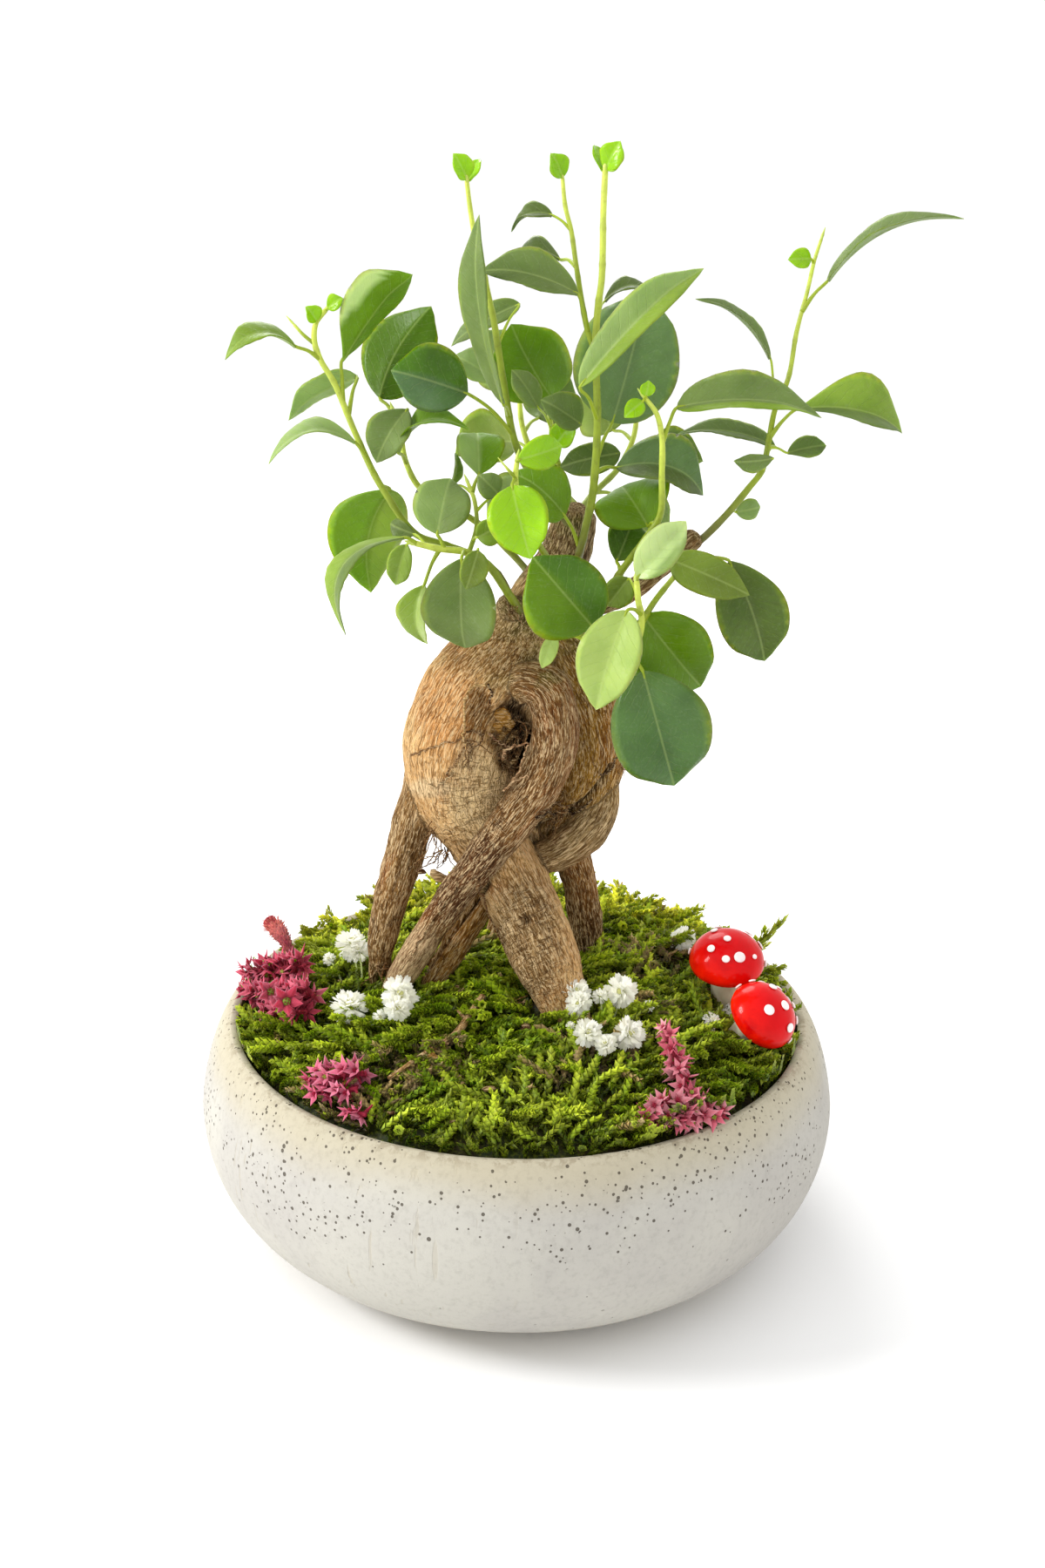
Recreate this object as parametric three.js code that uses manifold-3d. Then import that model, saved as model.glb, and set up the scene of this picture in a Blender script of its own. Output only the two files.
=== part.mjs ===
// Ficus ginseng bonsai in a round concrete bowl: swollen aerial roots on a mound of sheet moss,
// eleven leafy stems, baby's breath, dried pink star flowers, two toy mushrooms and a twig.
// Millimetres, +Z up. The origin is the centre of the bowl's flat foot, and the front faces -Y.
import * as THREE from 'three';
import { mergeVertices } from 'three/addons/utils/BufferGeometryUtils.js';
import Module from 'manifold-3d';

const wasm = await Module();
wasm.setup();

// Driving dimensions: bowl
const BOWL_RADIUS = 100;
const BOWL_HEIGHT = 70;
const BELLY_HEIGHT = 42.7;
const FOOT_RADIUS = 56;
const SHOULDER_RADIUS = 90;
const RIM_INNER_RADIUS = 88;
const LIP_ROUND = 1.6;
const WALL = 9;
const FLOOR_THICKNESS = 9;
const SHOULDER_POWER = 1.52;
const UNDERSIDE_POWER = 2.12;
const BOWL_SECTORS = 40;

// Driving dimensions: filling
const GAP = 0.3;
const SOIL_TOP = 54;
const SOIL_INSET = 0.9;
const SOIL_SECTORS = 20;
const MOSS_RADIUS = 87.2;
const MOSS_CROWN = 81.5;
const MOSS_SECTORS = 26;
const MOSS_RINGS = [17, 34, 50, 64, 76, 84, MOSS_RADIUS];
const MOSS_LUMPS = 70;
const ROOT_DEPTH = 47;
const PIN_RADIUS = 1.1;
const PIN_DEPTH = 60;

// Driving dimensions: plant
const BLADE_THICKNESS = 0.8;
const LEAF_STALK_RADIUS = 0.75;
const BLADE_ROWS = [0.09, 0.32, 0.58, 0.83];
const MIDDLE_BLADE_ROWS = [0.11, 0.42, 0.76];
const SMALL_BLADE_ROWS = [0.16, 0.62];
const MIDDLE_BLADE_WIDTH = 17;
const SMALL_BLADE_WIDTH = 9;

// Driving dimensions: mushrooms
const CAP_RADIUS = 12;
const CAP_HEIGHT = 13;

// The picture's sight lines: the eye's place, the lens in pixels, the view's dip and roll
const EYE = new THREE.Vector3(0.17, -520.1, 338.8);
const LENS = 2100;
const PICTURE_CENTRE = { x: 600, y: 900 };
const VIEW_DIP = THREE.MathUtils.degToRad(20.41);
const VIEW_ROLL = 0.017;
const AHEAD = new THREE.Vector3(0, Math.cos(VIEW_DIP), -Math.sin(VIEW_DIP));
const LEVEL_RIGHT = new THREE.Vector3(1, 0, 0);
const LEVEL_UP = LEVEL_RIGHT.clone().cross(AHEAD);
const RIGHT = LEVEL_RIGHT.clone().multiplyScalar(Math.cos(VIEW_ROLL))
  .addScaledVector(LEVEL_UP, Math.sin(VIEW_ROLL));
const UP = LEVEL_UP.clone().multiplyScalar(Math.cos(VIEW_ROLL))
  .addScaledVector(LEVEL_RIGHT, -Math.sin(VIEW_ROLL));

// Direction of the sight line through a point of the picture
function sightLine(x, y) {
  return AHEAD.clone().multiplyScalar(LENS)
    .addScaledVector(RIGHT, x - PICTURE_CENTRE.x)
    .addScaledVector(UP, PICTURE_CENTRE.y - y);
}

// Real place of a point of the picture that lies at the given depth (Y, in millimetres)
function seen(x, y, depth) {
  const ray = sightLine(x, y);
  return EYE.clone().addScaledVector(ray, (depth - EYE.y) / ray.y);
}

// Point of the picture where a real place shows
function shownAt(place) {
  const away = place.clone().sub(EYE);
  const scale = LENS / away.dot(AHEAD);
  return {
    x: PICTURE_CENTRE.x + scale * away.dot(RIGHT),
    y: PICTURE_CENTRE.y - scale * away.dot(UP),
  };
}

// Seeded draws, so that every run gives the same part
function draws(seed) {
  let state = seed >>> 0;
  return () => {
    state = (state + 0x6d2b79f5) >>> 0;
    let mixed = Math.imul(state ^ (state >>> 15), state | 1);
    mixed ^= mixed + Math.imul(mixed ^ (mixed >>> 7), mixed | 61);
    return ((mixed ^ (mixed >>> 14)) >>> 0) / 4294967296;
  };
}

// Closed solid from a closed geometry, without the triangles that merging leaves with no area
function solidOf(geometry) {
  geometry.deleteAttribute('normal');
  geometry.deleteAttribute('uv');
  const merged = mergeVertices(geometry, 1e-4);
  const index = merged.index.array;
  const corners = [];
  for (let at = 0; at < index.length; at += 3) {
    const [a, b, c] = index.subarray(at, at + 3);
    if (a !== b && b !== c && c !== a) corners.push(a, b, c);
  }
  return new wasm.Manifold(new wasm.Mesh({
    numProp: 3,
    vertProperties: new Float32Array(merged.attributes.position.array),
    triVerts: new Uint32Array(corners),
  }));
}

// Geometry from a list of places and a list of corner triples
function geometryOf(places, corners) {
  const geometry = new THREE.BufferGeometry();
  geometry.setAttribute('position', new THREE.Float32BufferAttribute(
    places.flatMap((place) => [place.x, place.y, place.z]), 3));
  geometry.setIndex(corners);
  return geometry;
}

function joined(solids) {
  return solids.reduce((whole, piece) => whole.add(piece));
}

// The largest body of a solid, without the loose scraps that a cut leaves
function largestBody(solid) {
  const bodies = solid.decompose();
  return bodies.reduce((best, body) => (body.volume() > best.volume() ? body : best));
}

const part = new THREE.Group();

function addMesh(name, solid, colour, roughness) {
  const surface = solid.getMesh();
  const geometry = new THREE.BufferGeometry();
  geometry.setAttribute('position', new THREE.BufferAttribute(surface.vertProperties, 3));
  geometry.setIndex(new THREE.BufferAttribute(surface.triVerts, 1));
  const material = new THREE.MeshStandardMaterial({ color: colour, roughness, metalness: 0 });
  const mesh = new THREE.Mesh(geometry, material);
  mesh.name = name;
  part.add(mesh);
}

// Closed round bar along a smooth line through the places, with a radius at each place
function limb(places, radii, { sides = 8, steps = places.length * 2 - 2, grow = 0 } = {}) {
  const curve = new THREE.CatmullRomCurve3(places, false, 'centripetal');
  const frames = curve.computeFrenetFrames(steps, false);
  const points = [];
  const corners = [];
  const radiusAt = (share) => {
    const at = curve.getUtoTmapping(share) * (radii.length - 1);
    const low = Math.min(Math.floor(at), radii.length - 2);
    return THREE.MathUtils.lerp(radii[low], radii[low + 1], at - low) + grow;
  };
  for (let step = 0; step <= steps; step += 1) {
    const centre = curve.getPointAt(step / steps);
    const radius = radiusAt(step / steps);
    for (let side = 0; side < sides; side += 1) {
      const angle = (side / sides) * Math.PI * 2;
      points.push(centre.clone()
        .addScaledVector(frames.normals[step], Math.cos(angle) * radius)
        .addScaledVector(frames.binormals[step], Math.sin(angle) * radius));
    }
  }
  for (let step = 0; step < steps; step += 1) {
    for (let side = 0; side < sides; side += 1) {
      const a = step * sides + side;
      const b = step * sides + ((side + 1) % sides);
      corners.push(a, b, a + sides, b, b + sides, a + sides);
    }
  }
  const startRadius = radiusAt(0);
  const endRadius = radiusAt(1);
  points.push(curve.getPointAt(0).addScaledVector(frames.tangents[0], -startRadius * 0.5));
  points.push(curve.getPointAt(1).addScaledVector(frames.tangents[steps], endRadius * 0.5));
  const startTip = points.length - 2;
  const endTip = points.length - 1;
  for (let side = 0; side < sides; side += 1) {
    const next = (side + 1) % sides;
    corners.push(startTip, next, side);
    corners.push(endTip, steps * sides + side, steps * sides + next);
  }
  return solidOf(geometryOf(points, corners));
}

// Ball whose surface stands up in seeded points, as petals crowded round a head.
// size holds its three half sizes, and hollow is how far the dips lie in, as a share.
function petalledBall(centre, size, detail, hollow, seed) {
  const draw = draws(seed);
  const geometry = new THREE.IcosahedronGeometry(1, detail);
  geometry.deleteAttribute('normal');
  geometry.deleteAttribute('uv');
  const merged = mergeVertices(geometry, 1e-4);
  const at = merged.attributes.position;
  for (let index = 0; index < at.count; index += 1) {
    const share = draw() < 0.5 ? 1 - draw() * 0.12 : hollow;
    at.setXYZ(index, at.getX(index) * size.x * share, at.getY(index) * size.y * share,
      at.getZ(index) * size.z * share);
  }
  merged.translate(centre.x, centre.y, centre.z);
  return solidOf(merged);
}

// Half width of a leaf blade along its midrib, as a share of its widest half
function bladeShape(along) {
  const widest = 0.42;
  return (along / widest) ** 0.55 * ((1 - along) / (1 - widest)) ** 0.76;
}

// A leaf's own directions and its arched midrib, which runs from base to tip.
// turn swings the upper face from the eye towards the side clockwise of the leaf's direction,
// arch bows the midrib towards the upper face, and sweep bows it towards that clockwise side.
function leafFrame({ base, tip, turn, arch, sweep }) {
  const line = tip.clone().sub(base);
  const length = line.length();
  line.normalize();
  const face = EYE.clone().sub(base.clone().add(tip).multiplyScalar(0.5)).normalize();
  face.addScaledVector(line, -face.dot(line)).normalize();
  face.applyAxisAngle(line, THREE.MathUtils.degToRad(turn));
  const across = line.clone().cross(face);
  const midribAt = (along) => base.clone()
    .addScaledVector(line, length * along)
    .addScaledVector(face, arch * length * 4 * along * (1 - along))
    .addScaledVector(across, sweep * length * 4 * along * (1 - along));
  const normalAt = (along) => across.clone().cross(line.clone()
    .addScaledVector(face, arch * 4 * (1 - 2 * along))
    .addScaledVector(across, sweep * 4 * (1 - 2 * along)))
    .normalize();
  return { face, across, midribAt, normalAt };
}

// Six places round a leaf stalk of three sides, each side's corner given twice
function stalkSection(centre, face, across, radius) {
  const top = centre.clone().addScaledVector(face, radius);
  const right = centre.clone().addScaledVector(across, radius).addScaledVector(face, -radius / 2);
  const left = centre.clone().addScaledVector(across, -radius).addScaledVector(face, -radius / 2);
  return [left, top, top, right, right, left];
}

// Six places round a leaf blade: its upper face's left edge, middle and right edge, then its
// lower face's right edge, middle and left edge
function bladeSection(frame, along, width, fold) {
  const half = bladeShape(along) * width * 0.5;
  const lift = Math.sin(THREE.MathUtils.degToRad(fold)) * half;
  const reach = Math.cos(THREE.MathUtils.degToRad(fold)) * half;
  const normal = frame.normalAt(along);
  const place = (side, layer) => frame.midribAt(along)
    .addScaledVector(frame.across, side * reach)
    .addScaledVector(frame.face, Math.abs(side) * lift)
    .addScaledVector(normal, layer * BLADE_THICKNESS * 0.5);
  return [place(-1, 1), place(0, 1), place(1, 1), place(1, -1), place(0, -1), place(-1, -1)];
}

// Shares along a blade where its outline is drawn, more of them on a wide blade
function bladeRows(width) {
  if (width < SMALL_BLADE_WIDTH) return SMALL_BLADE_ROWS;
  return width < MIDDLE_BLADE_WIDTH ? MIDDLE_BLADE_ROWS : BLADE_ROWS;
}

// One leaf with its stalk, as a single skin from inside the stem to the blade's tip
function leafSolid(from, { base, tip, width, turn, arch, fold, sweep }) {
  const frame = leafFrame({ base, tip, turn, arch, sweep });
  const rise = base.clone().sub(from);
  const bend = from.clone().addScaledVector(rise, 0.5);
  bend.z += Math.min(1.5, rise.length() * 0.08);
  const stalkFace = frame.face.clone();
  stalkFace.addScaledVector(rise, -stalkFace.dot(rise) / rise.lengthSq()).normalize();
  const stalkAcross = rise.clone().normalize().cross(stalkFace);
  const rows = bladeRows(width);
  const sections = [
    stalkSection(from, stalkFace, stalkAcross, LEAF_STALK_RADIUS),
    stalkSection(bend, stalkFace, stalkAcross, LEAF_STALK_RADIUS),
    stalkSection(base, frame.normalAt(0), frame.across, LEAF_STALK_RADIUS),
    ...rows.map((along) => bladeSection(frame, along, width, fold)),
  ];
  const places = [...sections.flat(), frame.midribAt(1)];
  const corners = [];
  sections.slice(1).forEach((_, index) => {
    for (let side = 0; side < 6; side += 1) {
      const a = index * 6 + side;
      const b = index * 6 + ((side + 1) % 6);
      corners.push(a, b, a + 6, b, b + 6, a + 6);
    }
  });
  const last = (sections.length - 1) * 6;
  for (let side = 0; side < 6; side += 1) {
    corners.push(last + side, last + ((side + 1) % 6), places.length - 1);
  }
  corners.push(0, 3, 1);
  return solidOf(geometryOf(places, corners));
}

// A stem's centre line from its picture points, each with its depth
function stemLine(points) {
  return new THREE.CatmullRomCurve3(points.map(([x, y, depth]) => seen(x, y, depth)),
    false, 'centripetal');
}

// The place on the stems that shows nearest to a point of the picture
function nearestOnStems(lines, [x, y]) {
  let best = null;
  let bestDistance = Infinity;
  for (const line of lines) {
    for (const place of line.getSpacedPoints(60)) {
      const at = shownAt(place);
      const distance = Math.hypot(at.x - x, at.y - y);
      if (distance < bestDistance) {
        bestDistance = distance;
        best = place;
      }
    }
  }
  return best;
}

// A shoot's leaf from its catalogue entry: stalk, base and tip are picture points, depth holds
// the depths of the blade's base and tip, and width is the blade's real width.
function shootLeaf(lines, entry) {
  const { stalk, base, tip, depth, width, turn = 0, arch = 0.05, fold = 14, sweep = 0 } = entry;
  return leafSolid(nearestOnStems(lines, stalk), {
    base: seen(base[0], base[1], depth[0]),
    tip: seen(tip[0], tip[1], depth[1]),
    width, turn, arch, fold, sweep,
  });
}

// Shoots: each stem is a list of picture points with depths and two radii, and each leaf names
// where its stalk leaves the stem, its base, its tip, their depths and its real width.
const SHOOTS = {
  shoot_far_left: {
    stems: {
      main: {
        points: [[588, 690, -6], [572, 660, -10], [548, 640, -14], [512, 626, -15],
          [480, 615, -14], [465, 600, -13], [445, 570, -12], [430, 545, -10], [407, 495, -8],
          [384, 440, -5], [368, 413, -4], [361, 392, -3], [363, 370, -3], [374, 356, -3]],
        radii: [1.5, 0.9],
      },
      twiglet: { points: [[360, 394, -3], [348, 384, -2], [338, 373, -1]], radii: [0.7, 0.5] },
    },
    leaves: {
      arched_tip: { stalk: [368, 413], base: [340, 398], tip: [258, 408], depth: [-6, -12],
        width: 13, turn: 66, arch: 0.26 },
      tall_folded: { stalk: [393, 460], base: [392, 415], tip: [478, 320], depth: [-3, 2],
        width: 24, turn: -132, arch: 0.24, fold: 18 },
      pale_behind: { stalk: [400, 478], base: [410, 432], tip: [329, 478], depth: [6, 2],
        width: 14, turn: 132, arch: 0.08 },
      low_arch: { stalk: [430, 545], base: [408, 508], tip: [308, 530], depth: [-13, -21],
        width: 13, turn: 66, arch: 0.25 },
      round_backlit: { stalk: [438, 560], base: [448, 562], tip: [424, 677], depth: [-7, -1],
        width: 25, turn: 160, arch: 0.1, sweep: -0.08 },
      young_round: { stalk: [363, 372], base: [364, 369], tip: [352, 352], depth: [-4, -6],
        width: 5.5, turn: 20 },
      young_tip: { stalk: [374, 356], base: [376, 354], tip: [393, 342], depth: [-4, -6],
        width: 5, turn: -20 },
    },
  },
  shoot_left_back: {
    stems: {
      main: {
        points: [[622, 676, 4], [592, 640, 10], [556, 606, 10], [520, 582, 6], [482, 560, 1],
          [466, 530, 1], [460, 500, 3], [452, 474, 6]],
        radii: [1.4, 0.9],
      },
    },
    leaves: {
      backlit_upright: { stalk: [454, 480], base: [436, 457], tip: [496, 353], depth: [12, 20],
        width: 22, turn: 165, arch: 0.06, sweep: 0.1 },
      cupped_pale: { stalk: [461, 505], base: [468, 470], tip: [432, 531], depth: [-6, -12],
        width: 13.5, turn: 25, arch: 0.12 },
      dark_arch: { stalk: [466, 530], base: [457, 519], tip: [538, 490], depth: [-7, -12],
        width: 12, turn: -70, arch: 0.27 },
    },
  },
  shoot_left_low: {
    stems: {
      main: {
        points: [[602, 708, -8], [580, 676, -17], [560, 648, -22], [536, 634, -24],
          [505, 630, -25], [478, 624, -26]],
        radii: [1.6, 1.1],
      },
      riser: { points: [[538, 636, -24], [547, 606, -20], [545, 575, -16], [538, 556, -13]],
        radii: [0.9, 0.7] },
    },
    leaves: {
      long_hooked: { stalk: [480, 624], base: [465, 617], tip: [393, 727], depth: [-28, -34],
        width: 13, turn: 66, arch: 0.34, fold: 10 },
      small_down: { stalk: [484, 626], base: [467, 625], tip: [454, 672], depth: [-23, -22],
        width: 8.5, turn: 20, fold: 24 },
      dark_sliver: { stalk: [490, 627], base: [476, 613], tip: [447, 601], depth: [-21, -17],
        width: 6, turn: -20 },
      dusty_upright: { stalk: [510, 630], base: [502, 613], tip: [517, 548], depth: [-25, -16],
        width: 17, turn: -8, arch: 0.1 },
      edge_on: { stalk: [541, 566], base: [520, 556], tip: [524, 520], depth: [-8, -4],
        width: 6, turn: 70 },
      olive_folded: { stalk: [542, 566], base: [550, 545], tip: [548, 494], depth: [-9, 3],
        width: 15, turn: 8, fold: 24 },
      dusty_small: { stalk: [546, 585], base: [572, 567], tip: [550, 545], depth: [-15, -16],
        width: 8, turn: 10 },
      pale_stub: { stalk: [545, 618], base: [548, 617], tip: [577, 601], depth: [-27, -28],
        width: 8, turn: 10 },
      large_hanging: { stalk: [530, 634], base: [530, 641], tip: [533, 747], depth: [-31, -27],
        width: 22, turn: 10, arch: 0.12 },
      small_oval: { stalk: [545, 640], base: [549, 632], tip: [535, 677], depth: [-37, -38],
        width: 8, turn: -8 },
      pale_crescent: { stalk: [505, 631], base: [487, 672], tip: [489, 740], depth: [-20, -20],
        width: 12, turn: 42, arch: 0.2 },
    },
  },
  shoot_front_young: {
    stems: {
      main: {
        points: [[640, 660, -4], [628, 640, -18], [608, 606, -29], [594, 570, -34],
          [592, 545, -36], [594, 529, -37]],
        radii: [1.3, 0.9],
      },
      bud: { points: [[592, 548, -36], [586, 542, -37], [580, 535, -38]], radii: [0.8, 0.4] },
    },
    leaves: {
      bright_hanging: { stalk: [592, 552], base: [588, 558], tip: [609, 642],
        depth: [-41, -46], width: 18, turn: 4, arch: 0.14 },
      young_top: { stalk: [594, 530], base: [595, 528], tip: [647, 511], depth: [-39, -32],
        width: 9.5, turn: 8, arch: 0.08 },
    },
  },
  shoot_tall: {
    stems: {
      main: {
        points: [[661, 652, 0], [666, 632, -9], [673, 603, -12], [680, 570, -13],
          [684, 530, -14], [686, 480, -14], [684, 395, -13], [687, 350, -12], [691, 320, -12],
          [693, 240, -11], [695, 196, -10]],
        radii: [1.7, 1.0],
      },
      side: {
        points: [[685, 408, -13], [675, 380, -10], [668, 345, -8], [661, 300, -6],
          [656, 265, -5], [649, 236, -4], [646, 205, -3]],
        radii: [1.1, 0.7],
      },
    },
    leaves: {
      dark_level: { stalk: [676, 384], base: [656, 346], tip: [553, 309], depth: [-12, -13],
        width: 14.5, turn: 35, arch: 0.1 },
      high_arch: { stalk: [662, 305], base: [643, 298], tip: [590, 303], depth: [4, 8],
        width: 11, turn: 66, arch: 0.26 },
      crop_edge: { stalk: [656, 265], base: [634, 247], tip: [586, 263], depth: [-3, -1],
        width: 9, turn: 66, arch: 0.2 },
      long_diagonal: { stalk: [686, 482], base: [666, 444], tip: [806, 302], depth: [-26, -16],
        width: 12.5, turn: -28, arch: 0.07, fold: 20 },
      round_dusty: { stalk: [685, 530], base: [703, 485], tip: [743, 333], depth: [-4, 6],
        width: 31, turn: 8, arch: 0.08 },
      short_arch: { stalk: [686, 372], base: [694, 346], tip: [751, 337], depth: [10, 12],
        width: 9, turn: -66, arch: 0.24 },
      dark_low: { stalk: [666, 632], base: [648, 592], tip: [590, 541], depth: [-16, -18],
        width: 17, turn: 30, arch: 0.12 },
      shadowed_hook: { stalk: [684, 545], base: [708, 537], tip: [809, 566], depth: [-5, -4],
        width: 18, turn: -38, arch: 0.27 },
      crown_bud_left: { stalk: [646, 207], base: [646, 204], tip: [634, 176], depth: [-3, -5],
        width: 7, turn: 30 },
      crown_bud_right: { stalk: [695, 198], base: [696, 195], tip: [712, 162],
        depth: [-10, -12], width: 8, turn: -30 },
      crown_bud_back: { stalk: [695, 200], base: [693, 196], tip: [683, 166], depth: [-9, -4],
        width: 6, turn: 40 },
    },
  },
  shoot_centre: {
    stems: {
      main: {
        points: [[664, 612, 8], [655, 582, 13], [644, 545, 13], [636, 510, 11], [631, 476, 10]],
        radii: [1.4, 0.9],
      },
    },
    leaves: {
      backlit_olive: { stalk: [632, 482], base: [632, 456], tip: [586, 373], depth: [8, 14],
        width: 27, turn: -160, arch: 0.08 },
      grey_behind: { stalk: [633, 490], base: [618, 468], tip: [589, 424], depth: [2, 2],
        width: 9, turn: 30 },
      dusty_level: { stalk: [637, 512], base: [667, 487], tip: [622, 458], depth: [-1, -3],
        width: 11, turn: 20 },
      bright_small: { stalk: [636, 510], base: [638, 510], tip: [661, 483], depth: [0, -2],
        width: 8, turn: -10 },
      dark_wings: { stalk: [642, 540], base: [712, 520], tip: [641, 536], depth: [0, 2],
        width: 10, turn: 12, arch: 0.08 },
    },
  },
  shoot_top_left: {
    stems: {
      main: {
        points: [[656, 606, 0], [634, 576, 0], [610, 545, 0], [592, 510, 1], [580, 450, 3],
          [572, 400, 4], [567, 368, 5], [560, 335, 6], [553, 300, 6], [545, 270, 7],
          [540, 240, 7], [536, 208, 7]],
        radii: [1.6, 0.8],
      },
    },
    leaves: {
      tall_narrow: { stalk: [584, 478], base: [578, 464], tip: [546, 248], depth: [-10, -20],
        width: 13, turn: -58, arch: 0.06 },
      dark_glossy: { stalk: [590, 500], base: [537, 452], tip: [449, 425], depth: [-6, -10],
        width: 19, turn: 12, arch: 0.08 },
      pale_back: { stalk: [572, 398], base: [597, 349], tip: [517, 396], depth: [15, 19],
        width: 9, turn: 40, arch: 0.06 },
      pale_low: { stalk: [580, 448], base: [571, 437], tip: [521, 407], depth: [9, 15],
        width: 10, turn: 20 },
      crown_bud: { stalk: [536, 210], base: [536, 206], tip: [521, 176], depth: [7, 5],
        width: 7, turn: 30 },
      crown_bud_back: { stalk: [537, 212], base: [538, 207], tip: [551, 182], depth: [8, 12],
        width: 6, turn: -40 },
    },
  },
  shoot_mid_right: {
    stems: {
      main: {
        points: [[694, 692, -4], [712, 658, -14], [740, 620, -19], [758, 592, -21],
          [760, 545, -21], [760, 502, -20], [754, 475, -19], [741, 457, -18]],
        radii: [1.5, 0.8],
      },
    },
    leaves: {
      long_level: { stalk: [760, 508], base: [777, 468], tip: [944, 474], depth: [-15, -18],
        width: 17, turn: -52, arch: 0.09 },
      young_left: { stalk: [742, 459], base: [738, 461], tip: [717, 479], depth: [-19, -21],
        width: 5.5, turn: 10 },
      young_up: { stalk: [742, 458], base: [742, 455], tip: [745, 437], depth: [-19, -20],
        width: 4.5, turn: 10 },
      broad_olive: { stalk: [752, 602], base: [744, 604], tip: [713, 557], depth: [-12, 0],
        width: 24, turn: 10, arch: 0.1 },
      dark_upright: { stalk: [712, 658], base: [708, 644], tip: [728, 594], depth: [-10, -2],
        width: 12.5, turn: 8 },
    },
  },
  shoot_right: {
    stems: {
      main: {
        points: [[788, 630, -9], [802, 622, -9], [835, 590, -8], [860, 560, -6], [875, 540, -5],
          [883, 505, -3], [890, 470, -1], [905, 435, 1], [915, 380, 4], [927, 335, 6],
          [935, 300, 7], [943, 275, 8]],
        radii: [1.5, 0.6],
      },
    },
    leaves: {
      waved_right: { stalk: [884, 505], base: [914, 470], tip: [1038, 494], depth: [-4, 0],
        width: 18, turn: -42, arch: 0.1 },
      thin_left: { stalk: [890, 468], base: [885, 412], tip: [804, 338], depth: [6, 2],
        width: 9, turn: 74, arch: 0.1 },
      long_thin: { stalk: [926, 358], base: [950, 323], tip: [1106, 249], depth: [5, -2],
        width: 12, turn: -76, arch: 0.15 },
      young_left: { stalk: [934, 300], base: [931, 297], tip: [905, 298], depth: [6, 4],
        width: 6, turn: 10 },
      level_left: { stalk: [880, 520], base: [890, 513], tip: [777, 497], depth: [4, 2],
        width: 10, turn: 58, arch: 0.1 },
      small_right: { stalk: [882, 512], base: [904, 520], tip: [949, 511], depth: [0, 2],
        width: 7.5, turn: -30, arch: 0.05 },
      small_pale: { stalk: [874, 542], base: [888, 526], tip: [843, 530], depth: [-10, -12],
        width: 6, turn: -30 },
      small_low: { stalk: [838, 588], base: [845, 588], tip: [874, 582], depth: [0, 3],
        width: 6.5, turn: 10 },
    },
  },
  shoot_lower_right: {
    stems: {
      main: {
        points: [[630, 704, -2], [648, 714, -10], [664, 728, -22], [686, 742, -32], [712, 744, -37],
          [731, 736, -38], [737, 714, -37], [733, 690, -34], [731, 668, -31]],
        radii: [1.5, 1.1],
      },
      riser: { points: [[736, 716, -37], [752, 690, -30], [780, 655, -22], [792, 640, -18]],
        radii: [1.2, 0.9] },
    },
    leaves: {
      glossy_up: { stalk: [731, 670], base: [732, 663], tip: [788, 598], depth: [-31, -28],
        width: 12, turn: -8, fold: 20 },
      big_round: { stalk: [710, 744], base: [681, 720], tip: [612, 640], depth: [-37, -38],
        width: 25, turn: 0, arch: 0.08 },
      bright_hanging: { stalk: [735, 706], base: [720, 701], tip: [684, 815],
        depth: [-45, -50], width: 18, turn: 12, arch: 0.12 },
      tiny_on_neck: { stalk: [684, 741], base: [637, 728], tip: [622, 768], depth: [-30, -29],
        width: 5, turn: 0 },
      olive_behind: { stalk: [733, 690], base: [722, 664], tip: [697, 696], depth: [-24, -20],
        width: 9, turn: 0 },
      level_right: { stalk: [780, 655], base: [771, 643], tip: [861, 683], depth: [-22, -26],
        width: 12.5, turn: -12, arch: 0.06 },
      dark_right: { stalk: [790, 642], base: [838, 644], tip: [878, 756], depth: [-15, -16],
        width: 22, turn: 6, arch: 0.07 },
      round_behind: { stalk: [737, 712], base: [738, 706], tip: [806, 790], depth: [-33, -27],
        width: 25, turn: 6, arch: 0.08 },
      big_front: { stalk: [714, 745], base: [738, 770], tip: [775, 905], depth: [-41, -42],
        width: 29.5, turn: 0, arch: 0.08 },
    },
  },
  shoot_back: {
    stems: {
      left: {
        points: [[660, 600, 8], [664, 586, 22], [646, 564, 30], [616, 530, 36],
          [600, 490, 38], [596, 450, 40]],
        radii: [1.7, 0.9],
      },
      right: {
        points: [[664, 588, 20], [682, 566, 30], [712, 535, 38], [728, 500, 42],
          [732, 460, 44]],
        radii: [1.4, 0.9],
      },
    },
    leaves: {
      left_low: { stalk: [638, 566], base: [612, 568], tip: [560, 600], depth: [34, 44],
        width: 19, turn: 160, arch: 0.1 },
      left_middle: { stalk: [612, 520], base: [590, 506], tip: [524, 520], depth: [42, 50],
        width: 20, turn: 150, arch: 0.12 },
      left_behind: { stalk: [602, 496], base: [618, 480], tip: [652, 430], depth: [48, 60],
        width: 20, turn: 170, arch: 0.1 },
      left_top: { stalk: [596, 452], base: [590, 440], tip: [548, 380], depth: [42, 48],
        width: 20, turn: 165, arch: 0.1 },
      right_low: { stalk: [688, 570], base: [716, 574], tip: [768, 610], depth: [38, 46],
        width: 19, turn: -160, arch: 0.1 },
      right_middle: { stalk: [716, 532], base: [740, 524], tip: [806, 528], depth: [44, 52],
        width: 18, turn: -155, arch: 0.12 },
      right_behind: { stalk: [726, 506], base: [704, 494], tip: [672, 440], depth: [54, 66],
        width: 20, turn: 170, arch: 0.1 },
      right_top: { stalk: [732, 462], base: [736, 450], tip: [760, 380], depth: [48, 54],
        width: 20, turn: -165, arch: 0.1 },
    },
  },
};

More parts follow.
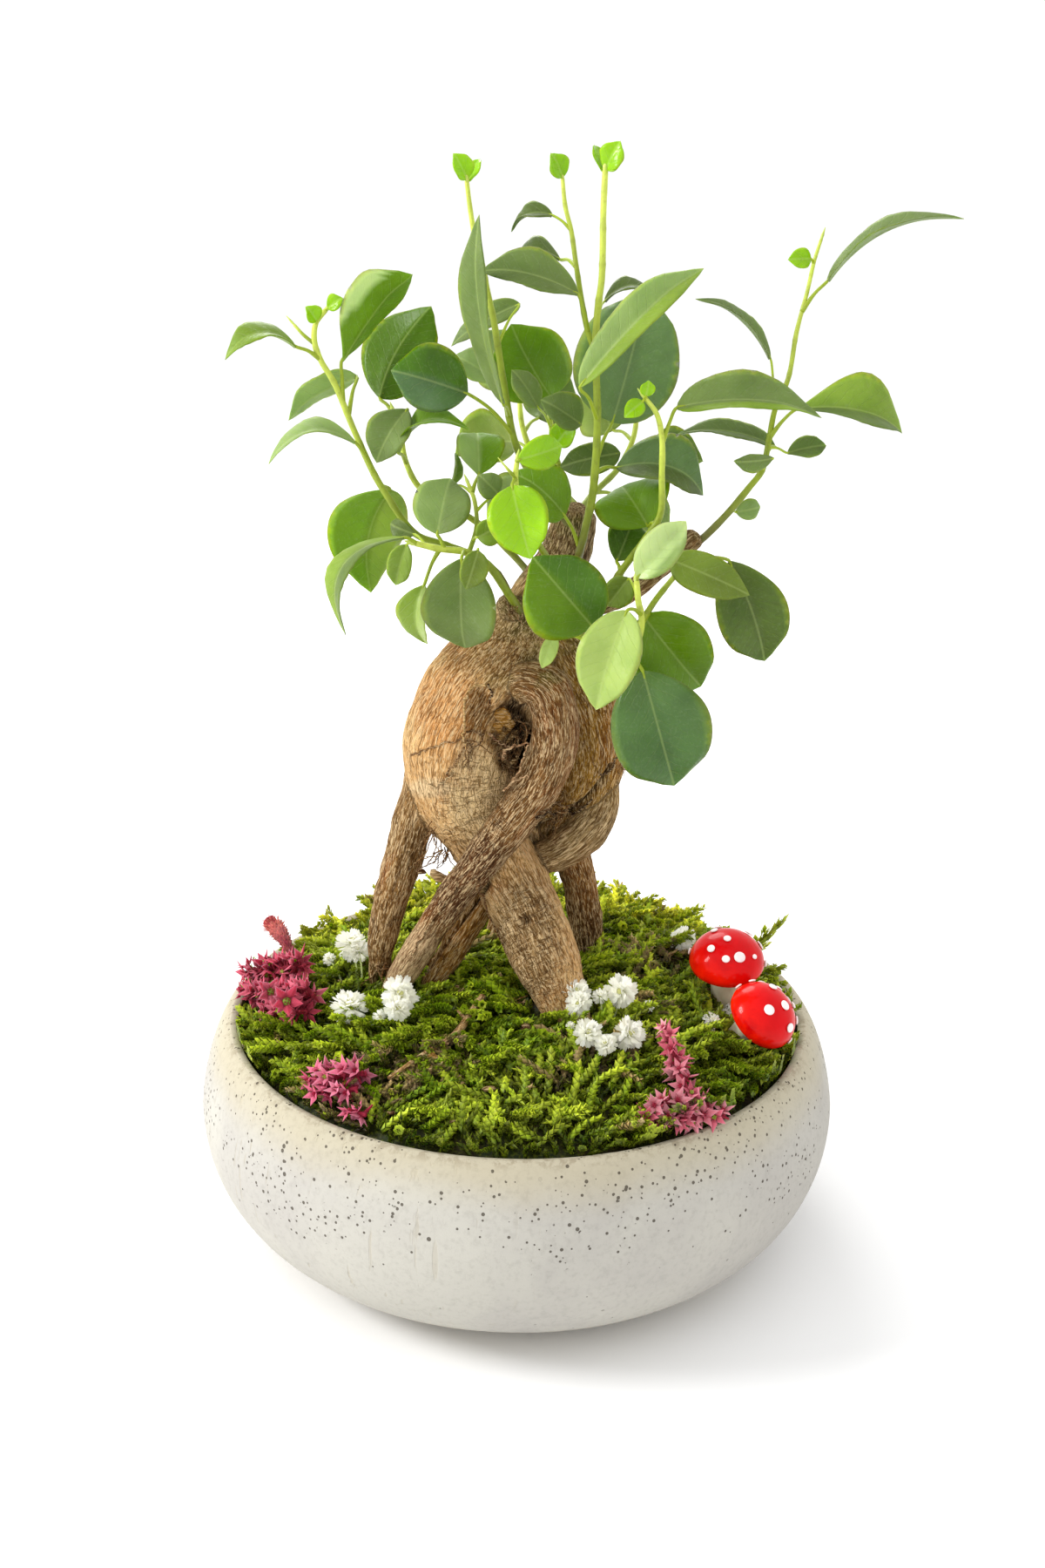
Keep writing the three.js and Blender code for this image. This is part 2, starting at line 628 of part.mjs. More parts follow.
// Bowl: outer superellipse belly, rolled lip, inner wall that follows the outside
function bellyPoints(steps) {
  const points = [];
  for (let step = 0; step <= steps; step += 1) {
    const angle = (step / steps) * (Math.PI / 2);
    const out = Math.sin(angle) ** (2 / UNDERSIDE_POWER);
    const down = Math.cos(angle) ** (2 / UNDERSIDE_POWER);
    points.push(new THREE.Vector2(FOOT_RADIUS + (BOWL_RADIUS - FOOT_RADIUS) * out,
      BELLY_HEIGHT * (1 - down)));
  }
  return points;
}

function shoulderPoints(steps) {
  const points = [];
  const top = BOWL_HEIGHT - LIP_ROUND * 0.4;
  for (let step = 1; step <= steps; step += 1) {
    const angle = (step / steps) * (Math.PI / 2);
    const out = Math.max(0, Math.cos(angle)) ** (2 / SHOULDER_POWER);
    const up = Math.sin(angle) ** (2 / SHOULDER_POWER);
    points.push(new THREE.Vector2(
      SHOULDER_RADIUS + LIP_ROUND * 0.5 + (BOWL_RADIUS - SHOULDER_RADIUS - LIP_ROUND * 0.5) * out,
      BELLY_HEIGHT + (top - BELLY_HEIGHT) * up));
  }
  return points;
}

// Radius of the bowl's inner wall at a height
function innerRadius(height) {
  if (height >= BELLY_HEIGHT) {
    const share = (height - BELLY_HEIGHT) / (BOWL_HEIGHT - BELLY_HEIGHT);
    return BOWL_RADIUS - WALL + (RIM_INNER_RADIUS - BOWL_RADIUS + WALL) * share ** 2;
  }
  const share = (BELLY_HEIGHT - height) / (BELLY_HEIGHT - FLOOR_THICKNESS);
  const floorRadius = FOOT_RADIUS - 4;
  const wide = BOWL_RADIUS - WALL - floorRadius;
  return floorRadius + wide * (1 - share ** UNDERSIDE_POWER) ** (1 / UNDERSIDE_POWER);
}

const WALL_HEIGHTS = [SOIL_TOP, BELLY_HEIGHT, 26, 14, FLOOR_THICKNESS];

function bowlSolid() {
  const inner = [BOWL_HEIGHT - LIP_ROUND, ...WALL_HEIGHTS].map((height) => (
    new THREE.Vector2(innerRadius(height), height)));
  const lip = new THREE.Vector2(RIM_INNER_RADIUS + LIP_ROUND * 0.45, BOWL_HEIGHT);
  const profile = [new THREE.Vector2(0, 0), ...bellyPoints(6), ...shoulderPoints(4), lip,
    ...inner, new THREE.Vector2(0, FLOOR_THICKNESS)];
  const geometry = new THREE.LatheGeometry(profile, BOWL_SECTORS);
  geometry.rotateX(Math.PI / 2);
  return solidOf(geometry);
}

function soilSolid() {
  const wall = WALL_HEIGHTS.map((height) => (
    new THREE.Vector2(innerRadius(height) - SOIL_INSET, height)));
  wall[WALL_HEIGHTS.length - 1].y += GAP;
  const profile = [new THREE.Vector2(0, FLOOR_THICKNESS + GAP), ...wall.reverse(),
    new THREE.Vector2(0, SOIL_TOP)];
  const geometry = new THREE.LatheGeometry(profile, SOIL_SECTORS);
  geometry.rotateX(Math.PI / 2);
  return solidOf(geometry);
}

// Moss: a mound that drops to the lip, with seeded lumps
const mossDraw = draws(20461);
const mossLumps = Array.from({ length: MOSS_LUMPS }, () => {
  const angle = mossDraw() * Math.PI * 2;
  const radius = Math.sqrt(mossDraw()) * (MOSS_RADIUS - 8);
  return {
    x: Math.cos(angle) * radius,
    y: Math.sin(angle) * radius,
    spread: 5 + mossDraw() * 5,
    height: (mossDraw() - 0.35) * 4.5,
  };
});

// Height of the moss where it meets the bowl, lower at both sides than at the front and back
function mossEdgeHeight(angle) {
  return 64.5 - 3 * Math.cos(2 * angle);
}

function mossHeight(x, y) {
  const radius = Math.min(Math.hypot(x, y), MOSS_RADIUS);
  const share = radius / MOSS_RADIUS;
  const edge = mossEdgeHeight(Math.atan2(y, x));
  let height = edge + (MOSS_CROWN - edge) * (1 - share ** 4.5);
  const fade = 1 - share ** 6;
  for (const lump of mossLumps) {
    const near = ((x - lump.x) ** 2 + (y - lump.y) ** 2) / lump.spread ** 2;
    if (near < 6) height += lump.height * Math.exp(-near) * fade;
  }
  return height;
}

// Real place where a sight line comes down to a height above the moss
function overMoss(x, y, lift = 0) {
  const ray = sightLine(x, y).normalize();
  const place = EYE.clone().addScaledVector(ray, 400);
  while (place.z > mossHeight(place.x, place.y) + lift) place.addScaledVector(ray, 0.25);
  return place;
}

// The moss as a closed solid, its top raised by a lift where a clearance is wanted
function mossSolid(lift = 0) {
  const places = [new THREE.Vector3(0, 0, mossHeight(0, 0) + lift)];
  MOSS_RINGS.forEach((radius, ring) => {
    for (let sector = 0; sector < MOSS_SECTORS; sector += 1) {
      const angle = ((sector + (ring % 2) * 0.5) / MOSS_SECTORS) * Math.PI * 2;
      const x = Math.cos(angle) * radius;
      const y = Math.sin(angle) * radius;
      places.push(new THREE.Vector3(x, y, mossHeight(x, y) + lift));
    }
  });
  const bottomHeight = SOIL_TOP + GAP;
  const bottomStart = places.length;
  const lastRing = MOSS_RINGS.length - 1;
  for (let sector = 0; sector < MOSS_SECTORS; sector += 1) {
    const rim = places[1 + lastRing * MOSS_SECTORS + sector];
    places.push(new THREE.Vector3(rim.x, rim.y, bottomHeight));
  }
  places.push(new THREE.Vector3(0, 0, bottomHeight));
  const corners = [];
  for (let sector = 0; sector < MOSS_SECTORS; sector += 1) {
    const next = (sector + 1) % MOSS_SECTORS;
    corners.push(0, 1 + sector, 1 + next);
    for (let ring = 0; ring < lastRing; ring += 1) {
      const a = 1 + ring * MOSS_SECTORS + sector;
      const b = 1 + ring * MOSS_SECTORS + next;
      const c = a + MOSS_SECTORS;
      const d = b + MOSS_SECTORS;
      if (ring % 2) corners.push(a, c, d, a, d, b);
      else corners.push(a, c, b, b, c, d);
    }
    const rimA = 1 + lastRing * MOSS_SECTORS + sector;
    const rimB = 1 + lastRing * MOSS_SECTORS + next;
    const lowA = bottomStart + sector;
    const lowB = bottomStart + next;
    corners.push(rimA, lowA, rimB, rimB, lowA, lowB, places.length - 1, lowB, lowA);
  }
  return solidOf(geometryOf(places, corners));
}

// Root: limbs through picture points with depths, and a real radius at each point
const ROOT_LIMBS = {
  left_bulb: {
    points: [[612, 704, 0], [590, 742, -2], [556, 792, -4], [532, 850, -5], [532, 905, -5],
      [552, 955, -5], [578, 995, -6], [606, 1050, -12], [632, 1112, -20], [650, 1165, -27],
      [660, 1205, -29]],
    radii: [9.5, 13.5, 17.5, 18, 15.5, 11.5, 10.8, 11, 10, 6.5, 4],
    sides: 12, inSoil: true,
  },
  right_bulb: {
    points: [[612, 704, 0], [640, 750, 3], [664, 795, 5], [676, 850, 6], [664, 905, 6],
      [638, 945, 4]],
    radii: [9, 11, 12.5, 12.5, 10.5, 6],
    sides: 11,
  },
  back_bulb: {
    points: [[606, 720, 8], [602, 790, 14], [598, 860, 16], [606, 930, 13], [622, 985, 9]],
    radii: [9, 15, 17, 14, 8],
    sides: 10,
  },
  loop_root: {
    points: [[590, 802, -13], [604, 783, -16], [626, 790, -18], [637, 822, -18],
      [634, 862, -18], [618, 900, -19], [592, 938, -20], [558, 980, -19], [520, 1030, -17],
      [484, 1084, -14], [452, 1136, -13], [440, 1160, -12]],
    radii: [4, 6, 7, 7, 7, 6.8, 6.4, 5.8, 5.2, 4.7, 3.8, 2.5],
    sides: 9, inSoil: true,
  },
  left_leg: {
    points: [[500, 868, -4], [479, 925, -5], [462, 985, -5], [448, 1040, -5], [438, 1082, -6],
      [434, 1112, -6]],
    radii: [7, 6.2, 6, 5.2, 4.3, 2.8],
    sides: 9,
  },
  left_rootlet_outer: {
    points: [[432, 1095, -6], [428, 1120, -7], [434, 1150, -7], [436, 1175, -8]],
    radii: [2.2, 1.7, 1.5, 1.2],
    sides: 6, inSoil: true,
  },
  left_rootlet_inner: {
    points: [[440, 1095, -6], [446, 1118, -5], [449, 1150, -4], [450, 1175, -4]],
    radii: [2.2, 1.6, 1.4, 1.2],
    sides: 6, inSoil: true,
  },
  right_loop: {
    points: [[694, 878, 6], [694, 918, 2], [676, 950, -2], [648, 974, -3], [618, 984, 0]],
    radii: [3.5, 5, 6.4, 6.2, 5],
    sides: 9,
  },
  right_knuckle: {
    points: [[680, 800, 6], [700, 828, 6], [706, 862, 7], [694, 896, 8]],
    radii: [5, 5.2, 4.6, 3],
    sides: 7,
  },
  right_leg: {
    points: [[640, 950, 10], [660, 990, 13], [670, 1040, 14], [677, 1090, 14], [682, 1130, 14]],
    radii: [6, 5.8, 5.6, 5, 3.6],
    sides: 8, inSoil: true,
  },
  back_left_leg: {
    points: [[585, 985, 4], [556, 1032, 0], [526, 1080, -4], [498, 1126, -7], [486, 1155, -9]],
    radii: [5.5, 4.6, 4.4, 4, 2.8],
    sides: 7, inSoil: true,
  },
  back_leg: {
    points: [[604, 960, 12], [590, 1020, 18], [572, 1072, 24], [562, 1110, 28]],
    radii: [7, 5, 4, 3],
    sides: 7, inSoil: true,
  },
  neck: {
    points: [[600, 742, -1], [610, 704, 0], [630, 672, 2], [650, 635, 4], [661, 588, 6]],
    radii: [11, 9.2, 8.2, 7.6, 6.4],
    sides: 10,
  },
  left_stub: {
    points: [[600, 722, -5], [588, 702, -8], [578, 690, -10]],
    radii: [4.5, 3.6, 3],
    sides: 7,
  },
  right_branch: {
    points: [[628, 690, 0], [662, 694, -4], [700, 690, -7], [738, 668, -10], [770, 640, -10],
      [800, 615, -9]],
    radii: [4.5, 3.6, 3.2, 3, 3.2, 3.2],
    sides: 7,
  },
};

// Real places of a limb, with a last one down in the soil under its foot where it stands there
function limbPlaces(points, inSoil) {
  const places = points.map(([x, y, depth]) => seen(x, y, depth));
  if (inSoil) places.push(new THREE.Vector3(places.at(-1).x, places.at(-1).y, ROOT_DEPTH));
  return places;
}

// The root, or the same root grown on all sides by a clearance
function rootSolid(grow = 0) {
  const limbs = Object.values(ROOT_LIMBS).map(({ points, radii, sides, inSoil }) => limb(
    limbPlaces(points, inSoil), inSoil ? [...radii, radii.at(-1) * 0.7] : radii,
    { sides, steps: points.length, grow }));
  return joined(limbs);
}

// Star flower: five long points round a hollow middle, on a short closed cone
function starFlower(centre, facing, radius) {
  const corners = [];
  const places = [];
  const count = 10;
  for (let index = 0; index < count; index += 1) {
    const angle = (index / count) * Math.PI * 2;
    const point = index % 2 === 0;
    const reach = point ? radius : radius * 0.34;
    places.push(new THREE.Vector3(Math.cos(angle) * reach, Math.sin(angle) * reach,
      point ? radius * 0.25 : 0));
    const next = (index + 1) % count;
    corners.push(count, index, next, count + 1, next, index);
  }
  places.push(new THREE.Vector3(0, 0, radius * 0.16), new THREE.Vector3(0, 0, -radius * 0.6));
  const turn = new THREE.Quaternion().setFromUnitVectors(new THREE.Vector3(0, 0, 1), facing);
  places.forEach((place) => place.applyQuaternion(turn).add(centre));
  return solidOf(geometryOf(places, corners));
}

// Pin that stands a flower in a plain hole of the moss
function pin(top, grow = 0) {
  const foot = new THREE.Vector3(top.x, top.y, PIN_DEPTH - grow);
  const radius = PIN_RADIUS + grow;
  return limb([top, top.clone().lerp(foot, 0.5), foot], [radius, radius, radius],
    { sides: 5, steps: 1 });
}

const BREATH_GROUPS = {
  breath_left: [
    { at: [404, 1085], radius: 6, lift: 8.6, seed: 11 },
    { at: [401, 1156], radius: 6.2, lift: 7.6, seed: 12 },
    { at: [458, 1145], radius: 6.2, lift: 8, seed: 13 },
    { at: [436, 1167], radius: 2.6, lift: 5, seed: 14 },
    { at: [378, 1101], radius: 2.4, lift: 5, seed: 15 },
  ],
  breath_right: [
    { at: [660, 1148], radius: 5.6, lift: 7.4, seed: 21 },
    { at: [706, 1139], radius: 6, lift: 7.6, seed: 22 },
    { at: [684, 1192], radius: 5.4, lift: 6.6, seed: 23 },
    { at: [721, 1187], radius: 5.6, lift: 6.8, seed: 24 },
    { at: [748, 1163], radius: 2.2, lift: 5, seed: 25 },
  ],
  breath_back: [{ at: [784, 1078], radius: 4.4, lift: 5.6, seed: 31 }],
  breath_mushroom: [{ at: [817, 1172], radius: 2.9, lift: 4.6, seed: 32 }],
};
const BREATH_HOLLOW = 0.8;
const BREATH_BUD_RADIUS = 3;

// A group of baby's breath: heads on thin stalks that leave one foot in the moss
function breathGroup(heads) {
  const centres = heads.map(({ at, lift }) => overMoss(at[0], at[1], lift));
  const foot = centres.reduce((sum, centre) => sum.add(centre), new THREE.Vector3())
    .multiplyScalar(1 / centres.length);
  foot.z = mossHeight(foot.x, foot.y) + 1.8;
  const pieces = heads.flatMap(({ radius, seed }, index) => [
    petalledBall(centres[index], new THREE.Vector3(radius, radius, radius),
      radius < BREATH_BUD_RADIUS ? 0 : 1, BREATH_HOLLOW, seed),
    limb([foot, foot.clone().lerp(centres[index], 0.5), centres[index]], [0.8, 0.8, 0.8],
      { sides: 3, steps: 1 }),
  ]);
  return { solid: joined(pieces), foot };
}

// Dried star flowers: spikes from one picture point to the other, crowded with pointed petals,
// with whole stars standing out of them
const STAR_GROUPS = {
  stars_left: {
    seed: 41,
    spikes: [
      { from: [284, 1114], to: [352, 1106], lift: [13, 14], thick: 5, stars: 2 },
      { from: [282, 1140], to: [364, 1142], lift: [10, 10.5], thick: 5.2, stars: 3 },
      { from: [304, 1160], to: [354, 1160], lift: [7, 7.5], thick: 4.6, stars: 2 },
    ],
  },
  stars_low_left: {
    seed: 42,
    spikes: [
      { from: [348, 1240], to: [426, 1226], lift: [8, 8], thick: 5, stars: 3 },
      { from: [384, 1258], to: [422, 1278], lift: [5.6, 5.6], thick: 3, stars: 1 },
    ],
  },
  stars_right: {
    seed: 43,
    spikes: [
      { from: [764, 1172], to: [796, 1270], lift: [13, 8], thick: 4.8, stars: 3 },
      { from: [736, 1276], to: [790, 1282], lift: [7, 7], thick: 4.4, stars: 2 },
      { from: [778, 1280], to: [840, 1276], lift: [7, 7], thick: 4.2, stars: 2 },
    ],
  },
};
const STAR_RADIUS = 4.6;
const STAR_HOLLOW = 0.62;

// Spike of crowded petals between two places
function petalSpike(start, end, thick, seed) {
  const line = end.clone().sub(start);
  const half = line.length() / 2;
  line.normalize();
  const geometry = new THREE.IcosahedronGeometry(1, 1);
  geometry.deleteAttribute('normal');
  geometry.deleteAttribute('uv');
  const merged = mergeVertices(geometry, 1e-4);
  const draw = draws(seed);
  const at = merged.attributes.position;
  for (let index = 0; index < at.count; index += 1) {
    const share = draw() < 0.5 ? 1.05 + draw() * 0.2 : STAR_HOLLOW;
    at.setXYZ(index, at.getX(index) * thick * share, at.getY(index) * thick * share,
      at.getZ(index) * half * (0.5 + share * 0.5));
  }
  merged.applyQuaternion(new THREE.Quaternion()
    .setFromUnitVectors(new THREE.Vector3(0, 0, 1), line));
  const middle = start.clone().lerp(end, 0.5);
  merged.translate(middle.x, middle.y, middle.z);
  return solidOf(merged);
}

// One group of star flowers, its spikes fused to a foot that stands in the moss
function starGroup({ seed, spikes }) {
  const draw = draws(seed);
  const ends = spikes.map(({ from, to, lift }) => [
    overMoss(from[0], from[1], lift[0]), overMoss(to[0], to[1], lift[1])]);
  const foot = ends.flat().reduce((sum, place) => sum.add(place), new THREE.Vector3())
    .multiplyScalar(1 / (ends.length * 2));
  foot.z = mossHeight(foot.x, foot.y) + 1.8;
  const pieces = [];
  spikes.forEach(({ thick, stars }, index) => {
    const [start, end] = ends[index];
    const middle = start.clone().lerp(end, 0.5);
    pieces.push(petalSpike(start, end, thick, seed + index));
    pieces.push(limb([foot, foot.clone().lerp(middle, 0.5), middle], [1.3, 1.3, 1.3],
      { sides: 3, steps: 1 }));
    for (let star = 0; star < stars; star += 1) {
      const facing = new THREE.Vector3((draw() - 0.5) * 1.2, -0.5, 0.6 + draw() * 0.4)
        .normalize();
      const centre = start.clone().lerp(end, (star + 0.5) / stars)
        .addScaledVector(facing, thick * 0.8);
      pieces.push(starFlower(centre, facing, STAR_RADIUS));
    }
  });
  return { solid: joined(pieces), foot };
}

// Closed flower tassel that rises from the left group
function tassel() {
  const line = [overMoss(340, 1112, 10), overMoss(328, 1084, 16), overMoss(309, 1056, 20)];
  const body = limb(line, [1.8, 3.6, 3.2], { sides: 6, steps: 3 });
  const along = line[2].clone().sub(line[1]).normalize();
  const brush = petalledBall(line[2], new THREE.Vector3(4.2, 4.2, 5.5), 1, 0.75, 47);
  const tip = limb([line[2], line[2].clone().addScaledVector(along, 3),
    line[2].clone().addScaledVector(along, 5)], [2.4, 2, 1], { sides: 5, steps: 2 });
  return joined([body, brush, tip]);
}

// What keeps a flower clear of the bowl's lip
function lipClearance() {
  const inside = RIM_INNER_RADIUS - GAP * 2;
  const low = BOWL_HEIGHT - 22;
  const high = BOWL_HEIGHT + GAP * 1.5;
  const profile = [[inside, low], [BOWL_RADIUS + 2, low], [BOWL_RADIUS + 2, high],
    [inside, high], [inside, low]].map(([radius, height]) => new THREE.Vector2(radius, height));
  const geometry = new THREE.LatheGeometry(profile, BOWL_SECTORS);
  geometry.rotateX(Math.PI / 2);
  return solidOf(geometry);
}

// Toy mushroom: cap and stem placed on a leaning axis
function turnedAlong(geometry, foot, axis) {
  geometry.rotateX(Math.PI / 2);
  const turn = new THREE.Quaternion().setFromUnitVectors(new THREE.Vector3(0, 0, 1), axis);
  geometry.applyQuaternion(turn);
  geometry.translate(foot.x, foot.y, foot.z);
  return solidOf(geometry);
}

function capSolid(foot, axis, radius, height) {
  const profile = [new THREE.Vector2(0, 0), new THREE.Vector2(radius * 0.55, -0.4),
    new THREE.Vector2(radius * 0.88, 0.4)];
  const steps = 5;
  for (let step = 0; step <= steps; step += 1) {
    const angle = (step / steps) * (Math.PI / 2);
    profile.push(new THREE.Vector2(Math.max(0, Math.cos(angle)) * radius,
      2.6 + Math.sin(angle) * (height - 2.6)));
  }
  return turnedAlong(new THREE.LatheGeometry(profile, 18), foot, axis);
}

function stemSolid(foot, axis, length, radius) {
  const profile = [new THREE.Vector2(0, 0), new THREE.Vector2(radius * 0.8, 0),
    new THREE.Vector2(radius * 0.85, length * 0.45), new THREE.Vector2(radius * 1.2, length),
    new THREE.Vector2(0, length)];
  return turnedAlong(new THREE.LatheGeometry(profile, 10), foot, axis);
}

const MUSHROOMS = {
  mushroom_left: { cap: [834, 1112], depth: -8, lean: [-0.02, -0.18, 1], radius: CAP_RADIUS,
    stemLength: 22, stemRadius: 4.8 },
  mushroom_right: { cap: [868, 1172], depth: -28, lean: [0.55, -0.35, 0.8],
    radius: CAP_RADIUS * 0.94, stemLength: 16, stemRadius: 4.2 },
};

// Assembly
const bowl = bowlSolid();
addMesh('bowl', bowl, 0xcfc9c0, 0.85);

const root = largestBody(rootSolid());
const rootClearance = rootSolid(GAP);
let moss = mossSolid().subtract(rootClearance);
let soil = soilSolid().subtract(rootClearance);
const mossClearance = mossSolid(GAP + 0.15);
const lip = lipClearance();

for (const [name, { stems, leaves }] of Object.entries(SHOOTS)) {
  const lines = Object.values(stems).map(({ points }) => stemLine(points));
  const pieces = Object.values(stems).map(({ points, radii }) => limb(
    points.map(([x, y, depth]) => seen(x, y, depth)),
    points.map((_, index) => THREE.MathUtils.lerp(radii[0], radii[1],
      index / (points.length - 1))),
    { sides: 4, steps: points.length - 1 }));
  for (const leaf of Object.values(leaves)) pieces.push(shootLeaf(lines, leaf));
  addMesh(name, largestBody(joined(pieces).subtract(rootClearance)), 0x4f7a35, 0.45);
}

const standClear = (solid, foot) => largestBody(
  solid.subtract(mossClearance).subtract(rootClearance).subtract(lip).add(pin(foot)));

for (const [name, heads] of Object.entries(BREATH_GROUPS)) {
  const { solid, foot } = breathGroup(heads);
  moss = moss.subtract(pin(foot, GAP));
  addMesh(name, standClear(solid, foot), 0xf2f1ea, 0.8);
}

for (const [name, group] of Object.entries(STAR_GROUPS)) {
  const { solid, foot } = starGroup(group);
  moss = moss.subtract(pin(foot, GAP));
  const whole = name === 'stars_left' ? solid.add(tassel()) : solid;
  addMesh(name, standClear(whole, foot), 0xb8486c, 0.75);
}

for (const [name, { cap, depth, lean, radius, stemLength, stemRadius }]
  of Object.entries(MUSHROOMS)) {
  const axis = new THREE.Vector3(...lean).normalize();
  const capFoot = seen(cap[0], cap[1], depth);
  const capBody = capSolid(capFoot, axis, radius, CAP_HEIGHT * (radius / CAP_RADIUS));
  const stemTop = capFoot.clone().addScaledVector(axis, -GAP - 0.4);
  const stemFoot = stemTop.clone().addScaledVector(axis, -stemLength);
  const stemBody = stemSolid(stemFoot, axis, stemLength, stemRadius);
  moss = moss.subtract(stemSolid(stemFoot.clone().addScaledVector(axis, -GAP), axis,
    stemLength + GAP, stemRadius + GAP));
  addMesh(`${name}_cap`, capBody, 0xc4131b, 0.25);
  addMesh(`${name}_stem`, stemBody, 0xe9e2c8, 0.6);
}

const twigLine = [[554, 1144], [541, 1164], [520, 1190], [482, 1214], [446, 1238]]
  .map(([x, y]) => overMoss(x, y, 0.6));
const twigRadii = [1, 1.3, 1.1, 0.9, 0.6];
const twigShape = { sides: 5, steps: 6 };
moss = moss.subtract(limb(twigLine, twigRadii, { ...twigShape, grow: GAP + 0.1 }));
addMesh('twig', limb(twigLine, twigRadii, twigShape), 0xa9814f, 0.8);

addMesh('ginseng_root', root, 0x9a744c, 0.8);
addMesh('soil', soil, 0x3a2a1e, 0.95);
addMesh('moss_mat', largestBody(moss), 0x5c7a22, 0.95);

export default part;
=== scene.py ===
"""Looks of the ficus ginseng bonsai in its round concrete bowl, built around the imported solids.

Sizes are in millimetres and become metres when a piece is made. The origin is the centre of the
bowl's flat foot, +Z is up, and the front faces -Y.
"""

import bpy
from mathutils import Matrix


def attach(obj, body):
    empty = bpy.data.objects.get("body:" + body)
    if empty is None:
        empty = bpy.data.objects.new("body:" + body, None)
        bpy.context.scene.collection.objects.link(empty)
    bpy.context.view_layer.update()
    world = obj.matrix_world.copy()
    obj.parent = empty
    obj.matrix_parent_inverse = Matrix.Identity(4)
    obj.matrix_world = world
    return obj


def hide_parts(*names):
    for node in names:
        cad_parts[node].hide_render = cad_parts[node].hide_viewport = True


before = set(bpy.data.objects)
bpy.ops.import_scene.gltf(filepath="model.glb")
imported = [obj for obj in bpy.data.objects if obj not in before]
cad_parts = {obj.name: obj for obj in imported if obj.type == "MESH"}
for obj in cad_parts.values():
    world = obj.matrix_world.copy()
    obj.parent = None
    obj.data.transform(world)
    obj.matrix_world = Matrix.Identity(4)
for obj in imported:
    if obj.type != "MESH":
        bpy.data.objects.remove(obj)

import copy
import logging
import math
from collections.abc import Callable, Iterable, Sequence
from dataclasses import dataclass, field
from enum import Enum

import bpy
import numpy as np
from mathutils import Matrix, Vector

log = logging.getLogger("bonsai")

Colour = tuple[float, float, float]
Point = tuple[float, float]
DepthPoint = tuple[float, float, float]
Array = np.ndarray
Draws = np.random.Generator
Material = bpy.types.Material

MM = 0.001
BODY = "root"
FULL_TURN = math.tau
GOLDEN_TURN = math.pi * (3 - math.sqrt(5))
WORD = 0xFFFFFFFF
VEIN_STEP = 3.4
VEIN_SLANT = 0.85


def rgb(red: float, green: float, blue: float) -> Colour:
    """Linear colour from screen values of 0 to 255."""
    return tuple(value / 12.92 if value <= 0.04045 else ((value + 0.055) / 1.055) ** 2.4
                 for value in (red / 255, green / 255, blue / 255))


def unit(vectors: Array) -> Array:
    """Vectors, one or many, brought to a length of one."""
    length = np.linalg.norm(vectors, axis=-1, keepdims=True)
    return vectors / np.maximum(length, 1e-9)


def smooth(value: Array, low: float, high: float) -> Array:
    """Soft step from 0 at low to 1 at high."""
    share = np.clip((value - low) / (high - low), 0.0, 1.0)
    return share * share * (3 - 2 * share)


def blend(first: object, second: object, share: object) -> Array:
    """Values that go from first to second by a share."""
    first = np.asarray(first, float)
    return first + (np.asarray(second, float) - first) * share


def apart(shown: Array, x: float, y: float, wide: float = 1.0, high: float = 1.0) -> Array:
    """How far rows of two values lie from a point, in widths across and heights along."""
    return np.hypot((shown[:, 0] - x) / wide, (shown[:, 1] - y) / high)


def scattered(seed: int) -> Callable[[], float]:
    """Draws from 0 to 1 in the same order as the part's own source makes them.

    Args:
        seed: Where the series starts.

    Returns:
        A function that gives the next draw.
    """
    state = seed & WORD

    def times(left: int, right: int) -> int:
        """Product of two words, kept to one word."""
        return (left * right) & WORD

    def draw() -> float:
        """The next draw of the series.

        Returns:
            A value from 0 to 1.
        """
        nonlocal state
        state = (state + 0x6D2B79F5) & WORD
        mixed = times(state ^ (state >> 15), state | 1)
        mixed ^= (mixed + times(mixed ^ (mixed >> 7), mixed | 61)) & WORD
        return ((mixed ^ (mixed >> 14)) & WORD) / (WORD + 1)

    return draw


@dataclass(frozen=True)
class PictureEye:
    """The photograph's eye, and what its picture points stand for in the real object."""

    place: DepthPoint = (0.17, -520.1, 338.8)
    lens: float = 2100.0
    middle: Point = (600.0, 900.0)
    dip: float = math.radians(20.41)
    roll: float = 0.017

    def ahead(self) -> Array:
        """Direction that the eye looks in."""
        return np.array([0.0, math.cos(self.dip), -math.sin(self.dip)])

    def right(self) -> Array:
        """Direction that runs to the right in the picture."""
        level = np.cross([1.0, 0.0, 0.0], self.ahead())
        return np.array([1.0, 0.0, 0.0]) * math.cos(self.roll) + level * math.sin(self.roll)

    def up(self) -> Array:
        """Direction that runs up in the picture."""
        level = np.cross([1.0, 0.0, 0.0], self.ahead())
        return level * math.cos(self.roll) - np.array([1.0, 0.0, 0.0]) * math.sin(self.roll)

    def sight(self, x: float, y: float) -> Array:
        """Direction from the eye through a picture point.

        Args:
            x: Picture column.
            y: Picture row.

        Returns:
            The direction, one millimetre deep along the view.
        """
        across = (x - self.middle[0]) / self.lens
        rise = (self.middle[1] - y) / self.lens
        return self.ahead() + self.right() * across + self.up() * rise

    def seen(self, x: float, y: float, depth: float) -> Array:
        """Real place that shows at a picture point.

        Args:
            x: Picture column.
            y: Picture row.
            depth: The place's Y in millimetres.

        Returns:
            The place in millimetres.
        """
        ray = self.sight(x, y)
        eye = np.array(self.place)
        return eye + ray * ((depth - eye[1]) / ray[1])

    def shown(self, places: Array) -> Array:
        """Picture points at which places show.

        Args:
            places: Rows of real places.

        Returns:
            Rows of picture column and row.
        """
        away = np.asarray(places) - np.array(self.place)
        near = away @ self.ahead()
        return np.stack([self.middle[0] + self.lens * (away @ self.right()) / near,
                         self.middle[1] - self.lens * (away @ self.up()) / near], axis=-1)


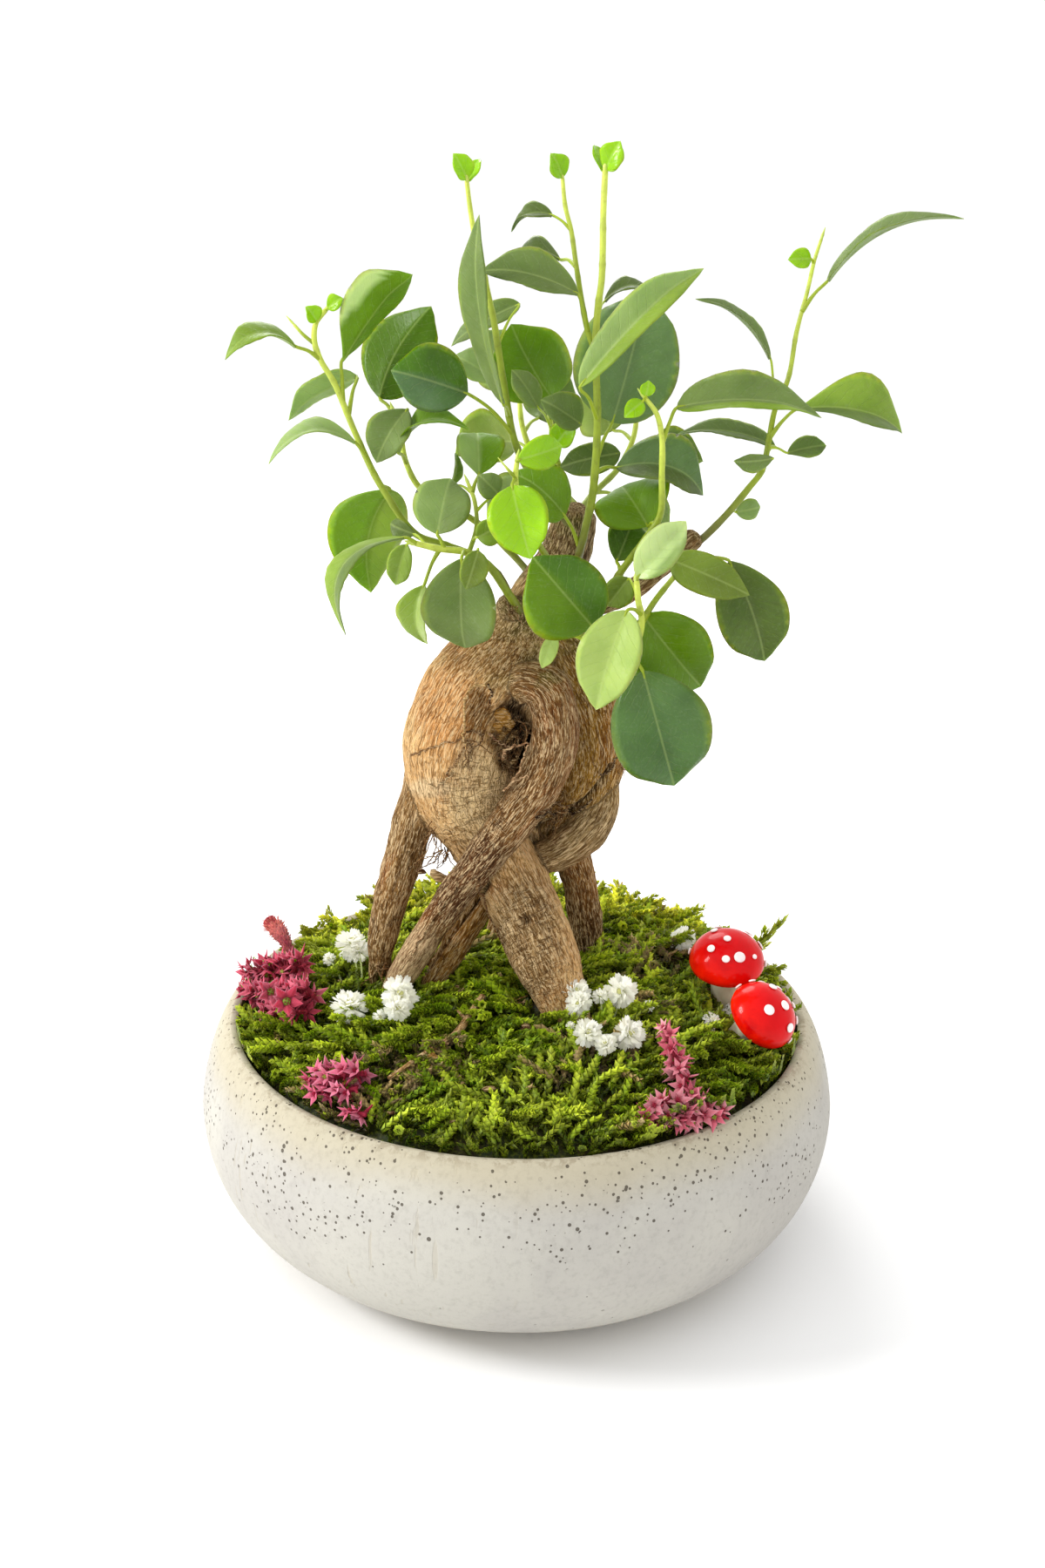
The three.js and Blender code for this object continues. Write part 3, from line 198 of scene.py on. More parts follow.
EYE = PictureEye()
EYE_PLACE = np.array(EYE.place)


def run_along(line: Array) -> Array:
    """Distance along a line at each of its places."""
    return np.concatenate([[0], np.cumsum(np.linalg.norm(np.diff(line, axis=0), axis=1))])


def line_through(points: Sequence, radii: Sequence[float], count: int) -> tuple[Array, Array]:
    """Evenly spaced places on a smooth line through some points, each with a radius.

    Args:
        points: Places that the line passes through.
        radii: Radius at each of them.
        count: How many places to give.

    Returns:
        The places and their radii.
    """
    knots = np.asarray(points, float)
    ends = [2 * knots[0] - knots[1], 2 * knots[-1] - knots[-2]]
    p = np.vstack([ends[0], knots, ends[1]])
    fine = 16
    places, shares = [], []
    for index in range(len(knots) - 1):
        a, b, c, d = p[index:index + 4]
        steps = [max(np.linalg.norm(q - r), 1e-6) ** 0.5 for q, r in ((b, a), (c, b), (d, c))]
        at = [0.0, steps[0], steps[0] + steps[1], sum(steps)]
        for step in range(fine + (index == len(knots) - 2)):
            t = at[1] + (at[2] - at[1]) * step / fine
            ab = a + (b - a) * (t - at[0]) / (at[1] - at[0])
            bc = b + (c - b) * (t - at[1]) / (at[2] - at[1])
            cd = c + (d - c) * (t - at[2]) / (at[3] - at[2])
            low = ab + (bc - ab) * (t - at[0]) / (at[2] - at[0])
            high = bc + (cd - bc) * (t - at[1]) / (at[3] - at[1])
            places.append(low + (high - low) * (t - at[1]) / (at[2] - at[1]))
            shares.append(index + step / fine)
    places = np.array(places)
    run = run_along(places)
    even = np.linspace(0, run[-1], count)
    line = np.stack([np.interp(even, run, places[:, axis]) for axis in range(3)], axis=1)
    share = np.interp(even, run, shares)
    return line, np.interp(share, np.arange(len(radii)), radii)


def carried_frames(line: Array) -> tuple[Array, Array, Array]:
    """Directions carried along a line without twist.

    Args:
        line: Rows of places.

    Returns:
        The line's direction and two directions square to it, at each place.
    """
    ahead = unit(np.gradient(line, axis=0))
    start = np.array([0.0, 0.0, 1.0]) if abs(ahead[0][2]) < 0.9 else np.array([1.0, 0.0, 0.0])
    sides = [unit(np.cross(ahead[0], start))]
    for direction in ahead[1:]:
        side = sides[-1] - direction * (sides[-1] @ direction)
        sides.append(unit(side))
    side = np.array(sides)
    return ahead, side, np.cross(ahead, side)


class Skin:
    """Places and faces gathered for one piece, with the values painted at each place."""

    def __init__(self, rounded: bool = True) -> None:
        """Starts with nothing in it, shaded rounded or facet by facet.

        Args:
            rounded: Whether the faces are shaded rounded.
        """
        self.rounded = rounded
        self.places: list[Array] = []
        self.faces: list[Array] = []
        self.paints: dict[str, list[Array]] = {}
        self.count = 0

    def add(self, places: Array, faces: Iterable[Array], **paints: object) -> None:
        """Adds a body.

        Args:
            places: Rows of places in millimetres.
            faces: Arrays of corner numbers, each of triangles or of four-sided faces.
            **paints: Three values for the body, or a row of three for each place.
        """
        for face in faces:
            self.faces.append(np.asarray(face, np.int64) + self.count)
        for name, values in paints.items():
            rows = np.broadcast_to(np.asarray(values, float), (len(places), 3))
            self.paints.setdefault(name, []).append(rows)
        self.places.append(np.asarray(places, float))
        self.count += len(places)

    def all_places(self) -> Array:
        """Every place added so far, as rows."""
        return np.concatenate(self.places)

    def piece(self, name: str, material: Material) -> bpy.types.Object:
        """Makes the gathered bodies one piece.

        Args:
            name: The piece's name.
            material: What it is finished in.

        Returns:
            The piece, in the scene and riding on the part's body.
        """
        mesh = bpy.data.meshes.new(name)
        places = self.all_places() * MM
        loops = np.concatenate([face.ravel() for face in self.faces])
        sizes = np.concatenate([np.full(len(face), face.shape[1]) for face in self.faces])
        starts = np.concatenate([[0], np.cumsum(sizes)[:-1]])
        mesh.vertices.add(len(places))
        mesh.vertices.foreach_set("co", places.ravel())
        mesh.loops.add(len(loops))
        mesh.loops.foreach_set("vertex_index", loops.astype(np.int32))
        mesh.polygons.add(len(sizes))
        mesh.polygons.foreach_set("loop_start", starts.astype(np.int32))
        mesh.polygons.foreach_set("use_smooth", np.full(len(sizes), self.rounded))
        mesh.update(calc_edges=True)
        for paint, rows in self.paints.items():
            values = np.concatenate(rows)
            if paint == "tint":
                layer = mesh.attributes.new(paint, "FLOAT_COLOR", "POINT")
                full = np.concatenate([values, np.ones((len(values), 1))], axis=1)
                layer.data.foreach_set("color", full.ravel())
            else:
                layer = mesh.attributes.new(paint, "FLOAT_VECTOR", "POINT")
                layer.data.foreach_set("vector", values.ravel())
        mesh.validate()
        return placed(name, mesh, material)


def placed(name: str, mesh: bpy.types.Mesh, material: Material) -> bpy.types.Object:
    """Puts a mesh in the scene as a piece that rides on the part's body.

    Args:
        name: The piece's name.
        mesh: Its mesh, in metres.
        material: What it is finished in.

    Returns:
        The piece.
    """
    mesh.materials.clear()
    mesh.materials.append(material)
    piece = bpy.data.objects.new(name, mesh)
    bpy.context.scene.collection.objects.link(piece)
    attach(piece, BODY)
    log.info("%s: %d faces", name, len(mesh.polygons))
    return piece


def ring_faces(rings: int, sides: int) -> Array:
    """Four-sided faces that join rings of places, each ring closed on itself.

    Args:
        rings: Number of rings.
        sides: Places in a ring.

    Returns:
        Rows of four corner numbers.
    """
    ring = np.arange(rings - 1)[:, None] * sides
    side = np.arange(sides)[None, :]
    after = (side + 1) % sides
    corners = [ring + side, ring + after, ring + sides + after, ring + sides + side]
    return np.stack(np.broadcast_arrays(*corners), axis=-1).reshape(-1, 4)


def fan_faces(first: int, sides: int, tip: int, flip: bool) -> Array:
    """Triangles that close a ring of places on one more place.

    Args:
        first: Number of the ring's first place.
        sides: Places in a ring.
        tip: Number of the place that closes it.
        flip: Whether the triangles face the other way.

    Returns:
        Rows of three corner numbers.
    """
    side = np.arange(sides)
    after = (side + 1) % sides
    pair = (after, side) if flip else (side, after)
    return np.stack([first + pair[0], first + pair[1], np.full(sides, tip)], axis=1)


def closed_faces(rings: int, sides: int) -> list[Array]:
    """Faces of a closed body of rings, whose two end places follow the last ring.

    Args:
        rings: Number of rings.
        sides: Places in a ring.

    Returns:
        The side faces and both ends.
    """
    count = rings * sides
    return [ring_faces(rings, sides), fan_faces(0, sides, count, True),
            fan_faces(count - sides, sides, count + 1, False)]


def tube(line: Array, radii: Array, sides: int, wobble: Array | None = None
         ) -> tuple[Array, list[Array]]:
    """Closed round bar along a line.

    Args:
        line: Rows of places.
        radii: Radius at each place.
        sides: Places round the bar.
        wobble: Share added to the radius, for each place and side.

    Returns:
        Its places, ring after ring with the two end places last, and its faces.
    """
    _, side, rise = carried_frames(line)
    ahead = unit(np.gradient(line, axis=0))
    turn = np.arange(sides) / sides * FULL_TURN
    reach = np.asarray(radii)[:, None] * (1 if wobble is None else 1 + wobble)
    reach = np.broadcast_to(reach, (len(line), sides))[..., None]
    rings = (line[:, None] + side[:, None] * np.cos(turn)[None, :, None] * reach
             + rise[:, None] * np.sin(turn)[None, :, None] * reach)
    ends = [line[0] - ahead[0] * radii[0] * 0.5, line[-1] + ahead[-1] * radii[-1] * 0.5]
    return np.vstack([rings.reshape(-1, 3), ends]), closed_faces(len(line), sides)


# Share of the length and share of the width of each corner of a small blade.
LANCE = ((0.0, 0.0), (0.45, 0.5), (1.0, 0.0), (0.45, -0.5))
STAR_PETAL = ((0.0, 0.0), (0.36, 0.5), (1.0, 0.0), (0.36, -0.5))
ROUND_PETAL = ((0.0, 0.0), (0.4, 0.3), (0.82, 0.5), (0.98, 0.22), (0.9, -0.02), (1.0, -0.26),
               (0.8, -0.5), (0.4, -0.3))


def lances(base: Array, tip: Array, face: Array, width: object,
           thick: object, outline: Sequence[Point] = LANCE) -> tuple[Array, list[Array]]:
    """Many small closed thin blades, such as petals and bristles.

    Args:
        base: Row of where each blade starts.
        tip: Row of where it ends.
        face: Row of the direction that its broad side faces.
        width: Width of each, or one for all.
        thick: Thickness of each, or one for all.
        outline: Share of the length and share of the width of each corner, from the base.

    Returns:
        For each blade its corners, the middle of its front and the middle of its back, and the
        triangles.
    """
    run = unit(tip - base)
    face = unit(face - run * np.sum(face * run, axis=-1, keepdims=True))
    across = np.cross(run, face)
    wide = np.broadcast_to(np.asarray(width, float), (len(base),))[:, None]
    deep = np.broadcast_to(np.asarray(thick, float), (len(base),))[:, None] / 2
    rim = [base + (tip - base) * far + across * wide * aside for far, aside in outline]
    middle = base + (tip - base) * outline[1][0]
    places = np.stack([*rim, middle + face * deep, middle - face * deep], axis=1)
    count = len(outline)
    corner = np.arange(count)
    after = (corner + 1) % count
    pattern = np.concatenate([np.column_stack([corner, after, np.full(count, count)]),
                              np.column_stack([after, corner, np.full(count, count + 1)])])
    faces = np.arange(len(base))[:, None, None] * (count + 2) + pattern
    return places.reshape(-1, 3), [faces.reshape(-1, 3)]


def turned(profile: Sequence[Point], sectors: int) -> tuple[Array, list[Array]]:
    """Closed body of revolution about the Z axis.

    Args:
        profile: Radius and height pairs from the lower axis place, outside first, to the upper.
        sectors: Places round the axis.

    Returns:
        Its places and its faces.
    """
    rows = np.asarray(profile, float)
    turn = np.arange(sectors) / sectors * FULL_TURN
    middle = rows[1:-1]
    rings = np.stack([middle[:, :1] * np.cos(turn), middle[:, :1] * np.sin(turn),
                      np.broadcast_to(middle[:, 1:], (len(middle), sectors))], axis=-1)
    places = np.vstack([rings.reshape(-1, 3), [0, 0, rows[0, 1]], [0, 0, rows[-1, 1]]])
    return places, closed_faces(len(middle), sectors)


def turned_along(places: Array, foot: Array, axis: Array) -> Array:
    """Places of an upright body, leant so that its Z axis runs along an axis from a foot."""
    turn = Vector((0, 0, 1)).rotation_difference(Vector(axis)).to_matrix()
    return places @ np.array(turn).T + foot


def clouds(places: Array, size: float, seed: int, layers: int = 3) -> Array:
    """Soft seeded noise from -1 to 1 at places.

    Args:
        places: Rows of places.
        size: Distance between lumps, in the places' own unit.
        seed: Which noise.
        layers: How many finer layers are added.

    Returns:
        A value for each place.
    """
    total = np.zeros(len(places))
    weight = 0.0
    for layer in range(layers):
        share = 0.5 ** layer
        total += lattice_noise(places / (size * share), seed + layer * 101) * share
        weight += share
    return total / weight


def lattice_noise(places: Array, seed: int) -> Array:
    """One layer of smooth noise, drawn at whole-number places and eased between them.

    Args:
        places: Rows of places.
        seed: Which noise.

    Returns:
        A value from -1 to 1 for each place.
    """
    cell = np.floor(places).astype(np.int64)
    ease = places - cell
    ease = ease * ease * (3 - 2 * ease)
    total = np.zeros(len(places))
    for corner in range(8):
        step = np.array([corner & 1, corner >> 1 & 1, corner >> 2 & 1])
        key = cell + step
        mixed = (key[:, 0] * 73856093 ^ key[:, 1] * 19349663 ^ key[:, 2] * 83492791
                 ^ seed * 2654435761) & WORD
        mixed = ((mixed ^ (mixed >> 13)) * 1274126177) & WORD
        mixed = ((mixed ^ (mixed >> 16)) * 668265263) & WORD
        value = ((mixed ^ (mixed >> 15)) & WORD) / WORD * 2 - 1
        share = np.prod(np.where(step, ease, 1 - ease), axis=1)
        total += value * share
    return total


class Bench:
    """A material in the making: one Principled shader and the nodes that feed it."""

    def __init__(self, name: str, **fixed: float | tuple) -> None:
        """Starts a material.

        Args:
            name: The material's name.
            **fixed: Values set on the shader's own sockets, with spaces written as underscores.
        """
        self.material = bpy.data.materials.new(name)
        self.material.use_nodes = True
        self.nodes = self.material.node_tree.nodes
        self.links = self.material.node_tree.links
        self.nodes.clear()
        self.shader = self.nodes.new("ShaderNodeBsdfPrincipled")
        output = self.nodes.new("ShaderNodeOutputMaterial")
        self.links.new(self.shader.outputs["BSDF"], output.inputs["Surface"])
        for socket, value in fixed.items():
            self.shader.inputs[socket.replace("_", " ")].default_value = value

    def feed(self, socket: object, value: object) -> None:
        """Links a value to a socket, or sets it where it is a plain number or colour.

        Args:
            socket: Where it goes.
            value: The value.
        """
        if isinstance(value, bpy.types.NodeSocket):
            self.links.new(value, socket)
        elif isinstance(value, tuple) and socket.type == "RGBA":
            socket.default_value = (*value[:3], 1.0)
        else:
            socket.default_value = value

    def painted(self, name: str, output: str = "Color") -> object:
        """Value painted on the piece.

        Args:
            name: The paint's name.
            output: Which output to take.

        Returns:
            The value's socket.
        """
        node = self.nodes.new("ShaderNodeAttribute")
        node.attribute_name = name
        return node.outputs[output]

    def place(self) -> object:
        """Place in the object's own space, in metres."""
        return self.nodes.new("ShaderNodeTexCoord").outputs["Object"]

    def vector(self, operation: str, first: object, second: object) -> object:
        """Vector arithmetic.

        Args:
            operation: Which operation.
            first: First value.
            second: Second value.

        Returns:
            The result's socket.
        """
        node = self.nodes.new("ShaderNodeVectorMath")
        node.operation = operation
        self.feed(node.inputs[0], first)
        self.feed(node.inputs[1], second)
        return node.outputs["Value" if operation == "DISTANCE" else "Vector"]

    def part_of(self, vector: object, axis: str) -> object:
        """One coordinate of a vector.

        Args:
            vector: The vector.
            axis: Which coordinate.

        Returns:
            The coordinate's socket.
        """
        node = self.nodes.new("ShaderNodeSeparateXYZ")
        self.feed(node.inputs[0], vector)
        return node.outputs[axis]

    def sum_of(self, operation: str, first: object, second: object = 0.0) -> object:
        """Plain arithmetic.

        Args:
            operation: Which operation.
            first: First value.
            second: Second value.

        Returns:
            The result's socket.
        """
        node = self.nodes.new("ShaderNodeMath")
        node.operation = operation
        self.feed(node.inputs[0], first)
        self.feed(node.inputs[1], second)
        return node.outputs[0]

    def times(self, first: object, second: object) -> object:
        """Product of two values."""
        return self.sum_of("MULTIPLY", first, second)

    def noise(self, where: object, scale: float, detail: float = 4.0, rough: float = 0.55,
              bend: float = 0.0) -> object:
        """Cloudy noise from 0 to 1.

        Args:
            where: Where the noise is read.
            scale: Lumps to the unit.
            detail: Finer layers.
            rough: Weight of the finer layers.
            bend: How far it is bent.

        Returns:
            The noise's socket.
        """
        node = self.nodes.new("ShaderNodeTexNoise")
        self.feed(node.inputs["Vector"], where)
        for socket, value in (("Scale", scale), ("Detail", detail), ("Roughness", rough),
                              ("Distortion", bend)):
            node.inputs[socket].default_value = value
        return node.outputs[0]

    def cells(self, where: object, scale: float, scatter: float = 1.0) -> tuple[object, object]:
        """Distance to the nearest of scattered points, and a random colour for each.

        Args:
            where: Where they are read.
            scale: Points to the unit.
            scatter: How unevenly the points lie.

        Returns:
            The distance's and the colour's sockets.
        """
        node = self.nodes.new("ShaderNodeTexVoronoi")
        self.feed(node.inputs["Vector"], where)
        node.inputs["Scale"].default_value = scale
        node.inputs["Randomness"].default_value = scatter
        return node.outputs["Distance"], node.outputs["Color"]

    def step(self, value: object, low: float, high: float, first: float = 0.0,
             last: float = 1.0) -> object:
        """Soft step of a value from first to last as it goes from low to high.

        Args:
            value: The value.
            low: Where the step starts.
            high: Where it ends.
            first: Value before the step.
            last: Value at its end.

        Returns:
            The result's socket.
        """
        node = self.nodes.new("ShaderNodeMapRange")
        node.interpolation_type = "SMOOTHSTEP"
        for socket, part in zip(node.inputs[:5], (value, low, high, first, last)):
            self.feed(socket, part)
        return node.outputs[0]

    def mix(self, share: object, first: object, second: object, mode: str = "MIX") -> object:
        """Mix of two colours.

        Args:
            share: Share of the second.
            first: First colour.
            second: Second colour.
            mode: How they are mixed.

        Returns:
            The colour's socket.
        """
        node = self.nodes.new("ShaderNodeMix")
        node.data_type = "RGBA"
        node.blend_type = mode
        self.feed(node.inputs[0], share)
        self.feed(node.inputs[6], first)
        self.feed(node.inputs[7], second)
        return node.outputs[2]

    def colour(self, value: object) -> None:
        """Feeds the shader's colour."""
        self.feed(self.shader.inputs["Base Color"], value)

    def roughness(self, value: object) -> None:
        """Feeds the shader's roughness."""
        self.feed(self.shader.inputs["Roughness"], value)

    def relief(self, height: object, distance: float, strength: float = 1.0) -> None:
        """Feeds the shader's normal from a height.

        Args:
            height: Height from 0 to 1.
            distance: What a height of 1 stands for, in metres.
            strength: How much of the relief shows.
        """
        node = self.nodes.new("ShaderNodeBump")
        node.inputs["Distance"].default_value = distance
        node.inputs["Strength"].default_value = strength
        self.feed(node.inputs["Height"], height)
        self.links.new(node.outputs[0], self.shader.inputs["Normal"])


@dataclass(frozen=True)
class ConcreteFinish:
    """Pale cast concrete with pinholes, a creamy rim and mould streaks."""

    body: Colour = rgb(191, 188, 178)
    shade: Colour = rgb(176, 172, 166)
    rim: Colour = rgb(186, 176, 148)
    foot: Colour = rgb(172, 162, 140)
    # pit is the dark inside the pinholes, painted shade where the holes lie in shadow; it also
    # darkens fine specks faintly
    pit: Colour = rgb(72, 64, 52)
    lip: Colour = rgb(120, 102, 76)

    def make(self) -> Material:
        """Makes the material.

        Returns:
            The material.
        """
        bench = Bench("cast_concrete", Roughness=0.86, Specular_IOR_Level=0.25)
        place = bench.place()
        height = bench.part_of(place, "Z")
        mottle = bench.noise(place, 19, 5, 0.6, 0.4)
        fine = bench.noise(place, 520, 4, 0.7)
        tone = bench.mix(bench.step(mottle, 0.35, 0.7, 0.0, 0.8), self.body, self.shade)
        tall = bench.vector("MULTIPLY", place, (330.0, 330.0, 11.0))
        streak = bench.step(bench.noise(tall, 1.0, 3, 0.6), 0.61, 0.7)
        left = bench.step(bench.part_of(place, "X"), 0.03, -0.06, 0.08, 1.0)
        streak = bench.times(streak, left)
        tone = bench.mix(bench.times(streak, 0.45), tone, self.foot)
        edge = bench.sum_of("ADD", height, bench.times(mottle, 0.016))
        tone = bench.mix(bench.step(edge, 0.062, 0.0775, 0.0, 0.75), tone, self.rim)
        tone = bench.mix(bench.step(edge, 0.021, 0.009, 0.0, 0.7), tone, self.foot)
        tone = bench.mix(bench.step(fine, 0.45, 0.72, 0.0, 0.13), tone, self.pit)
        lip = bench.times(bench.step(height, 0.0672, 0.0698),
                          bench.step(bench.noise(place, 330, 4, 0.7), 0.48, 0.62))
        tone = bench.mix(bench.times(lip, 0.42), tone, self.lip)
        near_rim = bench.step(height, 0.03, 0.058, 0.06, 1.0)
        crowd = bench.step(bench.noise(place, 30, 3, 0.6), 0.42, 0.6, 0.12, 1.0)
        share = bench.times(near_rim, crowd)
        large = self.pits(bench, place, 300, bench.times(share, 0.6), 0.22)
        aside = bench.step(bench.sum_of("ABSOLUTE", bench.part_of(place, "X")), 0.03, 0.075,
                           1.0, 2.4)
        small = self.pits(bench, place, 640, bench.times(share, aside), 0.36)
        depth = bench.sum_of("MAXIMUM", large, small)
        # painted shade: the pinholes are painted dark inside
        bench.colour(bench.mix(bench.times(depth, 0.85), tone, self.pit))
        relief = bench.sum_of("SUBTRACT", bench.times(fine, 0.2), depth)
        relief = bench.sum_of("SUBTRACT", relief, bench.times(streak, 0.3))
        bench.relief(relief, 0.0006, 0.7)
        return bench.material

    def pits(self, bench: Bench, place: object, scale: float, share: object,
             radius: float) -> object:
        """Round pits at some of scattered points.

        Args:
            bench: The material in the making.
            place: Where the surface is.
            scale: Points to the metre.
            share: Share of the points that have a pit.
            radius: Radius of the widest pit, in cells.

        Returns:
            1 in a pit and 0 outside.
        """
        distance, colour = bench.cells(place, scale)
        chosen = bench.step(bench.sum_of("SUBTRACT", share, bench.part_of(colour, "X")), 0.0, 0.04)
        size = bench.times(bench.part_of(colour, "Y"), radius)
        deep = bench.sum_of("SUBTRACT", size, distance)
        return bench.times(bench.step(deep, 0.0, 0.05), chosen)


@dataclass(frozen=True)
class SoilFinish:
    """Dark crumbly potting soil."""

    dark: Colour = rgb(38, 27, 18)
    light: Colour = rgb(84, 62, 42)

    def make(self) -> Material:
        """Makes the material.

        Returns:
            The material.
        """
        bench = Bench("potting_soil", Roughness=0.95)
        place = bench.place()
        crumb = bench.noise(place, 240, 6, 0.7, 0.8)
        bench.colour(bench.mix(bench.step(crumb, 0.35, 0.7), self.dark, self.light))
        bench.relief(crumb, 0.003)
        return bench.material


@dataclass(frozen=True)
class MossFinish:
    """Moss shoots, whose colour is painted along each of them."""

    yellow: Colour = rgb(176, 188, 40)

    def make(self) -> Material:
        """Makes the material.

        Returns:
            The material.
        """
        bench = Bench("sheet_moss", Roughness=0.5, Specular_IOR_Level=0.2,
                      Subsurface_Weight=0.2, Subsurface_Scale=0.0015,
                      Subsurface_Radius=(0.6, 1.0, 0.2))
        fine = bench.noise(bench.place(), 900, 2, 0.5)
        bench.colour(bench.mix(bench.step(fine, 0.45, 0.8, 0.0, 0.25), bench.painted("tint"),
                               self.yellow))
        bench.relief(fine, 0.0003, 0.6)
        return bench.material


@dataclass(frozen=True)
class BarkFinish:
    """Fibrous bark, whose fibres and cracks follow each root by the values painted on it."""

    name: str = "fibrous_bark"
    gap: Colour = (0.34, 0.26, 0.17)
    pale: Colour = rgb(236, 206, 158)
    red: Colour = rgb(168, 92, 44)

    def make(self) -> Material:
        """Makes the material.

        Returns:
            The material.
        """
        bench = Bench(self.name, Roughness=0.85, Specular_IOR_Level=0.1)
        grain = bench.painted("grain", "Vector")
        wear = bench.painted("wear", "Vector")
        place = bench.place()
        fibre = bench.noise(bench.vector("MULTIPLY", grain, (0.15, 1.2, 1.2)), 1.0, 5, 0.68, 0.9)
        fleck = bench.noise(bench.vector("MULTIPLY", grain, (0.45, 2.7, 2.7)), 1.0, 3, 0.6, 0.5)
        blotch = bench.noise(place, 60, 5, 0.65, 0.6)
        crack = self.lines(bench, grain, (0.6, 0.13, 0.13), 0.024)
        crack = bench.times(crack, bench.part_of(wear, "X"))
        seam = self.lines(bench, grain, (0.085, 0.7, 0.7), 0.026)
        flake = self.lines(bench, grain, (0.42, 0.1, 0.1), 0.012)
        flake = bench.times(flake, bench.part_of(wear, "X"))
        tone = bench.painted("tint")
        darker = bench.mix(1.0, tone, self.gap, "MULTIPLY")
        tone = bench.mix(bench.step(blotch, 0.54, 0.72, 0.0, 0.32), tone, self.red)
        tone = bench.mix(bench.step(fibre, 0.48, 0.38, 0.0, 0.7), tone, darker)
        tone = bench.mix(bench.step(fibre, 0.52, 0.61, 0.0, 0.65), tone, self.pale)
        tone = bench.mix(bench.step(fleck, 0.46, 0.4, 0.0, 0.7), tone, darker)
        tone = bench.mix(bench.step(fleck, 0.53, 0.6, 0.0, 0.65), tone, self.pale)
        tone = bench.mix(bench.times(seam, 0.75), tone, darker)
        tone = bench.mix(bench.times(flake, 0.6), tone, self.pale)
        tone = bench.mix(bench.times(crack, 0.7), tone, darker)
        bench.colour(tone)
        height = bench.sum_of("ADD", bench.times(fibre, 0.6), bench.times(fleck, 0.7))
        for line in (crack, seam):
            height = bench.sum_of("SUBTRACT", height, bench.times(line, 0.35))
        bench.relief(height, 0.0013, 1.0)
        return bench.material

    def lines(self, bench: Bench, grain: object, stretch: DepthPoint, wide: float) -> object:
        """Thin wandering lines, 1 on a line and 0 beside it.

        Args:
            bench: The material in the making.
            grain: Place along and across the limb.
            stretch: Scale of the noise on each axis.
            wide: Half width of a line.

        Returns:
            The lines' socket.
        """
        cloud = bench.noise(bench.vector("MULTIPLY", grain, stretch), 1.0, 2, 0.5, 0.3)
        off = bench.sum_of("ABSOLUTE", bench.sum_of("SUBTRACT", cloud, 0.5))
        return bench.step(off, wide, wide * 0.2)


@dataclass(frozen=True)
class LeafFinish:
    """Smooth leathery leaf with a pale midrib and fine side veins."""

    vein: Colour = rgb(206, 224, 138)
    bloom: Colour = rgb(196, 208, 180)

    def make(self) -> Material:
        """Makes the material.

        Returns:
            The material.
        """
        bench = Bench("ficus_leaf", Specular_IOR_Level=0.22, Subsurface_Weight=0.25,
                      Subsurface_Scale=0.0018, Subsurface_Radius=(0.7, 1.0, 0.12))
        blade = bench.painted("blade", "Vector")
        side = bench.sum_of("ABSOLUTE", bench.part_of(blade, "X"))
        along = bench.part_of(blade, "Y")
        place = bench.place()
        midrib = bench.step(side, 0.5, 0.08)
        bent = bench.times(bench.noise(place, 190, 3), 3.2)
        reach = bench.sum_of("SUBTRACT", along, bench.times(side, VEIN_SLANT))
        run = bench.sum_of("ADD", reach, bent)
        wave = bench.sum_of("SINE", bench.times(run, FULL_TURN / VEIN_STEP))
        veins = bench.times(bench.step(wave, 0.93, 1.0), bench.step(side, 9.0, 3.0, 0.25, 1.0))
        cloud = bench.noise(place, 75, 4, 0.6, 0.4)
        net = bench.noise(place, 1300, 2, 0.5)
        tone = bench.painted("tint")
        tone = bench.mix(bench.step(cloud, 0.42, 0.7, 0.0, 0.35), tone,
                         bench.mix(1.0, tone, (0.55, 0.68, 0.45), "MULTIPLY"))
        tone = bench.mix(bench.step(net, 0.5, 0.8, 0.0, 0.06), tone, self.bloom)
        tone = bench.mix(bench.times(veins, 0.05), tone, self.vein)
        tone = bench.mix(bench.times(midrib, 0.17), tone, self.vein)
        bench.colour(tone)
        bench.roughness(bench.times(bench.part_of(blade, "Z"),
                                    bench.step(cloud, 0.3, 0.7, 0.8, 1.2)))
        height = bench.sum_of("ADD", bench.times(veins, -0.5), bench.times(net, 0.35))
        bench.relief(height, 0.0004, 0.55)
        return bench.material


@dataclass(frozen=True)
class StalkFinish:
    """Green shoot bark, whose colour is painted along the shoot."""

    def make(self) -> Material:
        """Makes the material.

        Returns:
            The material.
        """
        bench = Bench("green_shoot", Roughness=0.45, Subsurface_Weight=0.12,
                      Subsurface_Scale=0.001, Subsurface_Radius=(0.7, 1.0, 0.2))
        place = bench.place()
        speck = bench.noise(place, 900, 3, 0.6)
        tone = bench.painted("tint")
        tone = bench.mix(bench.step(speck, 0.5, 0.75, 0.0, 0.4), tone,
                         bench.mix(1.0, tone, (0.5, 0.42, 0.3), "MULTIPLY"))
        bench.colour(tone)
        bench.relief(speck, 0.0003, 0.6)
        return bench.material


@dataclass(frozen=True)
class PetalFinish:
    """Dry petals, whose colour is painted on each of them, and which may glow faintly as painted
    light.
    """

    name: str
    glow: Colour
    shade: Colour
    through: float
    # How strongly the petals glow, painted light that brightens them beyond their colour.
    lift: float

    def make(self) -> Material:
        """Makes the material.

        Returns:
            The material.
        """
        # the emission makes the petals glow faintly, as painted light
        bench = Bench(self.name, Roughness=0.7, Subsurface_Weight=self.through,
                      Subsurface_Scale=0.003, Subsurface_Radius=self.glow,
                      Specular_IOR_Level=0.3, Emission_Strength=self.lift,
                      Emission_Color=(*self.glow, 1.0))
        fine = bench.noise(bench.place(), 1100, 3, 0.6)
        tone = bench.painted("tint")
        bench.colour(bench.mix(bench.step(fine, 0.4, 0.75, 0.0, 0.35), tone,
                               bench.mix(1.0, tone, self.shade, "MULTIPLY")))
        bench.relief(fine, 0.0003, 0.5)
        return bench.material


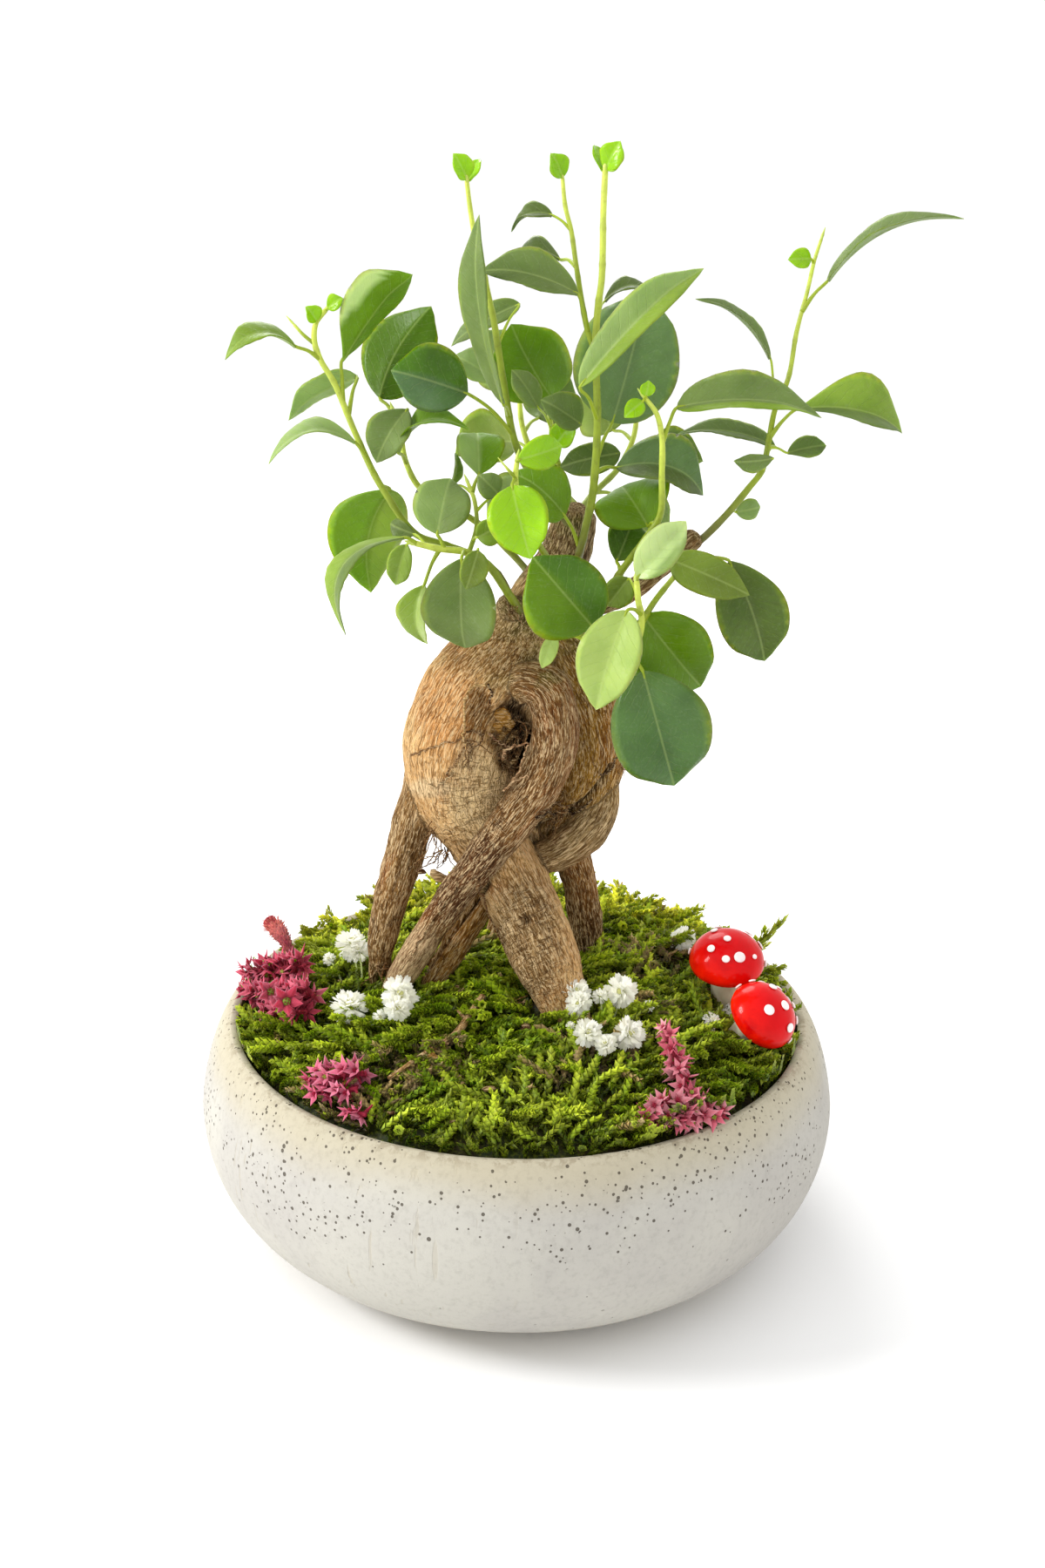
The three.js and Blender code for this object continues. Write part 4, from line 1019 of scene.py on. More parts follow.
@dataclass(frozen=True)
class LacquerFinish:
    """Glossy lacquer over a lightly uneven ground."""

    name: str
    tone: Colour
    deep: Colour
    roughness: float
    coat: float
    painted: bool = False

    def make(self) -> Material:
        """Makes the material.

        Returns:
            The material.
        """
        bench = Bench(self.name, Roughness=self.roughness, Specular_IOR_Level=0.06,
                      Coat_Weight=self.coat, Coat_Roughness=0.06)
        place = bench.place()
        cloud = bench.noise(place, 130, 4, 0.6, 0.5)
        tone = bench.painted("tint") if self.painted else self.tone
        bench.colour(bench.mix(bench.step(cloud, 0.4, 0.75), tone, self.deep))
        bench.relief(bench.noise(place, 260, 3, 0.5), 0.0005, 0.3)
        return bench.material


@dataclass(frozen=True)
class FloorFinish:
    """Plain pale floor."""

    tone: Colour = (0.95, 0.95, 0.95)

    def make(self) -> Material:
        """Makes the material.

        Returns:
            The material.
        """
        bench = Bench("pale_floor", Roughness=0.9, Specular_IOR_Level=0.1)
        bench.colour(self.tone)
        return bench.material


@dataclass
class Finishes:
    """Every finish, made once and shared by the pieces."""

    concrete: Material = field(default_factory=ConcreteFinish().make)
    soil: Material = field(default_factory=SoilFinish().make)
    moss: Material = field(default_factory=MossFinish().make)
    bark: Material = field(default_factory=BarkFinish().make)
    leaf: Material = field(default_factory=LeafFinish().make)
    stalk: Material = field(default_factory=StalkFinish().make)
    # the white petals glow faintly, as painted light
    white_petal: Material = field(default_factory=PetalFinish(
        "white_petal", (1.0, 1.0, 0.85), (0.93, 0.93, 0.78), 0.7, 0.05).make)
    pink_petal: Material = field(default_factory=PetalFinish(
        "pink_petal", (1.0, 0.3, 0.4), (0.72, 0.66, 0.66), 0.25, 0.0).make)
    red_lacquer: Material = field(default_factory=LacquerFinish(
        "red_lacquer", rgb(222, 4, 10), rgb(200, 1, 6), 0.26, 0.2, True).make)
    white_dot: Material = field(default_factory=LacquerFinish(
        "white_dot", rgb(248, 240, 238), rgb(240, 222, 222), 0.4, 0.5).make)
    cream_stem: Material = field(default_factory=LacquerFinish(
        "cream_stem", rgb(238, 232, 204), rgb(222, 212, 176), 0.65, 0.0).make)
    floor: Material = field(default_factory=FloorFinish().make)


@dataclass
class Bowl:
    """The round concrete bowl, its rolled lip and its inner wall."""

    radius: float = 100.0
    height: float = 70.0
    belly_height: float = 42.7
    foot_radius: float = 56.0
    shoulder_radius: float = 90.0
    rim_inner_radius: float = 88.0
    lip_round: float = 1.6
    wall: float = 9.0
    floor_thickness: float = 9.0
    shoulder_power: float = 1.52
    underside_power: float = 2.12
    lip_crown: float = 0.55
    foot_blend: float = 6.0
    sectors: int = 220

    def outside(self) -> list[Point]:
        """Outer profile from the foot to the lip.

        Returns:
            Radius and height pairs.
        """
        points = []
        for angle in np.linspace(0, math.pi / 2, 40):
            out = math.sin(angle) ** (2 / self.underside_power)
            down = math.cos(angle) ** (2 / self.underside_power)
            points.append((self.foot_radius + (self.radius - self.foot_radius) * out,
                           self.belly_height * (1 - down)))
        top = self.height - self.lip_round * 0.4
        low = self.shoulder_radius + self.lip_round * 0.5
        for angle in np.linspace(0, math.pi / 2, 30)[1:]:
            out = max(0.0, math.cos(angle)) ** (2 / self.shoulder_power)
            rise = math.sin(angle) ** (2 / self.shoulder_power)
            points.append((low + (self.radius - low) * out,
                           self.belly_height + (top - self.belly_height) * rise))
        return points

    def inner_radius(self, height: float) -> float:
        """Radius of the inner wall at a height.

        Args:
            height: Height over the foot.

        Returns:
            The radius.
        """
        if height >= self.belly_height:
            share = (height - self.belly_height) / (self.height - self.belly_height)
            deep = self.radius - self.wall
            return deep + (self.rim_inner_radius - deep) * share ** 2
        share = (self.belly_height - height) / (self.belly_height - self.floor_thickness)
        floor = self.foot_radius - 4
        wide = self.radius - self.wall - floor
        return floor + wide * (1 - share ** self.underside_power) ** (1 / self.underside_power)

    def build(self, finishes: Finishes) -> None:
        """Builds the bowl in place of its plain solid.

        Args:
            finishes: The finishes.
        """
        outside = self.outside()
        start, end = outside[-1], (self.rim_inner_radius, self.height - self.lip_round * 0.9)
        lip = []
        for angle in np.linspace(0.0, math.pi, 9)[1:-1]:
            share = (1 - math.cos(angle)) / 2
            lip.append((start[0] + (end[0] - start[0]) * share,
                        start[1] + (end[1] - start[1]) * share + math.sin(angle) * self.lip_crown))
        heights = np.concatenate([np.linspace(end[1], self.belly_height, 10),
                                  np.linspace(self.belly_height, self.floor_thickness, 10)[1:]])
        inside = [(self.inner_radius(float(height)), float(height)) for height in heights]
        profile = [(0.0, 0.0), *outside, *lip, *inside, (0.0, self.floor_thickness)]
        places, faces = turned(profile, self.sectors)
        uneven = clouds(places, 34.0, 5) * 0.22 + clouds(places, 9.0, 6) * 0.09
        out = unit(places * np.array([1.0, 1.0, 0.0]))
        low = np.clip(places[:, 2:] / self.foot_blend, 0.0, 1.0)
        places = places + out * (uneven[:, None] - 0.1) * low
        skin = Skin()
        skin.add(places, faces)
        piece = skin.piece("concrete_bowl", finishes.concrete)
        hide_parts("bowl")


@dataclass
class Strands:
    """Moss shoots, as rows: where each starts and heads, how long it is, and its radius."""

    foot: Array
    run: Array
    length: Array
    thick: Array
    draw: Draws

    def __post_init__(self) -> None:
        """Works out each shoot's own axes and how it bows."""
        count = len(self.foot)
        self.across = unit(np.cross(self.run, [0.0, 0.0, 1.0]) + 1e-6)
        self.rise = np.cross(self.across, self.run)
        self.sway = self.draw.uniform(-0.35, 0.35, (count, 1)) * self.length[:, None]
        self.bend = self.draw.uniform(-0.3, 0.1, (count, 1)) * self.length[:, None]

    def spine(self, share: Array) -> Array:
        """Places of each shoot's middle line, at shares of its length.

        Args:
            share: Shares of the length.

        Returns:
            Places for each shoot and share.
        """
        places = (self.foot[:, None] + self.run[:, None] * (share * self.length[:, None])[..., None]
                  + self.across[:, None] * (self.sway * share ** 2)[..., None])
        places[..., 2] += self.bend * share ** 2
        return places

    def scales(self, whorls: int) -> tuple[Array, Array, Array, Array]:
        """Clothes each shoot in overlapping scale leaves, three to a ring.

        Args:
            whorls: How many rings each shoot has.

        Returns:
            Four places for each leaf of each shoot, the share along the shoot and the distance
            from its middle line of each, and how far below that line each lies, from 0 to 1.
        """
        pattern = []
        corners_of_leaf = ((0, 0.4, 0), (-0.92, 0.84, 0.95), (0.92, 0.84, 0.95), (0, 1.14, 1.75))
        step = 0.93 / whorls
        for whorl in range(whorls):
            swell = 0.62 + 0.38 * math.sin(math.pi * (0.16 + 0.7 * (whorl + 0.5) / whorls))
            for leaf in range(3):
                turn = (leaf / 3 + whorl / 6) * FULL_TURN
                for angle, out, run in corners_of_leaf:
                    pattern.append((math.cos(turn + angle) * out * swell,
                                    math.sin(turn + angle) * out * swell,
                                    (whorl + run) * step, out))
        across, rise, share, out = np.array(pattern).T
        turn = self.draw.uniform(0, FULL_TURN, (len(self.foot), 1))
        flat = across * np.cos(turn) - rise * np.sin(turn)
        tall = across * np.sin(turn) + rise * np.cos(turn)
        wide = self.thick[:, None]
        places = (self.spine(share[None]) + self.across[:, None] * (flat * wide)[..., None]
                  + self.rise[:, None] * (tall * wide)[..., None])
        return places, share, (out - 0.4) / 0.74, np.clip(0.5 - tall * 0.5, 0, 1)

    def chosen(self, which: Array) -> "Strands":
        """Some of these shoots.

        Args:
            which: Which of them.

        Returns:
            The chosen shoots.
        """
        some = copy.copy(self)
        for name in ("foot", "run", "length", "thick", "across", "rise", "sway", "bend"):
            setattr(some, name, getattr(self, name)[which])
        return some

    def branches(self, number: int) -> "Strands":
        """Short side shoots that leave each of these to both sides, like the parts of a feather.

        Args:
            number: How many each has.

        Returns:
            The side shoots.
        """
        count = len(self.foot)
        share = np.linspace(0.2, 0.86, number)[None] + self.draw.uniform(-0.04, 0.04,
                                                                         (count, number))
        side = np.resize([1.0, -1.0], number) + self.draw.normal(0, 0.2, (count, number))
        side = side + 2 * share * self.sway / self.length[:, None]
        heading = (self.run[:, None] + self.across[:, None] * side[..., None]
                   + self.rise[:, None] * self.draw.uniform(-0.1, 0.45, (count, number))[..., None])
        length = self.draw.uniform(2.6, 4.6, (count, number)) * (1.15 - 0.55 * share)
        return Strands(self.spine(share).reshape(-1, 3), unit(heading).reshape(-1, 3),
                       length.ravel(), np.repeat(self.thick * 0.62, number), self.draw)


@dataclass(frozen=True)
class MossLayer:
    """One layer of moss shoots; lean is in degrees, and level is how bright it is painted:
    lower layers darker as painted shade under the upper ones, the topmost lighter as lit.
    """

    name: str
    spacing: float
    lift: float
    lean: Point
    spread: float
    length: Point
    thick: Point
    whorls: int
    level: float


# The last value of each layer is its painted light level: the lower layers are painted darker as
# shade under the shoots above, the top one lighter.
MOSS_LAYERS = (
    MossLayer("moss_underlayer", 2.9, -2.2, (20, 80), 1.4, (3.6, 5.6), (0.9, 1.3), 3, 0.28),
    MossLayer("moss_matted", 3.9, -0.9, (2, 40), 0.9, (6.5, 11.0), (0.9, 1.2), 8, 0.72),
    MossLayer("moss_shoots", 5.0, 0.8, (0, 34), 0.6, (9.0, 15.0), (1.15, 1.55), 10, 1.62),
)


SCALE_FACES = np.array([[0, 1, 2], [0, 3, 1], [0, 2, 3], [1, 3, 2]])
# Picture column and row of each dry patch, and its radius in millimetres.
DRY_PATCHES = ((450, 1245, 13), (392, 1285, 15), (695, 1212, 11), (735, 1160, 8), (640, 1240, 7),
               (505, 1215, 9), (788, 1296, 8), (742, 1108, 10), (766, 1102, 8))
# First and last picture column of the sprigs along the back, and how many stand there.
BACK_SPRIGS = ((690, 800, 60), (420, 520, 26), (330, 430, 16))
TUFT_TIPS = ((911, 1064), (892, 1067), (878, 1074), (902, 1084), (888, 1078), (868, 1082))


@dataclass(frozen=True)
class MossLump:
    """One soft lump of the moss."""

    x: float
    y: float
    spread: float
    height: float


@dataclass
class MossMat:
    """The sheet moss: a lumpy mound and the thousands of short shoots that cover it."""

    radius: float = 87.2
    crown: float = 81.5
    lump_count: int = 70
    lump_seed: int = 20461
    bottom: float = 54.3
    ground_drop: float = 2.0
    lip_height: float = 69.6
    shoot_seed: int = 8120
    lumps: list[MossLump] = field(default_factory=list)

    deep: Colour = rgb(44, 62, 6)
    mid: Colour = rgb(112, 142, 10)
    bright: Colour = rgb(192, 208, 44)
    straw: Colour = rgb(184, 154, 100)
    brown: Colour = rgb(92, 68, 40)

    def __post_init__(self) -> None:
        """Draws the lumps as the part's own source does."""
        draw = scattered(self.lump_seed)
        for _ in range(self.lump_count):
            angle = draw() * FULL_TURN
            out = math.sqrt(draw()) * (self.radius - 8)
            spread = 5 + draw() * 5
            self.lumps.append(MossLump(math.cos(angle) * out, math.sin(angle) * out, spread,
                                       (draw() - 0.35) * 4.5))

    def height_at(self, x: Array, y: Array) -> Array:
        """Height of the moss over places of the ground plan.

        Args:
            x: X of each place.
            y: Y of each place.

        Returns:
            Their heights.
        """
        x, y = np.asarray(x, float), np.asarray(y, float)
        share = np.minimum(np.hypot(x, y), self.radius) / self.radius
        edge = 64.5 - 3 * np.cos(2 * np.arctan2(y, x))
        height = edge + (self.crown - edge) * (1 - share ** 4.5)
        fade = 1 - share ** 6
        for lump in self.lumps:
            near = ((x - lump.x) ** 2 + (y - lump.y) ** 2) / lump.spread ** 2
            height = height + np.where(near < 6, lump.height * np.exp(-near) * fade, 0.0)
        return height

    def over(self, x: float, y: float, lift: float = 0.0) -> Array:
        """Place where a sight line comes down to a height above the moss.

        Args:
            x: Picture column.
            y: Picture row.
            lift: Height above the moss.

        Returns:
            The place in millimetres.
        """
        ray = unit(EYE.sight(x, y))
        run = np.arange(400.0, 800.0, 0.25)
        places = EYE_PLACE + ray * run[:, None]
        under = places[:, 2] <= self.height_at(places[:, 0], places[:, 1]) + lift
        return places[int(np.argmax(under))]

    def rooted(self, place: Sequence[float]) -> Array:
        """A place brought down to a millimetre under the moss, where stalks are rooted."""
        return np.array([place[0], place[1], float(self.height_at(place[0], place[1])) - 1.0])

    def mat(self, finishes: Finishes) -> None:
        """Builds the dark matted ground between the shoots, in place of its plain solid.

        Args:
            finishes: The finishes.
        """
        sectors = 150
        radii = [*np.linspace(3, 84, 40), 86, self.radius]
        turn = np.arange(sectors) / sectors * FULL_TURN
        rings = []
        for radius in radii:
            x, y = radius * np.cos(turn), radius * np.sin(turn)
            rings.append(np.stack([x, y, self.height_at(x, y) - self.ground_drop], axis=1))
        places = np.concatenate(rings)
        places[:, 2] += clouds(places, 5.0, 71) * 1.3 * np.clip(
            (self.radius - apart(places, 0, 0)) / 5, 0, 1)
        low = rings[-1] * np.array([1, 1, 0]) + np.array([0, 0, self.bottom])
        places = np.vstack([places, low, [0, 0, self.height_at(0, 0) - self.ground_drop],
                            [0, 0, self.bottom]])
        count = (len(radii) + 1) * sectors
        faces = [ring_faces(len(radii) + 1, sectors)[:, ::-1], fan_faces(0, sectors, count, False),
                 fan_faces(count - sectors, sectors, count + 1, True)]
        tone = smooth(clouds(places, 4.0, 72), -0.5, 0.6)[:, None]
        # painted shade: the ground between the shoots is painted darker than its own green-brown,
        # for the shade under them
        tint = np.array(self.deep) * (1 - tone) * 0.7 + np.array(self.brown) * tone * 0.45
        skin = Skin()
        skin.add(places, faces, tint=tint)
        piece = skin.piece("moss_ground", finishes.moss)
        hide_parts("moss_mat")

    def paint(self, strands: Strands, share: Array, out: Array, low: Array, level: float) -> Array:
        """Colour of every place of some shoots.

        Args:
            strands: The shoots.
            share: How far along the shoot each place of its pattern lies.
            out: How far from its middle line each place lies.
            low: How far under its middle line each place of each shoot lies, from 0 to 1.
            level: How bright this layer is painted, as painted light and shade.

        Returns:
            A colour for each shoot and place.
        """
        count, draw = len(strands.foot), strands.draw
        patch = clouds(strands.foot, 13.0, 74)[:, None, None]
        along = share[None, :, None]
        fresh = np.clip(draw.uniform(0.0, 1.0, count)[:, None, None] + patch * 0.9, 0, 1)
        foot = np.array(self.deep) * 0.35 + np.array(self.mid) * 0.65
        tip = np.array(self.mid) * (1 - fresh) + np.array(self.bright) * fresh
        tone = blend(foot, tip, np.clip(along * 1.2, 0, 1) ** 0.7)
        dry = draw.uniform(0, 1, count) < 0.02 + 0.8 * self.dryness(strands.foot)
        straw = np.array(self.straw) * draw.uniform(0.35, 1.1, count)[:, None, None]
        tone = np.where(dry[:, None, None], straw * (0.55 + 0.45 * along), tone)
        # painted shade: each scale is darker towards the shoot's middle line, where the scales
        # shade one another
        tone = tone * (0.34 + 0.66 * np.clip(out, 0, 1)[None, :, None])
        # painted light: shoots towards the back are painted lighter and yellower, as lit, and those
        # towards the right darker, as in shade
        back = smooth(strands.foot[:, 1], 10, 55)
        right = smooth(strands.foot[:, 0], 20, 60) * (1 - back)
        light = 1 + back[:, None] * np.array([0.5, 0.2, 0.0]) - 0.25 * right[:, None]
        # painted shade on the undersides of the shoots, times the layer's painted light level
        tone = tone * (1 - 0.74 * low[..., None]) * level * light[:, None]
        return tone * draw.uniform(0.55, 1.3, count)[:, None, None]

    def cords(self, name: str, strands: Strands, whorls: int, level: float,
              finishes: Finishes, bound: bool = True) -> None:
        """Builds many moss shoots as one piece.

        Args:
            name: The piece's name.
            strands: The shoots.
            whorls: How many rings of leaves each has.
            level: How bright they are painted, as painted light and shade.
            finishes: The finishes.
            bound: Whether they are kept close to the bowl's lip.
        """
        places, share, out, low = strands.scales(whorls)
        far = np.hypot(places[..., 0], places[..., 1])
        over = np.clip(places[..., 2] - self.lip_height, 0, 2 if bound else 20)
        inside = self.radius - 0.1 + over * 0.9
        places[..., :2] *= np.minimum(1, inside / np.maximum(far, 1e-6))[..., None]
        tint = self.paint(strands, share, out, low, level)
        faces = np.arange(len(places) * whorls * 3)[:, None, None] * 4 + SCALE_FACES
        skin = Skin(rounded=False)
        skin.add(places.reshape(-1, 3), [faces.reshape(-1, 3)], tint=tint.reshape(-1, 3))
        skin.piece(name, finishes.moss)

    def ground(self, spacing: float, roots: "GinsengRoot", draw: Draws) -> Array:
        """Scattered places of the mound's top, clear of the root.

        Args:
            spacing: Distance between neighbours.
            roots: The root.
            draw: The draws to use.

        Returns:
            Rows of places.
        """
        reach = self.radius - 0.6
        rows = []
        for index, y in enumerate(np.arange(-reach, reach, spacing * 0.866)):
            columns = np.arange(-reach + (index % 2) * spacing / 2, reach, spacing)
            rows.append(np.stack([columns, np.full(len(columns), y)], axis=1))
        plan = np.concatenate(rows)
        plan = plan + draw.uniform(-0.36, 0.36, plan.shape) * spacing
        plan = plan[apart(plan, 0, 0) < reach]
        height = self.height_at(plan[:, 0], plan[:, 1])
        heaped = smooth(apart(plan, 0, 0), reach - 13, reach - 1)
        turn = np.arctan2(plan[:, 1], plan[:, 0])
        front_right, left = np.exp(-((turn + 0.68) / 0.45) ** 2), np.clip(-np.cos(turn), 0, 1)
        height = height + heaped * (1.4 + (2.9 * front_right + 1.6 * left))
        places = np.column_stack([plan, height])
        return places[roots.clear_of(places + np.array([0, 0, 1.0]), 0.4)]

    def headings(self, foot: Array, lean: Array, spread: float, draw: Draws) -> Array:
        """Directions that shoots grow in: swept along in drifts, and inward at the bowl's lip.

        Args:
            foot: Where they start.
            lean: How steeply each rises, in radians.
            spread: How far each strays from its drift, in radians.
            draw: The draws to use.

        Returns:
            Rows of directions.
        """
        count = len(foot)
        turn = clouds(foot, 22.0, 73) * 7.0 + draw.normal(0, spread, count)
        ahead = np.column_stack([np.cos(turn), np.sin(turn), np.zeros(count)])
        out = apart(foot, 0, 0)
        near_edge = smooth(out, self.radius - 10, self.radius - 1)[:, None]
        inward = -foot * np.array([1, 1, 0]) / np.maximum(out, 1)[:, None]
        outward = np.clip(-(ahead * inward).sum(axis=1), 0, 1)[:, None]
        ahead = unit(ahead + inward * outward * near_edge * 0.5)
        lean = lean + near_edge[:, 0] * 0.22
        run = ahead * np.cos(lean)[:, None]
        run[:, 2] = np.sin(lean)
        return unit(run)

    def shoots(self, roots: "GinsengRoot", finishes: Finishes) -> None:
        """Covers the mound with layers of shoots, the topmost feathered with side shoots.

        Args:
            roots: The root, which no shoot grows in.
            finishes: The finishes.
        """
        draw = np.random.default_rng(self.shoot_seed)
        for layer in MOSS_LAYERS:
            foot = self.ground(layer.spacing, roots, draw) + np.array([0, 0, layer.lift])
            count = len(foot)
            run = self.headings(foot, np.radians(draw.uniform(*layer.lean, count)),
                                layer.spread, draw)
            length = draw.uniform(*layer.length, count)
            length[~roots.clear_of(foot + run * length[:, None] * 0.6, 0.2)] *= 0.5
            strands = Strands(foot, run, length, draw.uniform(*layer.thick, count), draw)
            self.cords(layer.name, strands, layer.whorls, layer.level, finishes)
        feathered = draw.uniform(0, 1, count) < 0.42
        self.cords("moss_feathers", strands.chosen(feathered).branches(6), 3, 1.6, finishes)
        self.sprigs(finishes, draw)

    def sprigs(self, finishes: Finishes, draw: Draws) -> None:
        """Builds the taller sprigs that stand out along the mound's back and at its right.

        Args:
            finishes: The finishes.
            draw: The draws to use.
        """
        feet, runs, lengths = [], [], []
        for first, last, number in BACK_SPRIGS:
            for _ in range(number):
                x = draw.uniform(first, last)
                angle = math.atan2(74, EYE.seen(x, 1040, 74)[0])
                out = draw.uniform(66, 85)
                feet.append(self.rooted((math.cos(angle) * out, math.sin(angle) * out)))
                runs.append((draw.normal(0.1, 0.5), draw.normal(0, 0.4), draw.uniform(0.7, 1.4)))
                lengths.append(draw.uniform(5.5, 9.5))
        tuft = self.over(874, 1110, 0.5)
        for x, y in TUFT_TIPS:
            tip = EYE.seen(x, y, tuft[1] - 2)
            foot = tuft + draw.normal(0, 0.5, 3)
            feet.append(foot)
            runs.append(tip - foot)
            lengths.append(float(np.linalg.norm(tip - foot)) * 1.3)
        foot, run, length = np.array(feet), unit(np.array(runs)), np.array(lengths, float)
        thick = draw.uniform(0.8, 1.1, len(foot))
        tuft_rows = slice(-len(TUFT_TIPS), None)
        thick[tuft_rows] = 1.6
        strands = Strands(foot, run, length, thick, draw)
        strands.sway[tuft_rows] *= 0.3
        strands.bend[tuft_rows] *= 0.2
        self.cords("moss_sprigs", strands, 10, 1.3, finishes, False)

    def dryness(self, foot: Array) -> Array:
        """How dry and brown the moss is at places, from 0 to 1.

        Args:
            foot: Rows of places.

        Returns:
            A value for each place.
        """
        total = np.zeros(len(foot))
        for x, y, wide in DRY_PATCHES:
            far = apart(foot, *self.over(x, y)[:2])
            total = np.maximum(total, 1 - smooth(far, wide * 0.35, wide))
        return total

    def build(self, roots: "GinsengRoot", finishes: Finishes) -> None:
        """Builds the mat and its shoots."""
        self.mat(finishes)
        self.shoots(roots, finishes)


class BarkTone(Enum):
    """Sunlit and dull colours of the root's parts."""

    BULB = (rgb(252, 208, 142), rgb(214, 164, 104))
    RIGHT_BULB = (rgb(194, 146, 60), rgb(142, 102, 38))
    LOOP = (rgb(150, 106, 58), rgb(98, 66, 32))
    PALE_LOOP = (rgb(180, 150, 102), rgb(128, 104, 66))
    LEG = (rgb(156, 116, 66), rgb(106, 76, 38))
    DARK_LEG = (rgb(130, 90, 36), rgb(84, 56, 20))
    NECK = (rgb(160, 130, 88), rgb(112, 88, 56))


@dataclass(frozen=True)
class Limb:
    """One swollen root or branch, from its picture points, each with its depth."""

    points: tuple[DepthPoint, ...]
    radii: tuple[float, ...]
    tone: BarkTone
    in_soil: bool = False

    def line(self) -> tuple[Array, Array]:
        """Its centre line and the radius along it.

        Returns:
            The places and their radii.
        """
        places = [EYE.seen(*point) for point in self.points]
        radii = list(self.radii)
        if self.in_soil:
            places.append(np.array([places[-1][0], places[-1][1], 47.0]))
            radii.append(radii[-1] * 0.7)
        length = sum(np.linalg.norm(b - a) for a, b in zip(places, places[1:]))
        return line_through(places, radii, max(12, int(length / 1.6)))


ROOT_LIMBS = {
    "left_bulb": Limb(((612, 704, 0), (590, 742, -2), (556, 792, -4), (532, 850, -5),
        (532, 905, -5), (552, 955, -5), (578, 995, -6), (606, 1050, -12), (632, 1112, -20),
        (650, 1165, -27), (660, 1205, -29)),
        (9.5, 13.5, 17.5, 18, 15.5, 11.5, 10.8, 11, 10, 6.5, 4), BarkTone.BULB, in_soil=True),
    "right_bulb": Limb(((612, 704, 0), (640, 750, 3), (664, 795, 5), (676, 850, 6), (664, 905, 6),
        (638, 945, 4)), (9, 11, 12.5, 12.5, 10.5, 6), BarkTone.RIGHT_BULB),
    "back_bulb": Limb(((606, 720, 8), (602, 790, 14), (598, 860, 16), (606, 930, 13),
        (622, 985, 9)), (9, 15, 17, 14, 8), BarkTone.BULB),
    "loop_root": Limb(((590, 802, -13), (604, 783, -16), (626, 790, -18), (637, 822, -18),
        (634, 862, -18), (618, 900, -19), (592, 938, -20), (558, 980, -19), (520, 1030, -17),
        (484, 1084, -14), (452, 1136, -13), (440, 1160, -12)),
        (4, 6, 7, 7, 7, 6.8, 6.4, 5.8, 5.2, 4.7, 3.8, 2.5), BarkTone.LOOP, in_soil=True),
    "left_leg": Limb(((500, 868, -4), (479, 925, -5), (462, 985, -5), (448, 1040, -5),
        (438, 1082, -6), (434, 1112, -6)), (7, 6.2, 6, 5.2, 4.3, 2.8), BarkTone.LEG),
    "left_rootlet_outer": Limb(((432, 1095, -6), (428, 1120, -7), (434, 1150, -7), (436, 1175, -8)),
        (2.2, 1.7, 1.5, 1.2), BarkTone.LEG, in_soil=True),
    "left_rootlet_inner": Limb(((440, 1095, -6), (446, 1118, -5), (449, 1150, -4), (450, 1175, -4)),
        (2.2, 1.6, 1.4, 1.2), BarkTone.LEG, in_soil=True),
    "right_loop": Limb(((694, 878, 6), (694, 918, 2), (676, 950, -2), (648, 974, -3),
        (618, 984, 0)), (3.5, 5, 6.4, 6.2, 5), BarkTone.PALE_LOOP),
    "right_knuckle": Limb(((680, 800, 6), (700, 828, 6), (706, 862, 7), (694, 896, 8)),
        (5, 5.2, 4.6, 3), BarkTone.RIGHT_BULB),
    "right_leg": Limb(((640, 950, 10), (660, 990, 13), (670, 1040, 14), (677, 1090, 14),
        (682, 1130, 14)), (6, 5.8, 5.6, 5, 3.6), BarkTone.DARK_LEG, in_soil=True),
    "back_left_leg": Limb(((585, 985, 4), (556, 1032, 0), (526, 1080, -4), (498, 1126, -7),
        (486, 1155, -9)), (5.5, 4.6, 4.4, 4, 2.8), BarkTone.DARK_LEG, in_soil=True),
    "back_leg": Limb(((604, 960, 12), (590, 1020, 18), (572, 1072, 24), (562, 1110, 28)),
        (7, 5, 4, 3), BarkTone.DARK_LEG, in_soil=True),
    "neck": Limb(((600, 742, -1), (610, 704, 0), (630, 672, 2), (650, 635, 4), (661, 588, 6)),
        (11, 9.2, 8.2, 7.6, 6.4), BarkTone.NECK),
    "left_stub": Limb(((600, 722, -5), (588, 702, -8), (578, 690, -10)),
        (4.5, 3.6, 3), BarkTone.NECK),
    "right_branch": Limb(((628, 690, 0), (662, 694, -4), (700, 690, -7), (738, 668, -10),
        (770, 640, -10), (800, 615, -9)), (4.5, 3.6, 3.2, 3, 3.2, 3.2), BarkTone.NECK),
}


# Picture points and half width of the grooves between limbs, cut into the skin and painted darker
# as shade.
ROOT_SEAMS = (
    (((618, 950), (636, 940), (655, 930), (676, 915), (692, 898), (702, 880)), 6.0),
    (((560, 1016), (546, 1036), (526, 1062), (506, 1090), (488, 1116)), 4.5),
)


# Middle, half width and half height in the picture.
CRACKED_SPOTS = ((545, 925, 46, 66), (604, 1090, 50, 90))
# The recess is cut in and painted darker as shade.
RECESS = (551, 818, 17, 34)
LEG_KNOT = (604, 1056, 8.0, 7.0)


